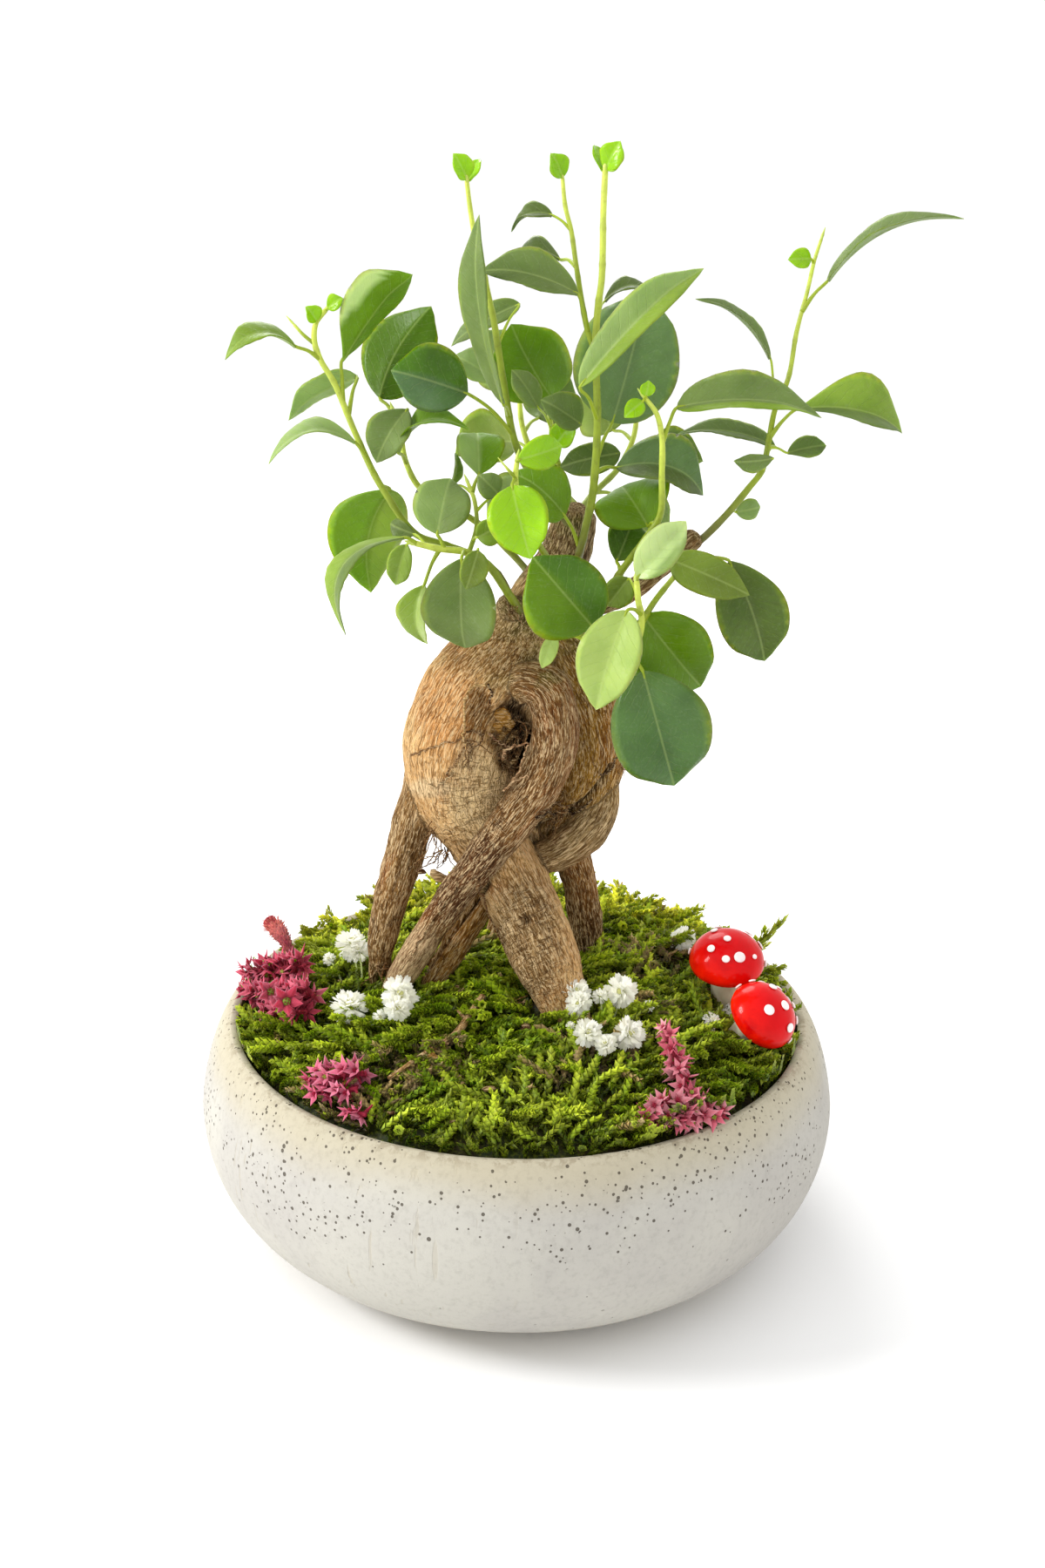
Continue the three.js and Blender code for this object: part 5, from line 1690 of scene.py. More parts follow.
@dataclass
class GinsengRoot:
    """The swollen root with its bulbs, legs and neck, grown together as one."""

    grain_size: float = 0.75
    lump_depth: float = 0.75
    fibre_depth: float = 0.3
    crease_depth: float = 0.4
    seam_depth: float = 2.0
    recess_depth: float = 2.4
    knot_depth: float = 2.6
    roughness_depth: float = 0.14
    valley_depth: float = 0.8
    lowest: float = 46.5
    hollow: tuple[float, float, float, float] = (586.0, 840.0, 27.0, 46.0)
    hollow_depth: float = 15.0
    batch: int = 20000
    lines: list[tuple[Array, Array]] = field(default_factory=list)
    skin_places: Array | None = None

    def __post_init__(self) -> None:
        """Works out the limbs' lines."""
        self.lines = [limb.line() for limb in ROOT_LIMBS.values()]

    def clear_of(self, places: Array, margin: float) -> Array:
        """Which places lie outside every limb by a margin.

        Args:
            places: Rows of places.
            margin: Distance in millimetres.

        Returns:
            Whether each place is clear.
        """
        clear = np.ones(len(places), bool)
        for line, radii in self.lines:
            away = np.linalg.norm(places[:, None] - line[None], axis=2) - radii[None]
            clear &= away.min(axis=1) > margin
        return clear

    def grown(self) -> tuple[Array, Array]:
        """The limbs run together into one even skin.

        Returns:
            Its places in millimetres and its four-sided faces.
        """
        skin = Skin()
        for index, (line, radii) in enumerate(self.lines):
            sides = 28
            turn = np.arange(sides) / sides * FULL_TURN
            around = np.stack(np.broadcast_arrays(
                np.cos(turn)[None] * 1.4, np.sin(turn)[None] * 1.4,
                np.arange(len(line))[:, None] * 0.11), axis=-1).reshape(-1, 3)
            wobble = clouds(around + index * 7.7, 1.0, 200 + index).reshape(len(line), sides)
            wobble = np.vstack([wobble[:1]] * 3 + [wobble]) * 0.09
            back = unit(line[0] - line[1]) * radii[0]
            line = np.vstack([line[0] + back * np.array([[0.76], [0.62], [0.36]]), line])
            radii = np.concatenate([radii[0] * np.array([0.36, 0.7, 0.93]), radii])
            skin.add(*tube(line, radii, sides, wobble))
        draft = skin.piece("root_draft", bpy.data.materials.new("draft"))
        remesh = draft.modifiers.new("grow", "REMESH")
        remesh.mode = "VOXEL"
        remesh.voxel_size = self.grain_size * MM
        bpy.context.view_layer.update()
        mesh = draft.evaluated_get(bpy.context.evaluated_depsgraph_get()).to_mesh()
        places = np.empty(len(mesh.vertices) * 3)
        mesh.vertices.foreach_get("co", places)
        places = places.reshape(-1, 3) / MM
        faces = np.empty(len(mesh.polygons) * 4, np.int32)
        mesh.polygons.foreach_get("vertices", faces)
        bpy.data.objects.remove(draft)
        return places, faces.reshape(-1, 4)

    def eased(self, places: Array, faces: Array, rounds: int) -> Array:
        """Places drawn towards their neighbours' middle, which softens the joins.

        Args:
            places: Rows of places.
            faces: The skin's faces.
            rounds: How often they are drawn.

        Returns:
            The eased places.
        """
        edges = np.vstack([faces[:, [0, 1]], faces[:, [1, 2]], faces[:, [2, 3]], faces[:, [3, 0]]])
        edges = np.vstack([edges, edges[:, ::-1]])
        count = np.bincount(edges[:, 0], minlength=len(places))[:, None]
        for _ in range(rounds):
            total = np.stack([np.bincount(edges[:, 0], places[edges[:, 1], axis],
                                          minlength=len(places)) for axis in range(3)], axis=1)
            places = places + (total / np.maximum(count, 1) - places) * 0.5
        return places

    def normals(self, places: Array, faces: Array) -> Array:
        """Direction that the skin faces at each place.

        Args:
            places: Rows of places.
            faces: The skin's faces.

        Returns:
            Rows of directions.
        """
        cross = np.cross(places[faces[:, 2]] - places[faces[:, 0]],
                         places[faces[:, 3]] - places[faces[:, 1]])
        total = np.zeros_like(places)
        for corner in range(4):
            for axis in range(3):
                total[:, axis] += np.bincount(faces[:, corner], cross[:, axis],
                                              minlength=len(places))
        return unit(total)

    def grain(self, places: Array) -> tuple[Array, Array, Array, Array]:
        """Where each place lies along and across its limb, and its two colours.

        Args:
            places: The skin's places.

        Returns:
            Rows of along and two across in millimetres, the sunlit and dull colours, and the
            number of the limb.
        """
        share = np.empty((len(ROOT_LIMBS), len(places)))
        rows = np.empty((len(ROOT_LIMBS), len(places), 3))
        for index, (line, radii) in enumerate(self.lines):
            near = np.empty(len(places), int)
            for start in range(0, len(places), self.batch):
                part = slice(start, start + self.batch)
                away = ((places[part, None] - line[None]) ** 2).sum(axis=2) / radii[None] ** 2
                near[part] = away.argmin(axis=1)
                share[index, part] = np.sqrt(away.min(axis=1))
            ahead, side, rise = carried_frames(line)
            run = run_along(line)
            off = places - line[near]
            rows[index, :, 0] = run[near] + (off * ahead[near]).sum(axis=1) + index * 61.0
            rows[index, :, 1] = (off * side[near]).sum(axis=1)
            rows[index, :, 2] = (off * rise[near]).sum(axis=1)
        best = share.argmin(axis=0)
        weight = np.exp(-(share - share.min(axis=0)) * 9.0)
        weight /= weight.sum(axis=0)
        tones = np.array([limb.tone.value for limb in ROOT_LIMBS.values()])
        lit = weight.T @ tones[:, 0]
        dull = weight.T @ tones[:, 1]
        return rows[best, np.arange(len(places))], lit, dull, best

    def build(self, finishes: Finishes) -> None:
        """Builds the root in place of its plain solid.

        Args:
            finishes: The finishes.
        """
        places, faces = self.grown()
        places = self.eased(places, faces, 5)
        grain, lit, dull, limb = self.grain(places)
        normal = self.normals(places, faces)
        valley = ((self.eased(places, faces, 45) - places) * normal).sum(axis=1)
        shown = EYE.shown(places)
        front = (normal * (EYE_PLACE - places)).sum(axis=1) > 0
        fibre = clouds(grain * np.array([0.09, 0.55, 0.55]), 1.0, 301, 4)
        cracked = self.patch(shown, front, CRACKED_SPOTS)
        crease = clouds(grain * np.array([0.34, 0.045, 0.045]), 1.0, 302)
        ring = (1 - smooth(np.abs(crease), 0.0, 0.06)) * np.clip(cracked * 1.2 + 0.15, 0, 1)
        push = (clouds(places, 8.0, 304) * self.lump_depth + fibre * self.fibre_depth
                - ring * self.crease_depth + clouds(places, 1.6, 306, 2) * self.roughness_depth
                - smooth(valley, 0.15, 1.2) * self.valley_depth)
        push = push + self.knot(shown) * -self.knot_depth
        seams = np.max([self.groove(shown, points, wide) for points, wide in ROOT_SEAMS], axis=0)
        seams = seams * front
        recess = self.patch(shown, front, (RECESS,))
        push = push - recess * self.recess_depth - seams * self.seam_depth
        places = places + normal * push[:, None]
        hollow = self.hollow_share(shown, front & (limb != list(ROOT_LIMBS).index("loop_root")))
        places = places + unit(places - EYE_PLACE) * (hollow * self.hollow_depth)[:, None]
        places[:, 2] = np.maximum(places[:, 2], self.lowest)
        tint = self.tints(places, grain, lit, dull, fibre)
        tint = self.patched(tint, shown, front & (hollow < 0.1), limb)
        shelf = 0.2 + 0.7 * smooth(shown[:, 0], 570, 590)
        shadow = (1 - 0.25 * ring) * (1 - shelf * np.clip(hollow * 1.5, 0, 1))
        shadow = shadow * (1 - 0.6 * smooth(valley, 0.12, 1.1) * (1 - 0.75 * cracked)) * (
            1 + 0.3 * smooth(-valley, 0.1, 0.8))
        # painted shade: the grooves along the seams and the recess are painted darker, on top of
        # the painted shadow
        tint = tint * (shadow * (1 - 0.8 * seams) * (1 - 0.35 * recess))[:, None]
        wear = np.column_stack([np.clip(cracked + 0.12, 0, 1), valley, hollow])
        self.skin_places = places[front]
        skin = Skin()
        skin.add(places, [faces], tint=tint, grain=grain, wear=wear)
        piece = skin.piece("ginseng_bark", finishes.bark)
        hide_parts("ginseng_root")

    def on_skin(self, x: float, y: float) -> Array:
        """Place of the root's skin that shows at a picture point, or near it.

        Args:
            x: Picture column.
            y: Picture row.

        Returns:
            The place in millimetres.
        """
        shown = EYE.shown(self.skin_places)
        far = apart(shown, x, y)
        away = np.linalg.norm(self.skin_places - EYE_PLACE, axis=1)
        return self.skin_places[(np.maximum(far, 3.0) * 4 + away).argmin()]

    def patch(self, shown: Array, front: Array,
              spots: Sequence[tuple[float, float, float, float]]) -> Array:
        """How far inside any of some round patches of the picture each place lies, 0 to 1.

        Args:
            shown: Where each place shows in the picture.
            front: Whether it faces the eye.
            spots: Middle, half width and half height of each.

        Returns:
            A value for each place.
        """
        total = np.zeros(len(shown))
        for x, y, wide, high in spots:
            total = np.maximum(total, 1 - smooth(apart(shown, x, y, wide, high), 0.55, 1.1))
        return total * front

    def groove(self, shown: Array, points: Sequence[Point], wide: float) -> Array:
        """How deep in a narrow groove through picture points each place lies, from 0 to 1.

        Args:
            shown: Where each place shows in the picture.
            points: Picture points of its line.
            wide: Its half width in picture points.

        Returns:
            A value for each place.
        """
        line, _ = line_through([(x, y, 0.0) for x, y in points], [1.0] * len(points), 60)
        far = np.full(len(shown), np.inf)
        for x, y, _ in line:
            far = np.minimum(far, apart(shown, x, y))
        return 1 - smooth(far, 0.5, wide)

    def patched(self, tint: Array, shown: Array, front: Array, limb: Array) -> Array:
        """The skin's colours with the patches that the photograph shows on its front.

        Args:
            tint: The colours.
            shown: Where each place shows in the picture.
            front: Whether it faces the picture's eye.
            limb: Which limb it belongs to.

        Returns:
            The patched colours.
        """
        names = list(ROOT_LIMBS)
        for patch in BARK_PATCHES:
            mine = front & np.isin(limb, [names.index(name) for name in patch.limbs])
            share = self.patch(shown, mine, (patch.spot,)) * patch.share
            tint = blend(tint, patch.tone, share[:, None])
        return tint

    def knot(self, shown: Array) -> Array:
        """How deep in the leg's knot each place lies, from 0 to 1."""
        far = apart(shown, *LEG_KNOT)
        return np.clip(1 - far ** 2, 0, 1) ** 0.7 - 0.35 * np.exp(-((far - 1.35) / 0.3) ** 2)

    def hollow_share(self, shown: Array, front: Array) -> Array:
        """How far into the hollow between the bulbs each place is pushed, from 0 to 1.

        Args:
            shown: Where each place shows in the picture.
            front: Whether it faces the eye.

        Returns:
            A value for each place.
        """
        far = apart(shown, *self.hollow)
        ragged = clouds(np.column_stack([shown, shown[:, 0] * 0]), 16.0, 309)
        return np.clip(1 - (far * (1 + 0.3 * ragged)) ** 2.6, 0, 1) * front

    def tints(self, places: Array, grain: Array, lit: Array, dull: Array, fibre: Array) -> Array:
        """Colour of each place of the skin.

        Args:
            places: The skin's places.
            grain: Where they lie along and across their limbs.
            lit: Their sunlit colours.
            dull: Their dull colours.
            fibre: Height of the fibres there.

        Returns:
            A colour for each place.
        """
        share = np.clip(0.55 + 0.6 * clouds(places, 11.0, 305, 4) + 0.4 * fibre, 0, 1)[:, None]
        tone = blend(dull, lit, share)
        rust = smooth(clouds(grain * np.array([0.3, 1.0, 1.0]), 4.0, 307), 0.1, 0.6)[:, None]
        tone = blend(tone, rgb(170, 92, 44), rust * 0.3)
        green = smooth(clouds(places, 5.0, 308), -0.1, 0.4) * smooth(places[:, 2], 176, 188)
        green = np.maximum(green * 0.55, smooth(places[:, 2], 92, 80) * 0.3)[:, None]
        return blend(tone, rgb(88, 98, 34), green)


@dataclass(frozen=True)
class BarkPatch:
    """A patch of another colour on the front of some limbs.

    Spot is its middle in the picture and its half width and half height there.
    """

    limbs: tuple[str, ...]
    spot: tuple[float, float, float, float]
    tone: Colour
    share: float


BARK_PATCHES = (
    BarkPatch(("left_bulb", "back_bulb"), (512, 812, 44, 62), rgb(200, 128, 62), 0.6),
    BarkPatch(("left_bulb", "back_bulb"), (552, 915, 44, 66), rgb(255, 222, 164), 0.85),
    BarkPatch(("left_bulb", "back_bulb"), (556, 752, 60, 34), rgb(138, 94, 42), 0.7),
    BarkPatch(("left_bulb",), (490, 890, 26, 60), rgb(226, 172, 108), 0.5),
    BarkPatch(("left_bulb", "back_bulb"), (552, 818, 20, 36), rgb(170, 116, 52), 0.85),
    BarkPatch(("left_bulb",), (494, 905, 30, 14), rgb(244, 220, 176), 0.6),
    BarkPatch(("left_bulb",), (604, 1085, 46, 95), rgb(110, 80, 44), 0.75),
    BarkPatch(("left_bulb",), (640, 1150, 24, 30), rgb(176, 124, 72), 0.5),
    BarkPatch(("loop_root",), (648, 860, 14, 70), rgb(178, 138, 92), 0.45),
    BarkPatch(("loop_root",), (535, 1010, 74, 66), rgb(92, 58, 34), 0.78),
    BarkPatch(("loop_root",), (470, 1104, 44, 52), rgb(206, 176, 138), 0.7),
    BarkPatch(("back_left_leg",), (520, 1080, 70, 80), rgb(164, 118, 50), 0.8),
    BarkPatch(("neck", "left_stub", "back_bulb", "left_bulb"), (598, 706, 52, 34),
              rgb(92, 86, 40), 0.6),
    # painted shade: the right edge of the right bulb and its knuckle is painted darker red-brown
    BarkPatch(("right_bulb", "right_knuckle"), (705, 850, 20, 50), rgb(150, 88, 34), 0.5),
    BarkPatch(("right_leg",), (672, 1000, 24, 50), rgb(160, 112, 56), 0.5),
)


@dataclass(frozen=True)
class HairRoots:
    """A loose bunch of fine roots that hang from one place of the root."""

    x: float
    y: float
    depth: float
    count: int
    length: float
    spread: float
    pull: tuple[float, float, float] = (0.0, -0.3, -1.0)
    thickness: float = 0.22

    def grow(self, skin: Skin, draw: Draws) -> None:
        """Adds the bunch to a skin.

        Args:
            skin: The skin to add to.
            draw: The draws to use.
        """
        start = EYE.seen(self.x, self.y, self.depth)
        for _ in range(self.count):
            steps = 9
            place = start + draw.normal(0, self.spread * 0.45, 3) * np.array([1, 0.4, 1])
            heading = unit(np.array(self.pull) + draw.normal(0, 0.5, 3))
            line = [place]
            for _ in range(steps):
                heading = unit(heading + draw.normal(0, 0.38, 3) + np.array(self.pull) * 0.12)
                line.append(line[-1] + heading * self.length / steps * draw.uniform(0.6, 1.2))
            radii = np.linspace(1.0, 0.45, steps + 1) * self.thickness * draw.uniform(0.6, 1.3)
            places, faces = tube(np.array(line), radii, 4)
            tone = np.array(rgb(168, 118, 66)) * draw.uniform(0.35, 1.0)
            skin.add(places, faces, tint=tone, grain=places, wear=(0, 0, 0))


@dataclass(frozen=True)
class CreepingRoot:
    """A fine root that lies on the skin of the big one, through picture points."""

    points: tuple[Point, ...]
    thickness: float = 0.3
    tone: Colour = rgb(150, 108, 66)
    depth: float | None = None

    def grow(self, skin: Skin, roots: GinsengRoot, draw: Draws) -> None:
        """Adds the fine root to a skin.

        Args:
            skin: The skin to add to.
            roots: The root.
            draw: The draws to use.
        """
        flat, _ = line_through([(x, y, 0.0) for x, y in self.points], [1.0] * len(self.points),
                               len(self.points) * 5)
        places = []
        for x, y, _ in flat:
            x, y = x + draw.normal(0, 0.8), y + draw.normal(0, 0.8)
            place = roots.on_skin(x, y) if self.depth is None else EYE.seen(x, y, self.depth)
            places.append(place + unit(EYE_PLACE - place) * self.thickness * 0.9)
        line, radii = line_through(places, [self.thickness] * len(places), len(places) * 2)
        radii = radii * np.linspace(1.1, 0.6, len(line))
        body, faces = tube(line, radii, 6)
        skin.add(body, faces, tint=self.tone, grain=body, wear=(0, 0, 0))


CREEPING_ROOTS = (
    CreepingRoot(((468, 868), (490, 861), (515, 853), (540, 850), (556, 858), (566, 868)), 0.26),
    CreepingRoot(((541, 852), (530, 868), (516, 885), (508, 902)), 0.24),
    CreepingRoot(((536, 843), (548, 838), (556, 846), (550, 858), (540, 860)), 0.3,
                 rgb(126, 88, 52)),
    CreepingRoot(((556, 788), (544, 790), (536, 802), (533, 822), (533, 846), (536, 862)), 0.4,
                 rgb(232, 190, 124)),
    # painted shade: a dark line along the recess's right border, where its wall lies in shadow
    CreepingRoot(((562, 787), (563, 797), (562, 808)), 0.3, rgb(70, 40, 20)),
    CreepingRoot(((486, 898), (498, 905), (510, 898), (522, 886)), 0.24, rgb(228, 200, 150)),
    CreepingRoot(((578, 908), (592, 892), (600, 873), (606, 854)), 0.4, rgb(206, 160, 116), -22.0),
    CreepingRoot(((577, 872), (580, 862), (590, 857), (607, 853)), 0.44, rgb(186, 142, 104), -22.0),
    CreepingRoot(((584, 902), (594, 895), (607, 890)), 0.34, rgb(226, 184, 140), -24.0),
    CreepingRoot(((562, 842), (572, 852), (586, 858)), 0.36, rgb(130, 84, 60), -20.0),
    # a fine root in the groove under the right bulb, its own brown painted dark with the groove's
    # shade
    CreepingRoot(((618, 940), (640, 935), (660, 930), (680, 918)), 0.55, rgb(70, 46, 26)),
    CreepingRoot(((622, 934), (646, 928), (668, 926)), 0.3, rgb(110, 76, 44)),
    CreepingRoot(((690, 893), (702, 886), (708, 874), (718, 866)), 0.3, rgb(84, 56, 34)),
    CreepingRoot(((548, 1012), (556, 1040), (564, 1070), (574, 1096)), 0.4, rgb(142, 100, 62)),
    CreepingRoot(((470, 1096), (500, 1050), (530, 1010)), 0.3, rgb(170, 132, 92)),
)


HAIR_ROOTS = (
    HairRoots(541, 858, -22.5, 12, 10, 2.4, (0.15, -0.12, -1.0), 0.2),
    HairRoots(502, 945, -11, 16, 16, 3.2, (0.0, -0.2, -1.0)),
    HairRoots(512, 975, -11, 12, 9, 2.6, (-0.5, -0.2, -1.0)),
    HairRoots(712, 872, 2, 9, 9, 2.2, (0.5, -0.3, -0.8)),
    HairRoots(648, 925, -13, 12, 12, 3.0, (-0.8, -0.2, -0.5)),
    HairRoots(590, 835, -12, 18, 13, 4.2, (0.2, -0.05, -1.0)),
    HairRoots(575, 868, -12, 10, 9, 3.2, (0.4, -0.05, -0.8)),
    HairRoots(437, 1105, -9, 9, 13, 1.6, (0.0, -0.1, -1.0), 0.3),
    HairRoots(598, 1150, -26, 9, 9, 2.6, (-0.5, -0.2, -0.9)),
    HairRoots(660, 1090, 6, 7, 11, 2.0, (0.3, -0.3, -1.0)),
    HairRoots(592, 700, -14, 9, 7, 2.6, (0.1, -0.2, -1.0), 0.18),
)


@dataclass(frozen=True)
class Crumb:
    """A bit of bark, soil or dry leaf."""

    place: tuple[float, float, float]
    size: tuple[float, float, float]
    tone: Colour
    turn: float = 0.0

    def grow(self, skin: Skin, seed: int) -> None:
        """Adds the crumb to a skin.

        Args:
            skin: The skin to add to.
            seed: What makes this crumb different from the others.
        """
        sides, rings = 12, 7
        tilt = np.linspace(0.16, math.pi - 0.16, rings)
        turn = np.arange(sides) / sides * FULL_TURN
        ball = np.stack([np.outer(np.sin(tilt), np.cos(turn)), np.outer(np.sin(tilt),
                         np.sin(turn)), -np.outer(np.cos(tilt), np.ones(sides))], axis=-1)
        ball = np.vstack([ball.reshape(-1, 3), [0, 0, -1], [0, 0, 1]])
        ball *= (1 + clouds(ball + seed * 3.3, 0.6, 400 + seed) * 0.55)[:, None]
        ball *= np.array(self.size)
        cos, sin = math.cos(self.turn), math.sin(self.turn)
        ball = ball @ np.array([[cos, 0, -sin], [0, 1, 0], [sin, 0, cos]])
        places = ball + np.array(self.place)
        skin.add(places, closed_faces(rings, sides), tint=self.tone, grain=places, wear=(0, 0, 0))


# Picture column and row, length, height, painted light level and tilt of each chip in the hollow:
# the chips at its lit left are painted lighter, those deep in its shade darker.
HOLLOW_CHIPS = ((577, 823, 2.9, 2.1, 1.3, 0.9), (571, 834, 2.2, 1.5, 1.15, 0.7),
                (584, 830, 1.8, 1.5, 0.9, 0.4), (579, 842, 2.9, 0.7, 0.55, -0.7),
                (588, 845, 2.6, 0.6, 0.4, -0.9), (574, 848, 3.2, 0.6, 0.45, -0.65),
                (590, 874, 1.6, 0.9, 0.35, -0.8), (566, 838, 1.5, 0.7, 0.8, -0.9))


@dataclass
class RootLitter:
    """Fine roots, crumbs and dry flakes caught in the root and lying on the moss."""

    moss: MossMat
    roots: GinsengRoot
    loose_crumbs: int = 60
    reach: float = 82.0

    def build(self, finishes: Finishes) -> None:
        """Builds the fine roots and the crumbs as two pieces.

        Args:
            finishes: The finishes.
        """
        draw = np.random.default_rng(417)
        hairs = Skin()
        for bunch in HAIR_ROOTS:
            bunch.grow(hairs, draw)
        for root in CREEPING_ROOTS:
            root.grow(hairs, self.roots, draw)
        hairs.piece("hair_roots", finishes.bark)
        crumbs = Skin()
        rust, straw, dark = rgb(190, 140, 62), rgb(206, 170, 116), rgb(104, 66, 38)
        # each chip's rust colour is scaled by its painted light level
        held = (*(Crumb(tuple(EYE.seen(x, y, -14.5)), (long, 0.9, high),
                        tuple(np.array(rust) * level), tilt)
                  for x, y, long, high, level, tilt in HOLLOW_CHIPS),
                Crumb(tuple(EYE.seen(504, 1006, -12)), (3.1, 0.5, 1.5), straw, 0.5),
                Crumb(tuple(EYE.seen(484, 1000, -12)), (1.5, 0.6, 0.9), dark, 0.2),
                Crumb(tuple(self.moss.over(497, 1217, 3.0)), (2.4, 1.8, 2.0), rust, 0.2),
                Crumb(tuple(self.moss.over(549, 1152, 3.6)), (1.3, 1.3, 1.9), straw, 0.3),
                Crumb(tuple(self.moss.over(604, 1180, 2.6)), (1.8, 1.6, 1.2), dark, 0.3))
        for seed, crumb in enumerate(held):
            crumb.grow(crumbs, seed)
        for seed in range(self.loose_crumbs):
            angle, out = draw.uniform(0, FULL_TURN), self.reach * math.sqrt(draw.uniform(0, 1))
            x, y = math.cos(angle) * out, math.sin(angle) * out
            size = draw.uniform(0.4, 1.3)
            tone = np.array(straw if draw.uniform() < 0.4 else dark) * draw.uniform(0.4, 1.0)
            Crumb((x, y, float(self.moss.height_at(x, y)) + 1.2),
                  (size * 1.6, size, size * 0.6), tuple(tone),
                  draw.uniform(-0.6, 0.6)).grow(crumbs, 20 + seed)
        crumbs.piece("litter_crumbs", finishes.bark)


class Look(Enum):
    """Colours of a leaf's upper and lower face, how uneven they are, and how rough it is."""

    BACKLIT = (rgb(94, 128, 2), rgb(96, 130, 4), 0.25, 0.45)
    FRESH = (rgb(116, 142, 34), rgb(126, 150, 50), 0.25, 0.4)
    DUSTY = (rgb(104, 122, 64), rgb(118, 136, 80), 0.3, 0.6)
    SAGE = (rgb(138, 160, 92), rgb(146, 168, 100), 0.25, 0.5)
    DEEP = (rgb(82, 98, 42), rgb(98, 116, 56), 0.35, 0.45)
    GLOSSY = (rgb(68, 104, 16), rgb(96, 122, 48), 0.35, 0.2)
    BLUISH = (rgb(78, 108, 56), rgb(98, 124, 72), 0.3, 0.3)
    OLIVE = (rgb(110, 128, 44), rgb(122, 138, 60), 0.3, 0.5)
    PALE = (rgb(162, 184, 96), rgb(170, 190, 110), 0.15, 0.4)
    YOUNG = (rgb(140, 186, 14), rgb(150, 194, 30), 0.2, 0.2)
    # painted shade: the grey-green of leaf parts that lie in shade
    SHADED_GREEN = (rgb(128, 152, 54), rgb(134, 158, 62), 0.2, 0.5)
    SHEEN = (rgb(84, 112, 70), rgb(96, 122, 80), 0.45, 0.18)
    MATTE = (rgb(94, 118, 72), rgb(104, 128, 84), 0.3, 0.5)
    # painted highlight: a whitish glossy sheen over a pale green leaf
    WHITE_SHEEN = (rgb(180, 200, 132), rgb(180, 200, 132), 0.4, 0.22)
    SHADOWED = (rgb(70, 100, 1), rgb(72, 102, 2), 0.3, 0.45)


@dataclass(frozen=True)
class Stem:
    """One stem, from its picture points, each with its depth, and its radius at both ends."""

    points: tuple[DepthPoint, ...]
    radii: tuple[float, float]

    def line(self) -> tuple[Array, Array]:
        """Its centre line and the radius along it.

        Returns:
            The places and their radii.
        """
        places = np.array([EYE.seen(*point) for point in self.points])
        length = np.linalg.norm(np.diff(places, axis=0), axis=1).sum()
        radii = np.linspace(*self.radii, len(places)) * 0.78
        return line_through(places, radii, max(8, int(length / 1.3)))


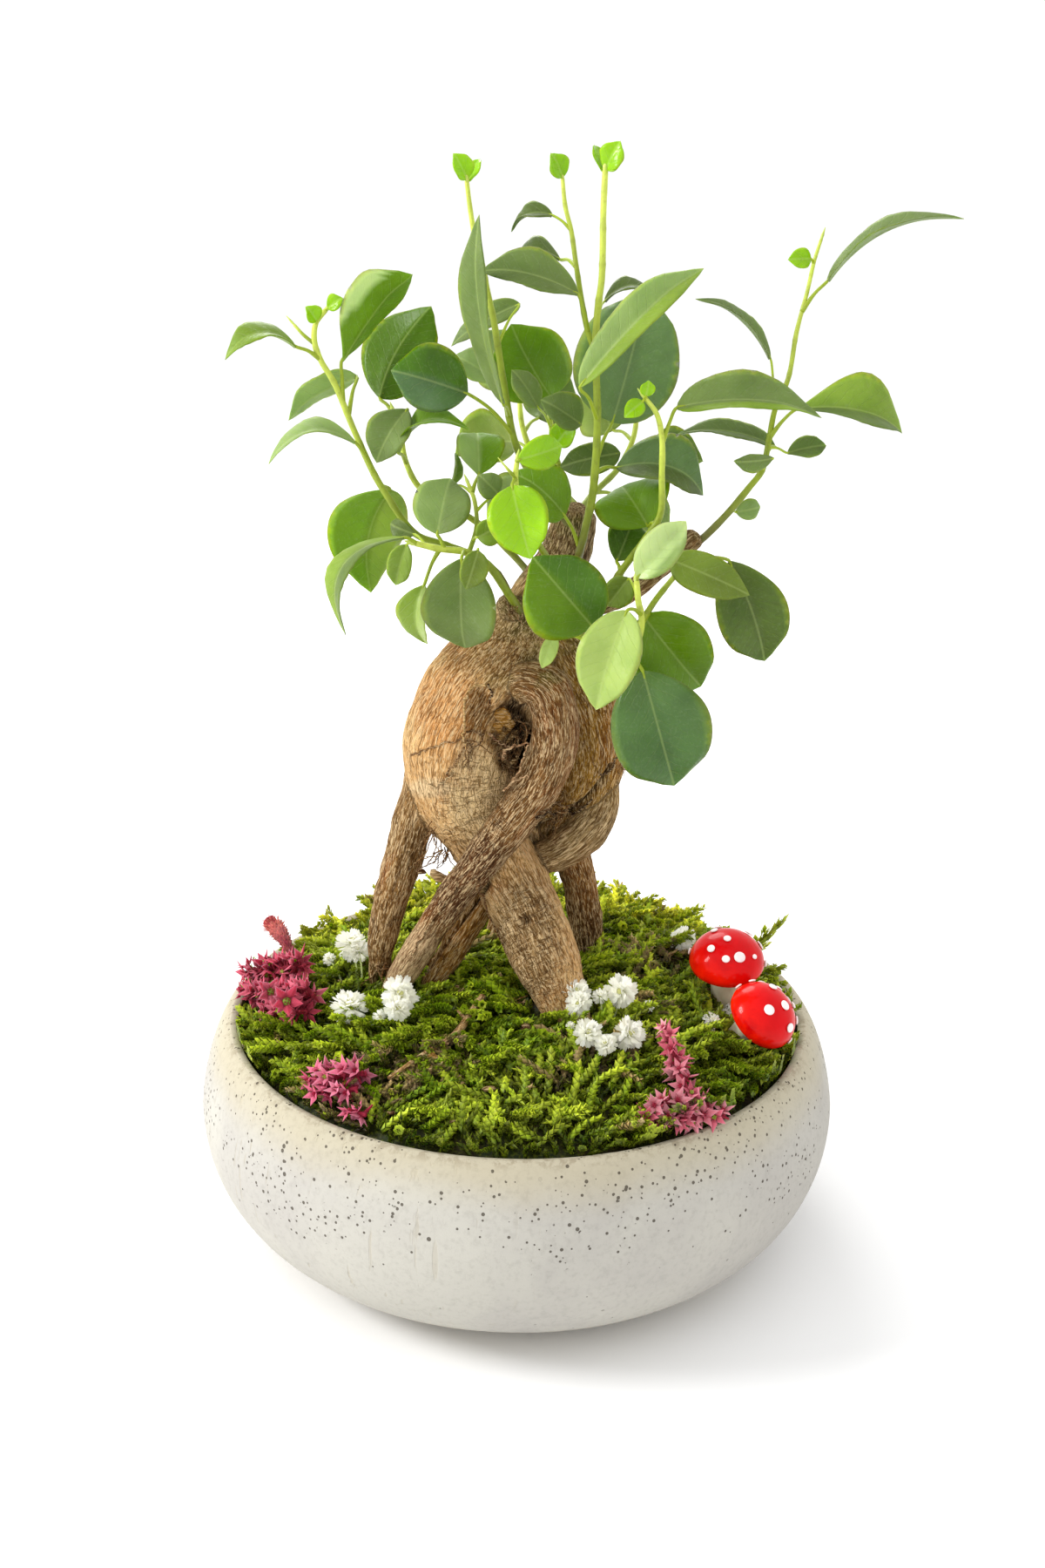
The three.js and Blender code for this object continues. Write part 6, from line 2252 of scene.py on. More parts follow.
@dataclass(frozen=True)
class Leaf:
    """One leaf, from where it shows in the picture.

    Turn swings the upper face from the eye, arch bows the midrib towards the upper face, fold
    lifts the halves and sweep bows the midrib to the side. Widest is the share of the length at
    which the blade is widest, or 0 to draw it. Other is the look of the half to the right of the
    midrib, from a seam on, as the upper face is seen with its tip up. The two looks paint the
    halves' own colours and also the painted light and shade that fall unevenly on a folded leaf.
    """

    stalk: Point
    base: Point
    tip: Point
    depth: Point
    width: float
    look: Look
    turn: float = 0.0
    arch: float = 0.05
    fold: float = 17.0
    sweep: float = 0.0
    widest: float = 0.0
    other: Look | None = None
    seam: float = 0.0

    rows: int = 22
    columns: int = 10
    thickness: float = 0.45
    ripple_depth: float = 0.045
    curl_depth: float = 0.1
    vein_depth: float = 0.1
    rib_width: float = 0.9
    rib_dent: float = 0.2
    rib_swell: float = 0.32

    def frame(self) -> tuple[Array, Array, Array, Array, float]:
        """Base, direction, face, across and length of the blade.

        Returns:
            The base, three directions and the length.
        """
        base = EYE.seen(*self.base, self.depth[0])
        tip = EYE.seen(*self.tip, self.depth[1])
        length = float(np.linalg.norm(tip - base))
        line = (tip - base) / length
        face = unit(EYE_PLACE - (base + tip) / 2)
        face = unit(face - line * (face @ line))
        angle = math.radians(self.turn)
        face = face * math.cos(angle) + np.cross(line, face) * math.sin(angle)
        return base, line, face, np.cross(line, face), length

    def blade(self, skin: Skin, seed: int) -> None:
        """Adds the blade to a skin.

        Args:
            skin: The skin to add to.
            seed: What makes this leaf different from the others.
        """
        draw = np.random.default_rng(seed)
        base, line, face, across, length = self.frame()
        along = (np.linspace(0.012, 1, self.rows) ** 1.12)[:, None]
        side = np.linspace(-1, 1, self.columns + 1)[None, :]
        widest = self.widest or draw.uniform(0.40, 0.52)
        half = ((along / widest) ** (0.7 * widest / (1 - widest))
                * ((1 - along) / (1 - widest)) ** 0.7) * self.width / 2
        half = half * (1 - 0.26 * smooth(along, 0.76, 0.95))
        half = half * (1 + draw.uniform(-0.08, 0.08) * side)
        fold = math.radians(self.fold)
        bow = 4 * along * (1 - along)
        wave = np.sin(along * draw.uniform(7, 10) + draw.uniform(0, 6) + np.sign(side) * 0.9)
        ripple = self.ripple_depth * self.width * wave * np.abs(side) ** 1.6 * bow
        curl = self.curl_depth * half * (np.abs(side) ** 2.6) * draw.uniform(-0.6, 1.0)
        twist = draw.uniform(-0.5, 0.5) * (along - 0.4) * half * side
        lift = np.abs(side) * half * math.sin(fold) + ripple - curl + twist
        reach = side * half * math.cos(fold)
        middle = np.exp(-(side * half / self.rib_width) ** 2)
        slant = along * length - VEIN_SLANT * np.abs(side) * half
        vein = self.vein_depth * np.cos(slant * FULL_TURN / VEIN_STEP) * (1 - middle) * bow
        slope = 1 - 2 * along
        tangent = unit(line + face * self.arch * 4 * slope + across * self.sweep * 4 * slope)
        normal = unit(np.cross(across, tangent))
        curl_back = draw.uniform(0.0, 0.07) * smooth(along, 0.6, 1.0) ** 2
        rib = (base + line * length * along + face * (self.arch * bow - curl_back) * length
               + across * self.sweep * length * bow)
        middle_skin = (rib[:, None] + across * reach[..., None]
                       + face * (lift - self.rib_dent * middle + vein)[..., None])
        edge = np.clip((1 - np.abs(side)) * 6, 0, 1) ** 0.5 * np.ones_like(half)
        thick = self.thickness / 2 * edge * np.clip((1 - along) * 14, 0.25, 1)
        swell = self.rib_swell * middle * np.clip(1 - along * 0.75, 0.1, 1)
        top = middle_skin + normal[:, None] * thick[..., None]
        under = middle_skin - normal[:, None] * (thick + swell)[..., None]
        ring = np.concatenate([top, under[:, -2:0:-1]], axis=1)
        places = np.vstack([ring.reshape(-1, 3), rib[0] - line * 0.3, rib[-1] + line * 0.25])
        blade_side = np.concatenate([side * half, (side * half)[:, -2:0:-1]], axis=1)
        rough = self.look.value[3] * draw.uniform(0.85, 1.15)
        blade = np.stack([blade_side, along * length + np.zeros_like(blade_side),
                          np.full_like(blade_side, rough)], axis=-1).reshape(-1, 3)
        blade = np.vstack([blade, [0, 0, rough], [0, length, rough]])
        tint = self.tints(ring, along, blade_side / max(self.width, 1), draw)
        skin.add(places, closed_faces(self.rows, ring.shape[1]), blade=blade,
                 tint=np.vstack([tint, tint[:1], tint[-1:]]))

    def tints(self, ring: Array, along: Array, side: Array, draw: Draws) -> Array:
        """Colour of each place of the blade's rings.

        Args:
            ring: The places, row by row.
            along: Share along the blade of each row.
            side: Share of the width from the midrib.
            draw: The draws to use.

        Returns:
            A colour for each place.
        """
        upper, under, uneven, _ = self.look.value
        tops = np.zeros(ring.shape[1], bool)
        tops[:self.columns + 1] = True
        tone = np.where(tops[None, :, None], np.array(upper), np.array(under))
        if self.other:
            beyond = smooth(side, self.seam - 0.02, self.seam + 0.05)[..., None]
            half = np.where(tops[None, :, None], *map(np.array, self.other.value[:2]))
            tone = blend(tone, half, beyond)
        patch = clouds(ring.reshape(-1, 3), 9.0, int(draw.integers(1, 900)))
        patch = patch.reshape(ring.shape[:2])[..., None]
        tone = tone * (1 + patch * uneven) * draw.uniform(0.88, 1.12)
        # painted highlight: the thin yellow-green rim along the edge, over the leaf's own slightly
        # paler edge
        edge = np.clip(np.abs(side) * 2, 0, 1)[..., None] ** 14
        return blend(tone, rgb(176, 190, 60),
                     0.25 * edge + 0.05 * (1 - along)[..., None] ** 6).reshape(-1, 3)

    def stalk_line(self, stems: Sequence[tuple[Array, Array]]) -> tuple[Array, Array]:
        """The leaf stalk's centre line, from inside the stem that shows nearest.

        Args:
            stems: Each stem's line and radii.

        Returns:
            The places and their radii.
        """
        best, start = math.inf, None
        for line, _ in stems:
            far = np.hypot(*(EYE.shown(line) - np.array(self.stalk)).T)
            if far.min() < best:
                best, start = far.min(), line[far.argmin()]
        base, line, face, _, length = self.frame()
        bend = (start + base) / 2
        bend[2] += min(1.5, float(np.linalg.norm(base - start)) * 0.08)
        after = base + line * length * 0.06 + face * self.arch * length * 0.2
        radius = 0.5 if self.width > 9 else 0.36
        return line_through([start, bend, base, after],
                            [radius * 1.5, radius, radius * 0.95, radius * 0.55], 14)


@dataclass(frozen=True)
class Shoot:
    """One leafy stem: its stems and its leaves."""

    stems: tuple[Stem, ...]
    leaves: dict[str, Leaf]
    root_tone: Colour = rgb(104, 100, 36)
    stem_tone: Colour = rgb(138, 156, 22)
    tip_tone: Colour = rgb(202, 216, 84)
    node_step: float = 9.5

    def build(self, name: str, seed: int, finishes: Finishes) -> None:
        """Builds the shoot's leaves and its stems in place of its plain solid.

        Args:
            name: The CAD node that they stand for.
            seed: What makes this shoot different from the others.
            finishes: The finishes.
        """
        lines = [stem.line() for stem in self.stems]
        wood = Skin()
        for index, (line, radii) in enumerate(lines):
            self.stem(wood, line, radii, index == 0, seed + index)
        blades = Skin()
        for index, leaf in enumerate(self.leaves.values()):
            leaf.blade(blades, seed * 100 + index)
            wood.add(*tube(*leaf.stalk_line(lines), 8),
                     tint=np.array(self.stem_tone) * (1.2 if leaf.width > 9 else 1.5))
        leaves = blades.piece(f"{name}_leaves", finishes.leaf)
        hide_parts(name)
        wood.piece(f"{name}_stems", finishes.stalk)

    def stem(self, skin: Skin, line: Array, radii: Array, main: bool, seed: int) -> None:
        """Adds one stem, with the rings where leaves once stood and a pointed bud at its end.

        Args:
            skin: The skin to add to.
            line: Its centre line.
            radii: The radius along it.
            main: Whether it is the shoot's main stem, which is woody at its foot.
            seed: What makes this stem different from the others.
        """
        count, sides = len(line), 12
        run = np.linspace(0, 1, count)
        length = np.linalg.norm(np.diff(line, axis=0), axis=1).sum()
        node = np.abs((run * length / self.node_step + seed * 0.37) % 1 - 0.5) * self.node_step
        swell = 0.11 * np.exp(-(node / 0.8) ** 2)
        bumps = clouds(line, 5.0, seed)[:, None] * 0.08 * np.ones((1, sides))
        places, faces = tube(line, radii * (1 + swell), sides, bumps)
        foot = self.root_tone if main else self.stem_tone
        tone = blend(foot, self.stem_tone, smooth(run, 0.02, 0.3)[:, None])
        tone = blend(tone, self.tip_tone, smooth(run, 0.4, 1.0)[:, None])
        tone = tone * (1 - 1.3 * swell)[:, None]
        tone = np.repeat(tone, sides, axis=0)
        tone = tone * (1 + 0.25 * clouds(places[:-2], 3.0, seed + 9))[:, None]
        skin.add(places, faces, tint=np.vstack([tone, tone[:1], tone[-1:]]))
        heading = unit(line[-1] - line[-3])
        bud = line_through([line[-1] - heading, line[-1] + heading * 1.2, line[-1] + heading * 3.4],
                           [radii[-1] * 0.8, radii[-1] * 0.95, 0.1], 9)
        skin.add(*tube(*bud, 8), tint=rgb(196, 212, 96))


SHOOTS = {
    "shoot_far_left": Shoot((
        Stem(((588, 690, -6), (572, 660, -10), (548, 640, -14), (512, 626, -15), (480, 615, -14),
              (465, 600, -13), (445, 570, -12), (430, 545, -10), (407, 495, -8), (384, 440, -5),
              (368, 413, -4), (361, 392, -3), (363, 370, -3), (374, 356, -3)), (1.5, 0.9)),
        Stem(((360, 394, -3), (348, 384, -2), (338, 373, -1)), (0.7, 0.5)),
    ), {
        "arched_tip": Leaf((368, 413), (340, 398), (258, 408), (-6, -12), 13, Look.FRESH, 66, 0.26),
        "tall_folded": Leaf((393, 460), (392, 415), (468, 311), (-3, 2), 23, Look.BACKLIT, -132,
            0.04, 18, widest=0.66, other=Look.WHITE_SHEEN, seam=0.24),
        "pale_behind": Leaf((400, 478), (410, 432), (329, 478), (6, 2), 11, Look.SAGE, 132, 0.08),
        "low_arch": Leaf((430, 545), (408, 508), (308, 530), (-13, -21), 13, Look.SAGE, 66, 0.25),
        "round_backlit": Leaf((438, 560), (448, 562), (424, 677), (-7, -1), 25, Look.BACKLIT, 160,
            0.1, sweep=-0.08, other=Look.SHADED_GREEN),
        "young_round": Leaf((363, 372), (364, 369), (352, 352), (-4, -6), 5.5, Look.YOUNG, 20),
        "young_tip": Leaf((374, 356), (376, 354), (393, 342), (-4, -6), 5, Look.YOUNG, -20),
    }),
    "shoot_left_back": Shoot((
        Stem(((622, 676, 4), (592, 640, 10), (556, 606, 10), (520, 582, 6), (482, 560, 1),
              (466, 530, 1), (460, 500, 3), (452, 474, 6)), (1.4, 0.9)),
    ), {
        "backlit_upright": Leaf((454, 480), (436, 457), (496, 353), (12, 20), 22, Look.SHADOWED,
            165, 0.06, sweep=0.1),
        "cupped_pale": Leaf((461, 505), (468, 470), (432, 531), (-6, -12), 13.5, Look.DUSTY, 25,
            0.12),
        "dark_arch": Leaf((466, 530), (457, 519), (538, 490), (-7, -12), 12, Look.BACKLIT, -70,
            0.27),
    }),
    "shoot_left_low": Shoot((
        Stem(((602, 708, -8), (580, 676, -17), (560, 648, -22), (536, 634, -24), (505, 630, -25),
              (478, 624, -26)), (1.6, 1.1)),
        Stem(((538, 636, -24), (547, 606, -20), (545, 575, -16), (538, 556, -13)), (0.9, 0.7)),
    ), {
        "long_hooked": Leaf((480, 624), (465, 617), (393, 727), (-28, -34), 12.5, Look.DUSTY, 66,
            0.34, 10, other=Look.SHADED_GREEN),
        "small_down": Leaf((484, 626), (467, 625), (454, 672), (-23, -22), 8.5, Look.SHADED_GREEN, 20,
            fold=24),
        "dark_sliver": Leaf((490, 627), (476, 613), (447, 601), (-21, -17), 6, Look.DEEP, -20),
        "dusty_upright": Leaf((510, 630), (502, 613), (517, 548), (-25, -16), 17, Look.SAGE, -8,
            0.1, other=Look.DUSTY),
        "edge_on": Leaf((541, 566), (520, 556), (524, 520), (-8, -4), 6, Look.FRESH, 70),
        "olive_folded": Leaf((542, 566), (550, 545), (548, 494), (-9, 3), 15, Look.SAGE, 8, fold=24,
            other=Look.BACKLIT),
        "dusty_small": Leaf((546, 585), (572, 567), (550, 545), (-15, -16), 8, Look.DUSTY, 10),
        "pale_stub": Leaf((545, 618), (548, 617), (577, 601), (-27, -28), 8, Look.FRESH, 10),
        "large_hanging": Leaf((530, 634), (530, 641), (533, 747), (-31, -27), 22, Look.DUSTY, 10,
            0.12, other=Look.DUSTY),
        "small_oval": Leaf((545, 640), (549, 632), (535, 677), (-37, -38), 8, Look.OLIVE, -8),
        "pale_crescent": Leaf((505, 631), (487, 672), (489, 740), (-20, -20), 12, Look.PALE, 42,
            0.2, other=Look.SHADED_GREEN),
    }),
    "shoot_front_young": Shoot((
        Stem(((640, 660, -4), (628, 640, -18), (608, 606, -29), (594, 570, -34), (592, 545, -36),
              (594, 529, -37)), (1.3, 0.9)),
        Stem(((592, 548, -36), (586, 542, -37), (580, 535, -38)), (0.8, 0.4)),
    ), {
        "bright_hanging": Leaf((592, 552), (588, 558), (609, 642), (-41, -46), 17, Look.YOUNG, 4,
            0.14),
        "young_top": Leaf((594, 530), (595, 528), (647, 511), (-39, -32), 9.5, Look.YOUNG, 8, 0.08),
    }),
    "shoot_tall": Shoot((
        Stem(((661, 652, 0), (666, 632, -9), (673, 603, -12), (680, 570, -13), (684, 530, -14),
              (686, 480, -14), (684, 395, -13), (687, 350, -12), (691, 320, -12), (693, 240, -11),
              (695, 196, -10)), (1.7, 1)),
        Stem(((685, 408, -13), (675, 380, -10), (668, 345, -8), (661, 300, -6), (656, 265, -5),
              (649, 236, -4), (646, 205, -3)), (1.1, 0.7)),
    ), {
        "dark_level": Leaf((676, 384), (664, 338), (553, 309), (-12, -13), 14.5, Look.DUSTY, 46,
            0.1),
        "high_arch": Leaf((662, 305), (643, 298), (590, 303), (4, 8), 11, Look.DEEP, 66, 0.26),
        "crop_edge": Leaf((656, 265), (634, 247), (586, 263), (-3, -1), 9, Look.DEEP, 66, 0.2),
        "long_diagonal": Leaf((686, 482), (666, 444), (806, 302), (-26, -16), 12.5, Look.SAGE, -28,
            0.07, 28, other=Look.SHADED_GREEN),
        "round_dusty": Leaf((685, 530), (703, 485), (743, 333), (-4, 6), 31, Look.MATTE, 8, 0.08),
        "short_arch": Leaf((686, 372), (694, 346), (751, 337), (10, 12), 9, Look.DEEP, -66, 0.24),
        "dark_low": Leaf((666, 632), (648, 592), (590, 541), (-16, -18), 17, Look.BACKLIT, 30,
            0.12),
        "shadowed_hook": Leaf((684, 545), (708, 537), (809, 566), (-5, -4), 18, Look.MATTE, -38,
            0.27, other=Look.DEEP),
        "crown_bud_left": Leaf((646, 207), (646, 204), (634, 176), (-3, -5), 7, Look.YOUNG, 30),
        "crown_bud_right": Leaf((695, 198), (696, 195), (712, 162), (-10, -12), 8, Look.YOUNG, -30),
        "crown_bud_back": Leaf((695, 200), (693, 196), (683, 166), (-9, -4), 6, Look.YOUNG, 40),
    }),
    "shoot_centre": Shoot((
        Stem(((664, 612, 8), (655, 582, 13), (644, 545, 13), (636, 510, 11),
              (631, 476, 10)), (1.4, 0.9)),
    ), {
        "backlit_olive": Leaf((632, 482), (632, 456), (586, 373), (8, 14), 27, Look.BACKLIT, -160,
            0.08),
        "grey_behind": Leaf((633, 490), (618, 468), (589, 424), (2, 2), 9, Look.DUSTY, 30),
        "dusty_level": Leaf((637, 512), (667, 487), (622, 458), (-1, -3), 11, Look.DUSTY, 20),
        "bright_small": Leaf((636, 510), (638, 510), (661, 483), (0, -2), 8, Look.YOUNG, -10),
        "dark_wings": Leaf((642, 540), (712, 520), (641, 536), (0, 2), 10, Look.DEEP, 12, 0.08),
    }),
    "shoot_top_left": Shoot((
        Stem(((656, 606, 0), (634, 576, 0), (610, 545, 0), (592, 510, 1), (580, 450, 3),
              (572, 400, 4), (567, 368, 5), (560, 335, 6), (553, 300, 6), (545, 270, 7),
              (540, 240, 7), (536, 208, 7)), (1.6, 0.8)),
    ), {
        "tall_narrow": Leaf((584, 478), (578, 464), (546, 248), (-10, -20), 13, Look.DUSTY, -58,
            0.06),
        "dark_glossy": Leaf((590, 500), (537, 452), (449, 425), (-6, -10), 20, Look.SHEEN, 12, 0.08,
            other=Look.GLOSSY),
        "pale_back": Leaf((572, 398), (597, 349), (517, 396), (15, 19), 9, Look.DUSTY, 40, 0.06),
        "pale_low": Leaf((580, 448), (571, 437), (521, 407), (9, 15), 10, Look.SAGE, 20),
        "crown_bud": Leaf((536, 210), (536, 206), (521, 176), (7, 5), 7, Look.YOUNG, 30),
        "crown_bud_back": Leaf((537, 212), (538, 207), (551, 182), (8, 12), 6, Look.YOUNG, -40),
    }),
    "shoot_mid_right": Shoot((
        Stem(((694, 692, -4), (712, 658, -14), (740, 620, -19), (758, 592, -21), (760, 545, -21),
              (760, 502, -20), (754, 475, -19), (741, 457, -18)), (1.5, 0.8)),
    ), {
        "long_level": Leaf((760, 508), (777, 468), (944, 474), (-15, -18), 17, Look.DUSTY, -52,
            0.09, other=Look.FRESH, seam=0.1),
        "young_left": Leaf((742, 459), (738, 461), (717, 479), (-19, -21), 5.5, Look.YOUNG, 10),
        "young_up": Leaf((742, 458), (742, 455), (745, 437), (-19, -20), 4.5, Look.YOUNG, 10),
        "broad_olive": Leaf((752, 602), (744, 604), (713, 557), (-12, 0), 24, Look.BACKLIT, 10,
            0.1),
        "dark_upright": Leaf((712, 658), (708, 644), (728, 594), (-10, -2), 12.5, Look.SHADOWED, 8),
    }),
    "shoot_right": Shoot((
        Stem(((788, 630, -9), (802, 622, -9), (835, 590, -8), (860, 560, -6), (875, 540, -5),
              (883, 505, -3), (890, 470, -1), (905, 435, 1), (915, 380, 4), (927, 335, 6),
              (935, 300, 7), (943, 275, 8)), (1.5, 0.6)),
    ), {
        "waved_right": Leaf((884, 505), (914, 470), (1038, 494), (-4, 0), 20, Look.SHADED_GREEN, -42, 0.14,
            26, widest=0.62, other=Look.DUSTY),
        "thin_left": Leaf((890, 468), (885, 412), (804, 338), (6, 2), 9, Look.DUSTY, 74, 0.1),
        "long_thin": Leaf((926, 358), (950, 323), (1106, 249), (5, -2), 12, Look.DUSTY, -76, 0.15),
        "young_left": Leaf((934, 300), (931, 297), (905, 298), (6, 4), 6, Look.YOUNG, 10),
        "level_left": Leaf((880, 520), (890, 513), (777, 497), (4, 2), 10, Look.DUSTY, 58, 0.1),
        "small_right": Leaf((882, 512), (904, 520), (949, 511), (0, 2), 7.5, Look.DUSTY, -30, 0.05),
        "small_pale": Leaf((874, 542), (888, 526), (843, 530), (-10, -12), 6, Look.DUSTY, -30),
        "small_low": Leaf((838, 588), (845, 588), (874, 582), (0, 3), 6.5, Look.SAGE, 10),
    }),
    "shoot_lower_right": Shoot((
        Stem(((630, 704, -2), (648, 714, -10), (664, 728, -22), (686, 742, -32), (712, 744, -37),
              (731, 736, -38), (737, 714, -37), (733, 690, -34), (731, 668, -31)), (1.5, 1.1)),
        Stem(((736, 716, -37), (752, 690, -30), (780, 655, -22), (792, 640, -18)), (1.2, 0.9)),
    ), {
        "glossy_up": Leaf((731, 670), (732, 663), (788, 598), (-31, -28), 12, Look.WHITE_SHEEN, -8,
            fold=20, other=Look.SAGE, seam=0.25),
        "big_round": Leaf((710, 744), (681, 720), (612, 640), (-37, -38), 25, Look.BACKLIT, 0, 0.08,
            other=Look.GLOSSY),
        "bright_hanging": Leaf((735, 706), (720, 701), (684, 815), (-45, -50), 18, Look.PALE, 12,
            0.12),
        "tiny_on_neck": Leaf((684, 741), (637, 728), (622, 768), (-30, -29), 5, Look.PALE, 0),
        "olive_behind": Leaf((733, 690), (722, 664), (697, 696), (-24, -20), 9, Look.OLIVE, 0),
        "level_right": Leaf((780, 655), (771, 643), (861, 683), (-22, -26), 12.5, Look.OLIVE, -12,
            0.06),
        "dark_right": Leaf((790, 642), (838, 644), (878, 760), (-15, -16), 21, Look.DEEP, 6, 0.07,
            sweep=-0.05, widest=0.5),
        "round_behind": Leaf((737, 712), (738, 706), (806, 790), (-33, -27), 25, Look.BACKLIT, 6,
            0.08),
        "big_front": Leaf((714, 745), (738, 770), (775, 905), (-41, -42), 29, Look.BLUISH, 0, 0.08,
            widest=0.47),
    }),
    "shoot_back": Shoot((
        Stem(((660, 600, 8), (664, 586, 22), (646, 564, 30), (616, 530, 36), (600, 490, 38),
              (596, 450, 40)), (1.7, 0.9)),
        Stem(((664, 588, 20), (682, 566, 30), (712, 535, 38), (728, 500, 42),
              (732, 460, 44)), (1.4, 0.9)),
    ), {
        "left_low": Leaf((638, 566), (612, 568), (560, 600), (34, 44), 19, Look.DEEP, 160, 0.1),
        "left_middle": Leaf((612, 520), (590, 506), (524, 520), (42, 50), 20, Look.OLIVE, 150,
            0.12),
        "left_behind": Leaf((602, 496), (618, 480), (652, 430), (48, 60), 20, Look.DEEP, 170, 0.1),
        "left_top": Leaf((596, 452), (590, 440), (548, 380), (42, 48), 20, Look.DUSTY, 165, 0.1),
        "right_low": Leaf((688, 570), (716, 574), (768, 610), (38, 46), 19, Look.DUSTY, -160, 0.1),
        "right_middle": Leaf((716, 532), (740, 524), (806, 528), (44, 52), 18, Look.DEEP, -155,
            0.12),
        "right_behind": Leaf((726, 506), (704, 494), (672, 440), (54, 66), 20, Look.OLIVE, 170,
            0.1),
        "right_top": Leaf((732, 462), (736, 450), (760, 380), (48, 54), 20, Look.DEEP, -165, 0.1),
    }),
}


@dataclass(frozen=True)
class BreathHead:
    """One head of baby's breath: where it shows, its radius and its height over the moss."""

    x: float
    y: float
    radius: float
    lift: float
    seed: int


BREATH_GROUPS = {
    "breath_left": (BreathHead(404, 1085, 5.6, 8.6, 11), BreathHead(401, 1156, 5.6, 7.6, 12),
                    BreathHead(458, 1142, 5.8, 8, 13), BreathHead(436, 1167, 2.2, 5, 14),
                    BreathHead(378, 1101, 2.2, 5, 15), BreathHead(412, 1092, 4, 7.4, 16),
                    BreathHead(456, 1158, 4, 6.6, 17)),
    "breath_right": (BreathHead(661, 1140, 4.8, 7.6, 21), BreathHead(713, 1138, 5.2, 7.6, 22),
                     BreathHead(675, 1186, 4.3, 6.6, 23), BreathHead(722, 1187, 5, 6.8, 24),
                     BreathHead(745, 1155, 1.8, 5, 25), BreathHead(664, 1152, 4.2, 6.4, 26),
                     BreathHead(689, 1144, 2.6, 6.6, 27), BreathHead(696, 1199, 3.4, 5.6, 28),
                     BreathHead(655, 1178, 1.5, 4.6, 29)),
    "breath_back": (BreathHead(784, 1078, 4.4, 5.6, 31),),
    "breath_mushroom": (BreathHead(817, 1172, 2.9, 4.6, 32),),
}


# Number of petals, lean and reach of each ring of a double flower.
PETAL_RINGS = ((6, 0.3, 0.5), (9, 0.62, 0.68), (12, 0.95, 0.82), (14, 1.3, 0.9), (13, 1.7, 0.88),
               (11, 2.2, 0.8))


def sphere_points(count: int) -> Array:
    """Directions spread evenly over a sphere.

    Args:
        count: How many.

    Returns:
        Rows of directions.
    """
    index = np.arange(count) + 0.5
    height = 1 - 2 * index / count
    out = np.sqrt(1 - height ** 2)
    turn = index * GOLDEN_TURN
    return np.stack([out * np.cos(turn), out * np.sin(turn), height], axis=1)


def square_pair(direction: Array) -> tuple[Array, Array]:
    """Two directions square to one, and to each other.

    Args:
        direction: The direction.

    Returns:
        The two directions.
    """
    other = np.array([0.0, 0, 1]) if abs(direction[2]) < 0.9 else np.array([1.0, 0, 0])
    first = unit(np.cross(direction, other))
    return first, np.cross(direction, first)


def knob(skin: Skin, centre: Array, radius: float, tone: object) -> None:
    """Adds a small ball.

    Args:
        skin: The skin to add to.
        centre: Its centre.
        radius: Its radius.
        tone: Its colour.
    """
    angles = np.linspace(-math.pi / 2, math.pi / 2, 8)
    profile = [(max(0.0, math.cos(angle)) * radius, math.sin(angle) * radius) for angle in angles]
    places, faces = turned(profile, 12)
    skin.add(places + centre, faces, tint=tone)


@dataclass
class BreathGroup:
    """A group of baby's breath: ruffled white heads on thin stalks out of one foot."""

    name: str
    heads: tuple[BreathHead, ...]
    moss: MossMat
    white: Colour = (0.99, 0.99, 0.93)
    shade: Colour = (0.86, 0.85, 0.68)
    heart: Colour = rgb(186, 186, 112)

    def build(self, finishes: Finishes) -> None:
        """Builds the group in place of its plain solid.

        Args:
            finishes: The finishes.
        """
        centres = [self.moss.over(head.x, head.y, head.lift) for head in self.heads]
        foot = self.moss.rooted(np.mean(centres, axis=0))
        skin = Skin(rounded=False)
        for head, centre in zip(self.heads, centres):
            self.head(skin, centre, head)
            self.stalk(skin, self.moss.rooted(foot * 0.4 + centre * 0.6), centre, 0.26)
        piece = skin.piece(f"{self.name}_flowers", finishes.white_petal)
        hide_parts(self.name)

    def stalk(self, skin: Skin, start: Array, end: Array, radius: float) -> None:
        """Adds a thin green stalk.

        Args:
            skin: The skin to add to.
            start: Where it starts.
            end: Where it ends.
            radius: Its radius.
        """
        middle = (start + end) / 2 + np.array([0.4, -0.3, 0.8])
        line, radii = line_through([start, middle, end], [radius * 1.3, radius, radius], 9)
        skin.add(*tube(line, radii, 6), tint=rgb(150, 164, 84))

    def head(self, skin: Skin, centre: Array, head: BreathHead) -> None:
        """Adds one double flower: a green heart in rings of ruffled petals.

        Args:
            skin: The skin to add to.
            centre: Its centre.
            head: Its size and seed.
        """
        draw = np.random.default_rng(head.seed)
        facing = unit(unit(EYE_PLACE - centre) * 0.7 + np.array([0, 0, 0.5])
                      + draw.normal(0, 0.3, 3))
        first, second = square_pair(facing)
        knob(skin, centre + facing * head.radius * 0.3, head.radius * 0.2, self.heart)
        for number, tilt, reach in PETAL_RINGS:
            number = number if head.radius > 3 else number - 3
            turn = (np.arange(number) + draw.uniform(0, 1)) / number * FULL_TURN
            turn = turn + draw.uniform(-0.2, 0.2, number)
            out = np.cos(turn)[:, None] * first + np.sin(turn)[:, None] * second
            lean = (tilt + draw.normal(0, 0.16, number))[:, None]
            heading = out * np.sin(lean) + facing * np.cos(lean)
            face = facing * np.sin(lean) - out * np.cos(lean) + draw.normal(0, 0.3, (number, 3))
            length = head.radius * reach * draw.uniform(0.82, 1.12, (number, 1))
            base = centre + heading * head.radius * 0.16
            tone = blend(self.white, self.shade, draw.uniform(0, 1, (number, 1)))
            rows = np.repeat(tone, len(ROUND_PETAL) + 2, axis=0)
            rows[::len(ROUND_PETAL) + 2] = np.array(self.heart) * 0.7
            skin.add(*lances(base, base + heading * length, face, head.radius * 0.36,
                             head.radius * 0.05, ROUND_PETAL), tint=rows)


@dataclass(frozen=True)
class StarSpike:
    """A spike crowded with star flowers, between two picture points."""

    start: Point
    end: Point
    lift: Point
    thick: Point


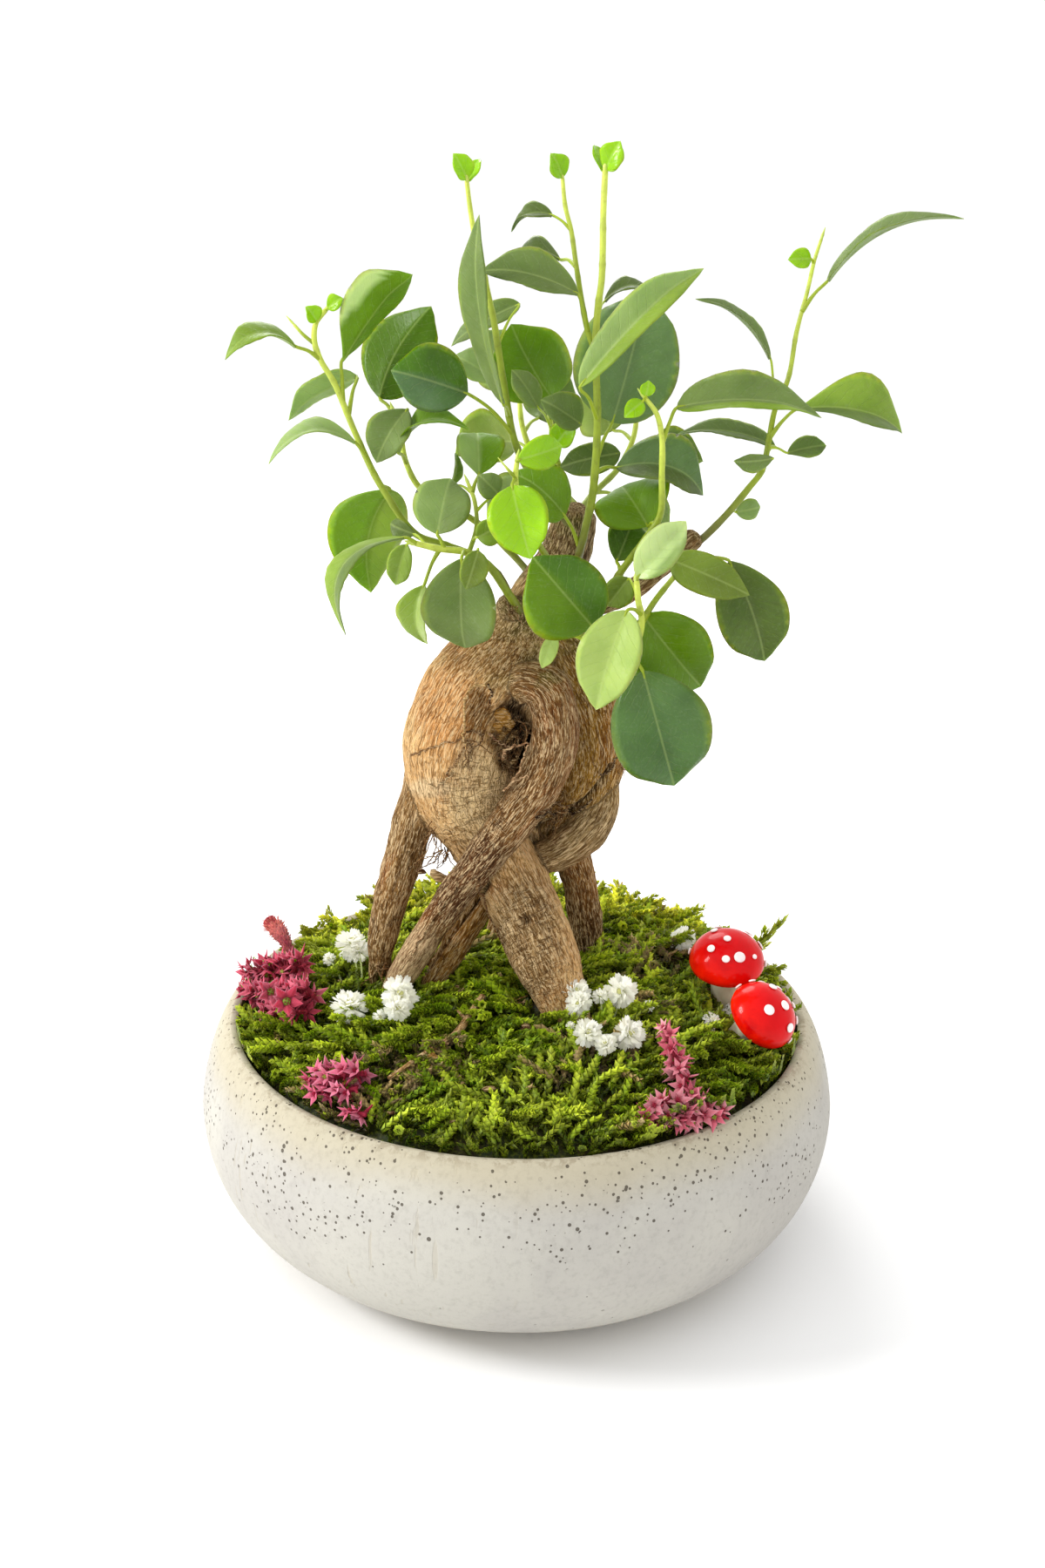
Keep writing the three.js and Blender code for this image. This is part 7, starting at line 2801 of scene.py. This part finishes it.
STAR_GROUPS = {
    "stars_left": (StarSpike((286, 1116), (350, 1108), (12, 13), (4.2, 4.6)),
                   StarSpike((284, 1140), (360, 1142), (10, 10.5), (4.2, 4.8)),
                   StarSpike((306, 1160), (352, 1162), (7, 7.5), (3.6, 4.0))),
    "stars_low_left": (StarSpike((358, 1238), (420, 1232), (8, 8), (4.2, 4.6)),
                       StarSpike((366, 1254), (410, 1250), (7, 7), (3.4, 3.4)),
                       StarSpike((398, 1275), (420, 1280), (5.6, 5.6), (1.0, 1.4))),
    "stars_right": (StarSpike((764, 1178), (792, 1262), (13, 9), (1.4, 5.2)),
                    StarSpike((750, 1268), (812, 1268), (9, 9), (3.4, 3.6)),
                    StarSpike((742, 1280), (790, 1282), (7, 7), (3.4, 4.4)),
                    StarSpike((782, 1282), (832, 1279), (7, 7), (4.2, 3.0))),
}
STAR_TONES = {
    "stars_left": (rgb(190, 54, 80), rgb(216, 104, 124), rgb(124, 14, 36)),
    "stars_low_left": (rgb(212, 80, 114), rgb(236, 144, 166), rgb(146, 22, 50)),
    "stars_right": (rgb(212, 92, 112), rgb(238, 156, 166), rgb(160, 40, 62)),
}
TASSEL = ((335, 1097, 13, 1.5), (327, 1080, 16, 3.2), (316, 1065, 18.5, 4.4), (308, 1056, 20, 4.4))
ROSETTES = ((311, 1138, 13.5), (329, 1150, 12.5))


@dataclass
class StarGroup:
    """A group of dried star flowers: spikes of pointed pink stars on dry stalks."""

    name: str
    spikes: tuple[StarSpike, ...]
    moss: MossMat
    green: Colour = rgb(150, 164, 60)
    bristles: int = 760

    def __post_init__(self) -> None:
        """Takes the group's own pinks."""
        self.pink, self.pale, self.crimson = (np.array(tone) for tone in STAR_TONES[self.name])

    def build(self, seed: int, finishes: Finishes) -> None:
        """Builds the group in place of its plain solid.

        Args:
            seed: What makes this group different from the others.
            finishes: The finishes.
        """
        draw = np.random.default_rng(seed)
        skin = Skin(rounded=False)
        ends = [(self.moss.over(*spike.start, spike.lift[0]),
                 self.moss.over(*spike.end, spike.lift[1])) for spike in self.spikes]
        foot = self.moss.rooted(np.mean([place for pair in ends for place in pair], axis=0))
        for spike, (start, end) in zip(self.spikes, ends):
            self.spike(skin, start, end, spike.thick, draw)
            middle = (start + end) / 2
            stalk = line_through([foot, foot * 0.45 + middle * 0.55, middle], [0.9, 0.75, 0.6], 10)
            skin.add(*tube(*stalk, 7), tint=rgb(126, 84, 52))
        if self.name == "stars_left":
            self.tassel(skin, draw)
            for x, y, lift in ROSETTES:
                self.rosette(skin, self.moss.over(x, y, lift), draw)
        piece = skin.piece(f"{self.name}_flowers", finishes.pink_petal)
        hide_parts(self.name)

    def spike(self, skin: Skin, start: Array, end: Array, thick: Point, draw: Draws) -> None:
        """Adds one spike.

        Args:
            skin: The skin to add to.
            start: Where it begins.
            end: Where it ends.
            thick: Its radius at both ends.
            draw: The draws to use.
        """
        length = float(np.linalg.norm(end - start))
        along = (end - start) / length
        first, second = square_pair(along)
        count = max(4, int(length * (thick[0] + thick[1]) * 0.085) + 3)
        core = line_through([start, (start + end) / 2, end], [0.6, 0.9, 0.7], 12)
        skin.add(*tube(*core, 8), tint=self.crimson)
        for index in range(count):
            share = (index + 0.5) / count
            turn = index * GOLDEN_TURN
            out = first * math.cos(turn) + second * math.sin(turn)
            out = unit(out - along * 0.55 + np.array([0, -0.15, 0.25]) + draw.normal(0, 0.2, 3))
            reach = (thick[0] + (thick[1] - thick[0]) * share) * draw.uniform(0.35, 0.6)
            size = 3.2 + 1.3 * min(1.0, (thick[0] + (thick[1] - thick[0]) * share) / 4.5)
            middle = start + along * length * share + out * reach
            self.star(skin, middle, out, size * draw.uniform(0.85, 1.15), draw)

    def star(self, skin: Skin, middle: Array, facing: Array, size: float,
             draw: Draws, broad: float = 0.46) -> None:
        """Adds one star flower.

        Args:
            skin: The skin to add to.
            middle: Its centre.
            facing: Which way it opens.
            size: Its radius.
            draw: The draws to use.
            broad: Width of a petal, as a share of the radius.
        """
        first, second = square_pair(facing)
        petals, stamens = 5, 4
        turn = (np.arange(petals) + draw.uniform(0, 1)) / petals * FULL_TURN
        out = np.cos(turn)[:, None] * first + np.sin(turn)[:, None] * second
        tilt = draw.uniform(0.7, 1.25)
        heading = out * math.sin(tilt) + facing * math.cos(tilt)
        base = middle + out * 0.2
        tip = base + heading * size * draw.uniform(0.85, 1.1, petals)[:, None]
        face = facing - heading * 0.2 + draw.normal(0, 0.18, (petals, 3))
        places, faces = lances(base, tip, face, size * broad, size * 0.16, STAR_PETAL)
        mixed = draw.uniform(0, 1) ** 1.5
        tone = self.pink * (1 - mixed) + self.pale * mixed
        tone = tone * draw.uniform(0.6, 1.1)
        rows = np.tile(np.array([self.crimson, tone, tone * 1.15, tone, tone * 0.85, tone * 0.5]),
                       (petals, 1))
        skin.add(places, faces, tint=np.clip(rows, 0, 1))
        heart = self.green if draw.uniform() < 0.1 else self.crimson
        turn = np.arange(stamens) / stamens * FULL_TURN + 0.4
        spread = np.cos(turn)[:, None] * first + np.sin(turn)[:, None] * second
        base = np.repeat(middle[None] - facing * 0.5, stamens, axis=0)
        tip = base + facing * size * 0.42 + spread * size * 0.14
        skin.add(*lances(base, tip, spread, size * 0.22, size * 0.22), tint=heart)
        line = np.array([middle - facing * size * 1.1, middle - facing * size * 0.4,
                         middle - facing * 0.1])
        skin.add(*tube(line, np.array([0.3, 0.55, 0.75]), 5), tint=self.crimson * 0.8)

    def rosette(self, skin: Skin, middle: Array, draw: Draws) -> None:
        """Adds a wide open flower, two rings of petals round a green knob.

        Args:
            skin: The skin to add to.
            middle: Its centre.
            draw: The draws to use.
        """
        facing = unit(unit(EYE_PLACE - middle) + draw.normal(0, 0.08, 3))
        for size in (6.2, 5.0):
            self.star(skin, middle, facing, size, draw, 0.56)
        knob(skin, middle + facing * 0.3, 1.4, rgb(116, 132, 44))

    def tassel(self, skin: Skin, draw: Draws) -> None:
        """Adds the closed bristly flower that rises from the group.

        Args:
            skin: The skin to add to.
            draw: The draws to use.
        """
        points = [self.moss.over(x, y, lift) for x, y, lift, _ in TASSEL]
        line, radii = line_through(points, [radius for *_, radius in TASSEL], 26)
        skin.add(*tube(line, radii * 0.5, 12), tint=rgb(150, 34, 44))
        ahead, side, rise = carried_frames(line)
        count, top = self.bristles, 24
        at = draw.integers(0, top, count)
        turn = draw.uniform(0, FULL_TURN, count)
        out = side[at] * np.cos(turn)[:, None] + rise[at] * np.sin(turn)[:, None]
        base = line[at] + out * (radii[at] * 0.4)[:, None]
        high = (at / top)[:, None]
        flare = draw.uniform(0.1, 0.45, count)[:, None] + high ** 3 * draw.uniform(
            0.0, 0.9, (count, 1))
        reach = draw.uniform(1.8, 4.0, count)[:, None]
        tip = base + unit(ahead[at] + out * flare + draw.normal(0, 0.12, (count, 3))) * reach
        share = high ** 1.4 * 0.75 + draw.uniform(-0.15, 0.35, (count, 1))
        tone = blend(rgb(112, 14, 34), rgb(222, 104, 84), np.clip(share, 0, 1))
        tone = tone * draw.uniform(0.6, 1.1, (count, 1))
        rows = np.repeat(tone, 6, axis=0)
        rows[::6] *= 0.5
        skin.add(*lances(base, tip, out, 0.6, 0.3), tint=rows)


@dataclass
class Mushroom:
    """A toy mushroom: a glossy red cap with white dots on a cream stem."""

    name: str
    cap: Point
    depth: float
    lean: tuple[float, float, float]
    radius: float
    stem_length: float
    stem_radius: float
    dots: tuple[tuple[float, float, float], ...]
    more_dots: int = 9
    sectors: int = 72
    brim: float = 2.6
    # painted light and shade: the first colour is the cap's lit orange-red towards its brim and
    # left side, the second the deep red towards its top and right side in shade
    lit_skirt: Colour = rgb(255, 30, 2)
    crown: Colour = rgb(214, 0, 10)

    def build(self, seed: int, finishes: Finishes) -> None:
        """Builds the cap, its dots and the stem in place of their plain solids.

        Args:
            seed: Where the dots out of the photograph's sight lie.
            finishes: The finishes.
        """
        axis = unit(np.array(self.lean))
        foot = EYE.seen(*self.cap, self.depth)
        height = 13 * self.radius / 12
        cap = Skin()
        places, faces = turned(self.cap_profile(height), self.sectors)
        # painted light and shade: the cap is orange-red where it is lit, at its brim and left side,
        # and deep red towards its top and right side
        high = (places[:, 2] / height + places[:, 0] / self.radius * 0.35)[:, None]
        tint = blend(self.lit_skirt, self.crown, smooth(high, -0.2, 0.9))
        places = places * (0.965 + 0.012 * clouds(places, 9.0, seed))[:, None]
        cap.add(turned_along(places, foot, axis), faces, tint=tint)
        piece = cap.piece(f"{self.name}_cap_shell", finishes.red_lacquer)
        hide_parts(f"{self.name}_cap")
        dots = Skin()
        for direction, size in self.dot_directions(foot, axis, height, seed):
            self.dot(dots, direction, size, foot, axis, height)
        dots.piece(f"{self.name}_dots", finishes.white_dot)
        self.stem(foot, axis, seed, finishes)

    def cap_profile(self, height: float) -> list[Point]:
        """Radius and height of the cap from its underside's middle to its top.

        Args:
            height: The cap's height.

        Returns:
            Radius and height pairs.
        """
        radius = self.radius
        under = [(0.0, 0.0), (radius * 0.3, -0.15), (radius * 0.55, -0.4), (radius * 0.75, -0.25),
                 (radius * 0.88, 0.35), (radius * 0.96, 1.2)]
        dome = height - self.brim
        over = [(max(0.0, math.cos(angle)) * radius, self.brim + math.sin(angle) * dome)
                for angle in np.linspace(0, math.pi / 2, 26)]
        over[-1] = (0.0, height)
        return under + over

    def dot_directions(self, foot: Array, axis: Array, height: float, seed: int
                       ) -> list[tuple[Array, float]]:
        """Where on the cap's dome each dot lies, with its radius.

        Args:
            foot: The middle of the cap's underside.
            axis: The cap's upward direction.
            height: The cap's height.
            seed: Where the dots out of the photograph's sight lie.

        Returns:
            A direction from the middle of the dome, and a radius, for each dot.
        """
        spread = sphere_points(6000)
        spread = spread[spread[:, 2] > 0.03]
        size = np.array([self.radius, self.radius, height - self.brim])
        places = turned_along(spread * size + np.array([0, 0, self.brim]), foot, axis)
        outward = turned_along(unit(spread / size), np.zeros(3), axis)
        front = (outward * (EYE_PLACE - places)).sum(axis=1) > 0
        shown = EYE.shown(places)
        found = []
        for x, y, radius in self.dots:
            far = apart(shown, x, y) + np.where(front, 0, 1e6)
            found.append((spread[far.argmin()], radius))
        draw = np.random.default_rng(seed)
        hidden = spread[~front]
        while len(found) < len(self.dots) + self.more_dots:
            at = hidden[draw.integers(len(hidden))]
            if min(np.linalg.norm(at - other) for other, _ in found) > 0.42:
                found.append((at, draw.uniform(1.0, 1.6)))
            else:
                hidden = hidden[np.linalg.norm(hidden - at, axis=1) > 0.02]
            if len(hidden) < 50:
                break
        return found

    def dot(self, skin: Skin, direction: Array, radius: float, foot: Array,
            axis: Array, height: float) -> None:
        """Adds one dot, a thin lens that follows the dome.

        Args:
            skin: The skin to add to.
            direction: Where on the dome it lies.
            radius: Its radius.
            foot: The middle of the cap's underside.
            axis: The cap's upward direction.
            height: The cap's height.
        """
        size = np.array([self.radius, self.radius, height - self.brim])
        first, second = square_pair(direction)
        sides = 28
        turn = np.arange(sides) / sides * FULL_TURN
        wide = radius / self.radius
        rings = []
        for share, lift in ((0.5, -0.25), (1.0, -0.2), (1.02, 0.1), (0.9, 0.22), (0.6, 0.3),
                            (0.3, 0.33)):
            around = direction + math.tan(wide * share) * (
                np.cos(turn)[:, None] * first + np.sin(turn)[:, None] * second)
            around = unit(around)
            rings.append(around * size + unit(around / size) * lift)
        places = np.vstack([*rings, direction * size * 0.97,
                            direction * size + unit(direction / size) * 0.34])
        places = turned_along(places + np.array([0, 0, self.brim]), foot, axis)
        skin.add(places, closed_faces(len(rings), sides))

    def stem(self, foot: Array, axis: Array, seed: int, finishes: Finishes) -> None:
        """Builds the stem.

        Args:
            foot: The middle of the cap's underside.
            axis: The mushroom's upward direction.
            seed: Which draws to use.
            finishes: The finishes.
        """
        radius, length = self.stem_radius, self.stem_length
        shape = np.array([(0, 0.72), (0.15, 0.86), (0.45, 0.84), (0.75, 0.96), (1, 1.18)])
        rise = np.linspace(0, 1, 22)
        out = np.interp(rise, shape[:, 0], shape[:, 1]) * radius
        profile = [(0.0, 0.0), *zip(out, rise * length), (0.0, length)]
        places, faces = turned(profile, 40)
        places = places * (1 + 0.03 * clouds(places, 4.0, seed + 3))[:, None]
        skin = Skin()
        skin.add(turned_along(places, foot - axis * (length + 0.6), axis), faces)
        piece = skin.piece(f"{self.name}_stem_skin", finishes.cream_stem)
        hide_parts(f"{self.name}_stem")


MUSHROOMS = (
    Mushroom("mushroom_left", (834, 1112), -8, (-0.02, -0.18, 1), 12, 22, 4.8,
             ((820, 1067, 1.15), (835, 1078, 1.15), (817, 1088, 1.25), (850, 1098, 1.75),
              (834, 1100, 1.2), (867, 1098, 0.8))),
    Mushroom("mushroom_right", (868, 1172), -28, (0.55, -0.35, 0.8), 11.28, 16, 4.2,
             ((888, 1133, 1.3), (883, 1159, 1.6), (902, 1154, 1.5), (916, 1152, 1.0),
              (908, 1180, 1.5))),
)


@dataclass
class CottonPuff:
    """The white cottony fibres beside the mushroom stems."""

    moss: MossMat
    middle: Point = (836, 1164)
    count: int = 260

    def build(self, finishes: Finishes) -> None:
        """Builds the puff.

        Args:
            finishes: The finishes.
        """
        draw = np.random.default_rng(66)
        centre = self.moss.over(*self.middle, 2.2)
        base = centre + draw.normal(0, 1.0, (self.count, 3)) * np.array([1.5, 1.0, 0.9])
        tip = base + unit(draw.normal(0, 1, (self.count, 3))) * draw.uniform(
            1.2, 2.8, (self.count, 1))
        skin = Skin()
        skin.add(*lances(base, tip, draw.normal(0, 1, (self.count, 3)), 0.34, 0.16),
                 tint=rgb(244, 244, 232))
        skin.piece("cotton_puff", finishes.white_petal)


@dataclass
class Twig:
    """The dry twig that lies on the moss, with a nub of broken bark at its upper end."""

    moss: MossMat
    points: tuple[Point, ...] = ((554, 1144), (541, 1164), (520, 1190), (482, 1214), (446, 1238))
    radii: tuple[float, ...] = (1.0, 1.3, 1.1, 0.9, 0.6)
    count: int = 60

    def build(self, finishes: Finishes) -> None:
        """Builds the twig in place of its plain solid.

        Args:
            finishes: The finishes.
        """
        places = [self.moss.over(x, y, 2.8) for x, y in self.points]
        line, radii = line_through(places, self.radii, self.count)
        sides = 14
        rough = clouds(np.repeat(line, sides, axis=0), 3.0, 91).reshape(len(line), sides) * 0.12
        body, faces = tube(line, radii, sides, rough)
        run = run_along(line)
        off = body[:-2] - np.repeat(line, sides, axis=0)
        grain = np.column_stack([np.repeat(run, sides), off[:, 0] + off[:, 1], off[:, 2]])
        skin = Skin()
        skin.add(body, faces, tint=rgb(184, 144, 94), wear=(0, 0, 0),
                 grain=np.vstack([grain, grain[:1], grain[-1:]]))
        for start, heading in ((0.3, (-0.6, 0.5, 0.4)), (0.62, (0.5, -0.5, 0.4))):
            at, ahead = line[int(start * (self.count - 1))], unit(np.array(heading))
            spur = line_through([at, at + ahead * 2.4, at + ahead * 4.2], [0.7, 0.5, 0.35], 8)
            body, faces = tube(*spur, 8)
            skin.add(body, faces, tint=rgb(164, 122, 76), grain=body, wear=(0, 0, 0))
        piece = skin.piece("dry_twig", finishes.bark)
        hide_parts("twig")


@dataclass
class Studio:
    """The pale floor, the soft light and the camera at the photograph's eye."""

    def build(self, finishes: Finishes) -> None:
        """Builds the floor, the lights and the camera.

        Args:
            finishes: The finishes.
        """
        bpy.context.scene.view_settings.view_transform = "Standard"
        self.floor(finishes)
        self.world()
        self.lights()
        self.camera()

    def floor(self, finishes: Finishes) -> None:
        """Lays the floor.

        Args:
            finishes: The finishes.
        """
        mesh = bpy.data.meshes.new("floor")
        wide = 60.0
        around = [(-wide, -wide, 0), (wide, -wide, 0), (wide, wide, 0), (-wide, wide, 0)]
        mesh.from_pydata(around, [], [range(4)])
        mesh.materials.append(finishes.floor)
        floor = bpy.data.objects.new("floor", mesh)
        bpy.context.scene.collection.objects.link(floor)
        floor.location.z = -0.0005

    def world(self) -> None:
        """Sets the white surroundings."""
        world = bpy.data.worlds.new("white_room")
        bpy.context.scene.world = world
        world.use_nodes = True
        ground = world.node_tree.nodes["Background"]
        ground.inputs["Color"].default_value = (1.0, 1.0, 1.0, 1.0)
        ground.inputs["Strength"].default_value = 1.08

    def lights(self) -> None:
        """Hangs the soft lights."""
        aim = Vector((0, 0, 0.12))
        for name, place, size, power in (("key", (-1.0, -0.17, 0.68), 0.4, 9.6),
                                         ("rear", (-0.2, 0.95, 0.85), 0.6, 5.0)):
            light = bpy.data.lights.new(name, "AREA")
            light.shape = "DISK"
            light.size = size
            light.energy = power
            lamp = bpy.data.objects.new(name, light)
            bpy.context.scene.collection.objects.link(lamp)
            lamp.location = place
            lamp.rotation_euler = (aim - Vector(place)).to_track_quat("-Z", "Y").to_euler()

    def camera(self) -> None:
        """Places the camera where the photograph's eye was."""
        sensor, picture_height = 36, 1800
        data = bpy.data.cameras.new("photo_view")
        data.sensor_fit = "AUTO"
        data.sensor_width = sensor
        data.lens = EYE.lens * sensor / picture_height
        data.clip_start = 0.01
        data.clip_end = 50
        camera = bpy.data.objects.new("photo_view", data)
        bpy.context.scene.collection.objects.link(camera)
        axes = np.column_stack([EYE.right(), EYE.up(), -EYE.ahead()])
        matrix = Matrix(axes.tolist()).to_4x4()
        matrix.translation = Vector(EYE.place) * MM
        camera.matrix_world = matrix
        bpy.context.scene.camera = camera


def corners(box: tuple) -> list[list[float]]:
    """Lowest and highest corner as plain lists."""
    return [list(corner) for corner in box]


def main() -> None:
    """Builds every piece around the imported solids, then the studio."""
    logging.basicConfig(level=logging.INFO, format="%(name)s: %(message)s")
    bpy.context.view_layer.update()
    finishes = Finishes()
    Bowl().build(finishes)
    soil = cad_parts["soil"]
    soil.data.materials.clear()
    soil.data.materials.append(finishes.soil)
    roots = GinsengRoot()
    roots.build(finishes)
    moss = MossMat()
    moss.build(roots, finishes)
    RootLitter(moss, roots).build(finishes)
    for seed, (name, shoot) in enumerate(SHOOTS.items()):
        shoot.build(name, seed + 1, finishes)
    for name, heads in BREATH_GROUPS.items():
        BreathGroup(name, heads, moss).build(finishes)
    for seed, (name, spikes) in enumerate(STAR_GROUPS.items()):
        StarGroup(name, spikes, moss).build(seed + 51, finishes)
    for seed, mushroom in enumerate(MUSHROOMS):
        mushroom.build(seed + 81, finishes)
    CottonPuff(moss).build(finishes)
    Twig(moss).build(finishes)
    Studio().build(finishes)
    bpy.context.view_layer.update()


if __name__ == "__main__":
    main()
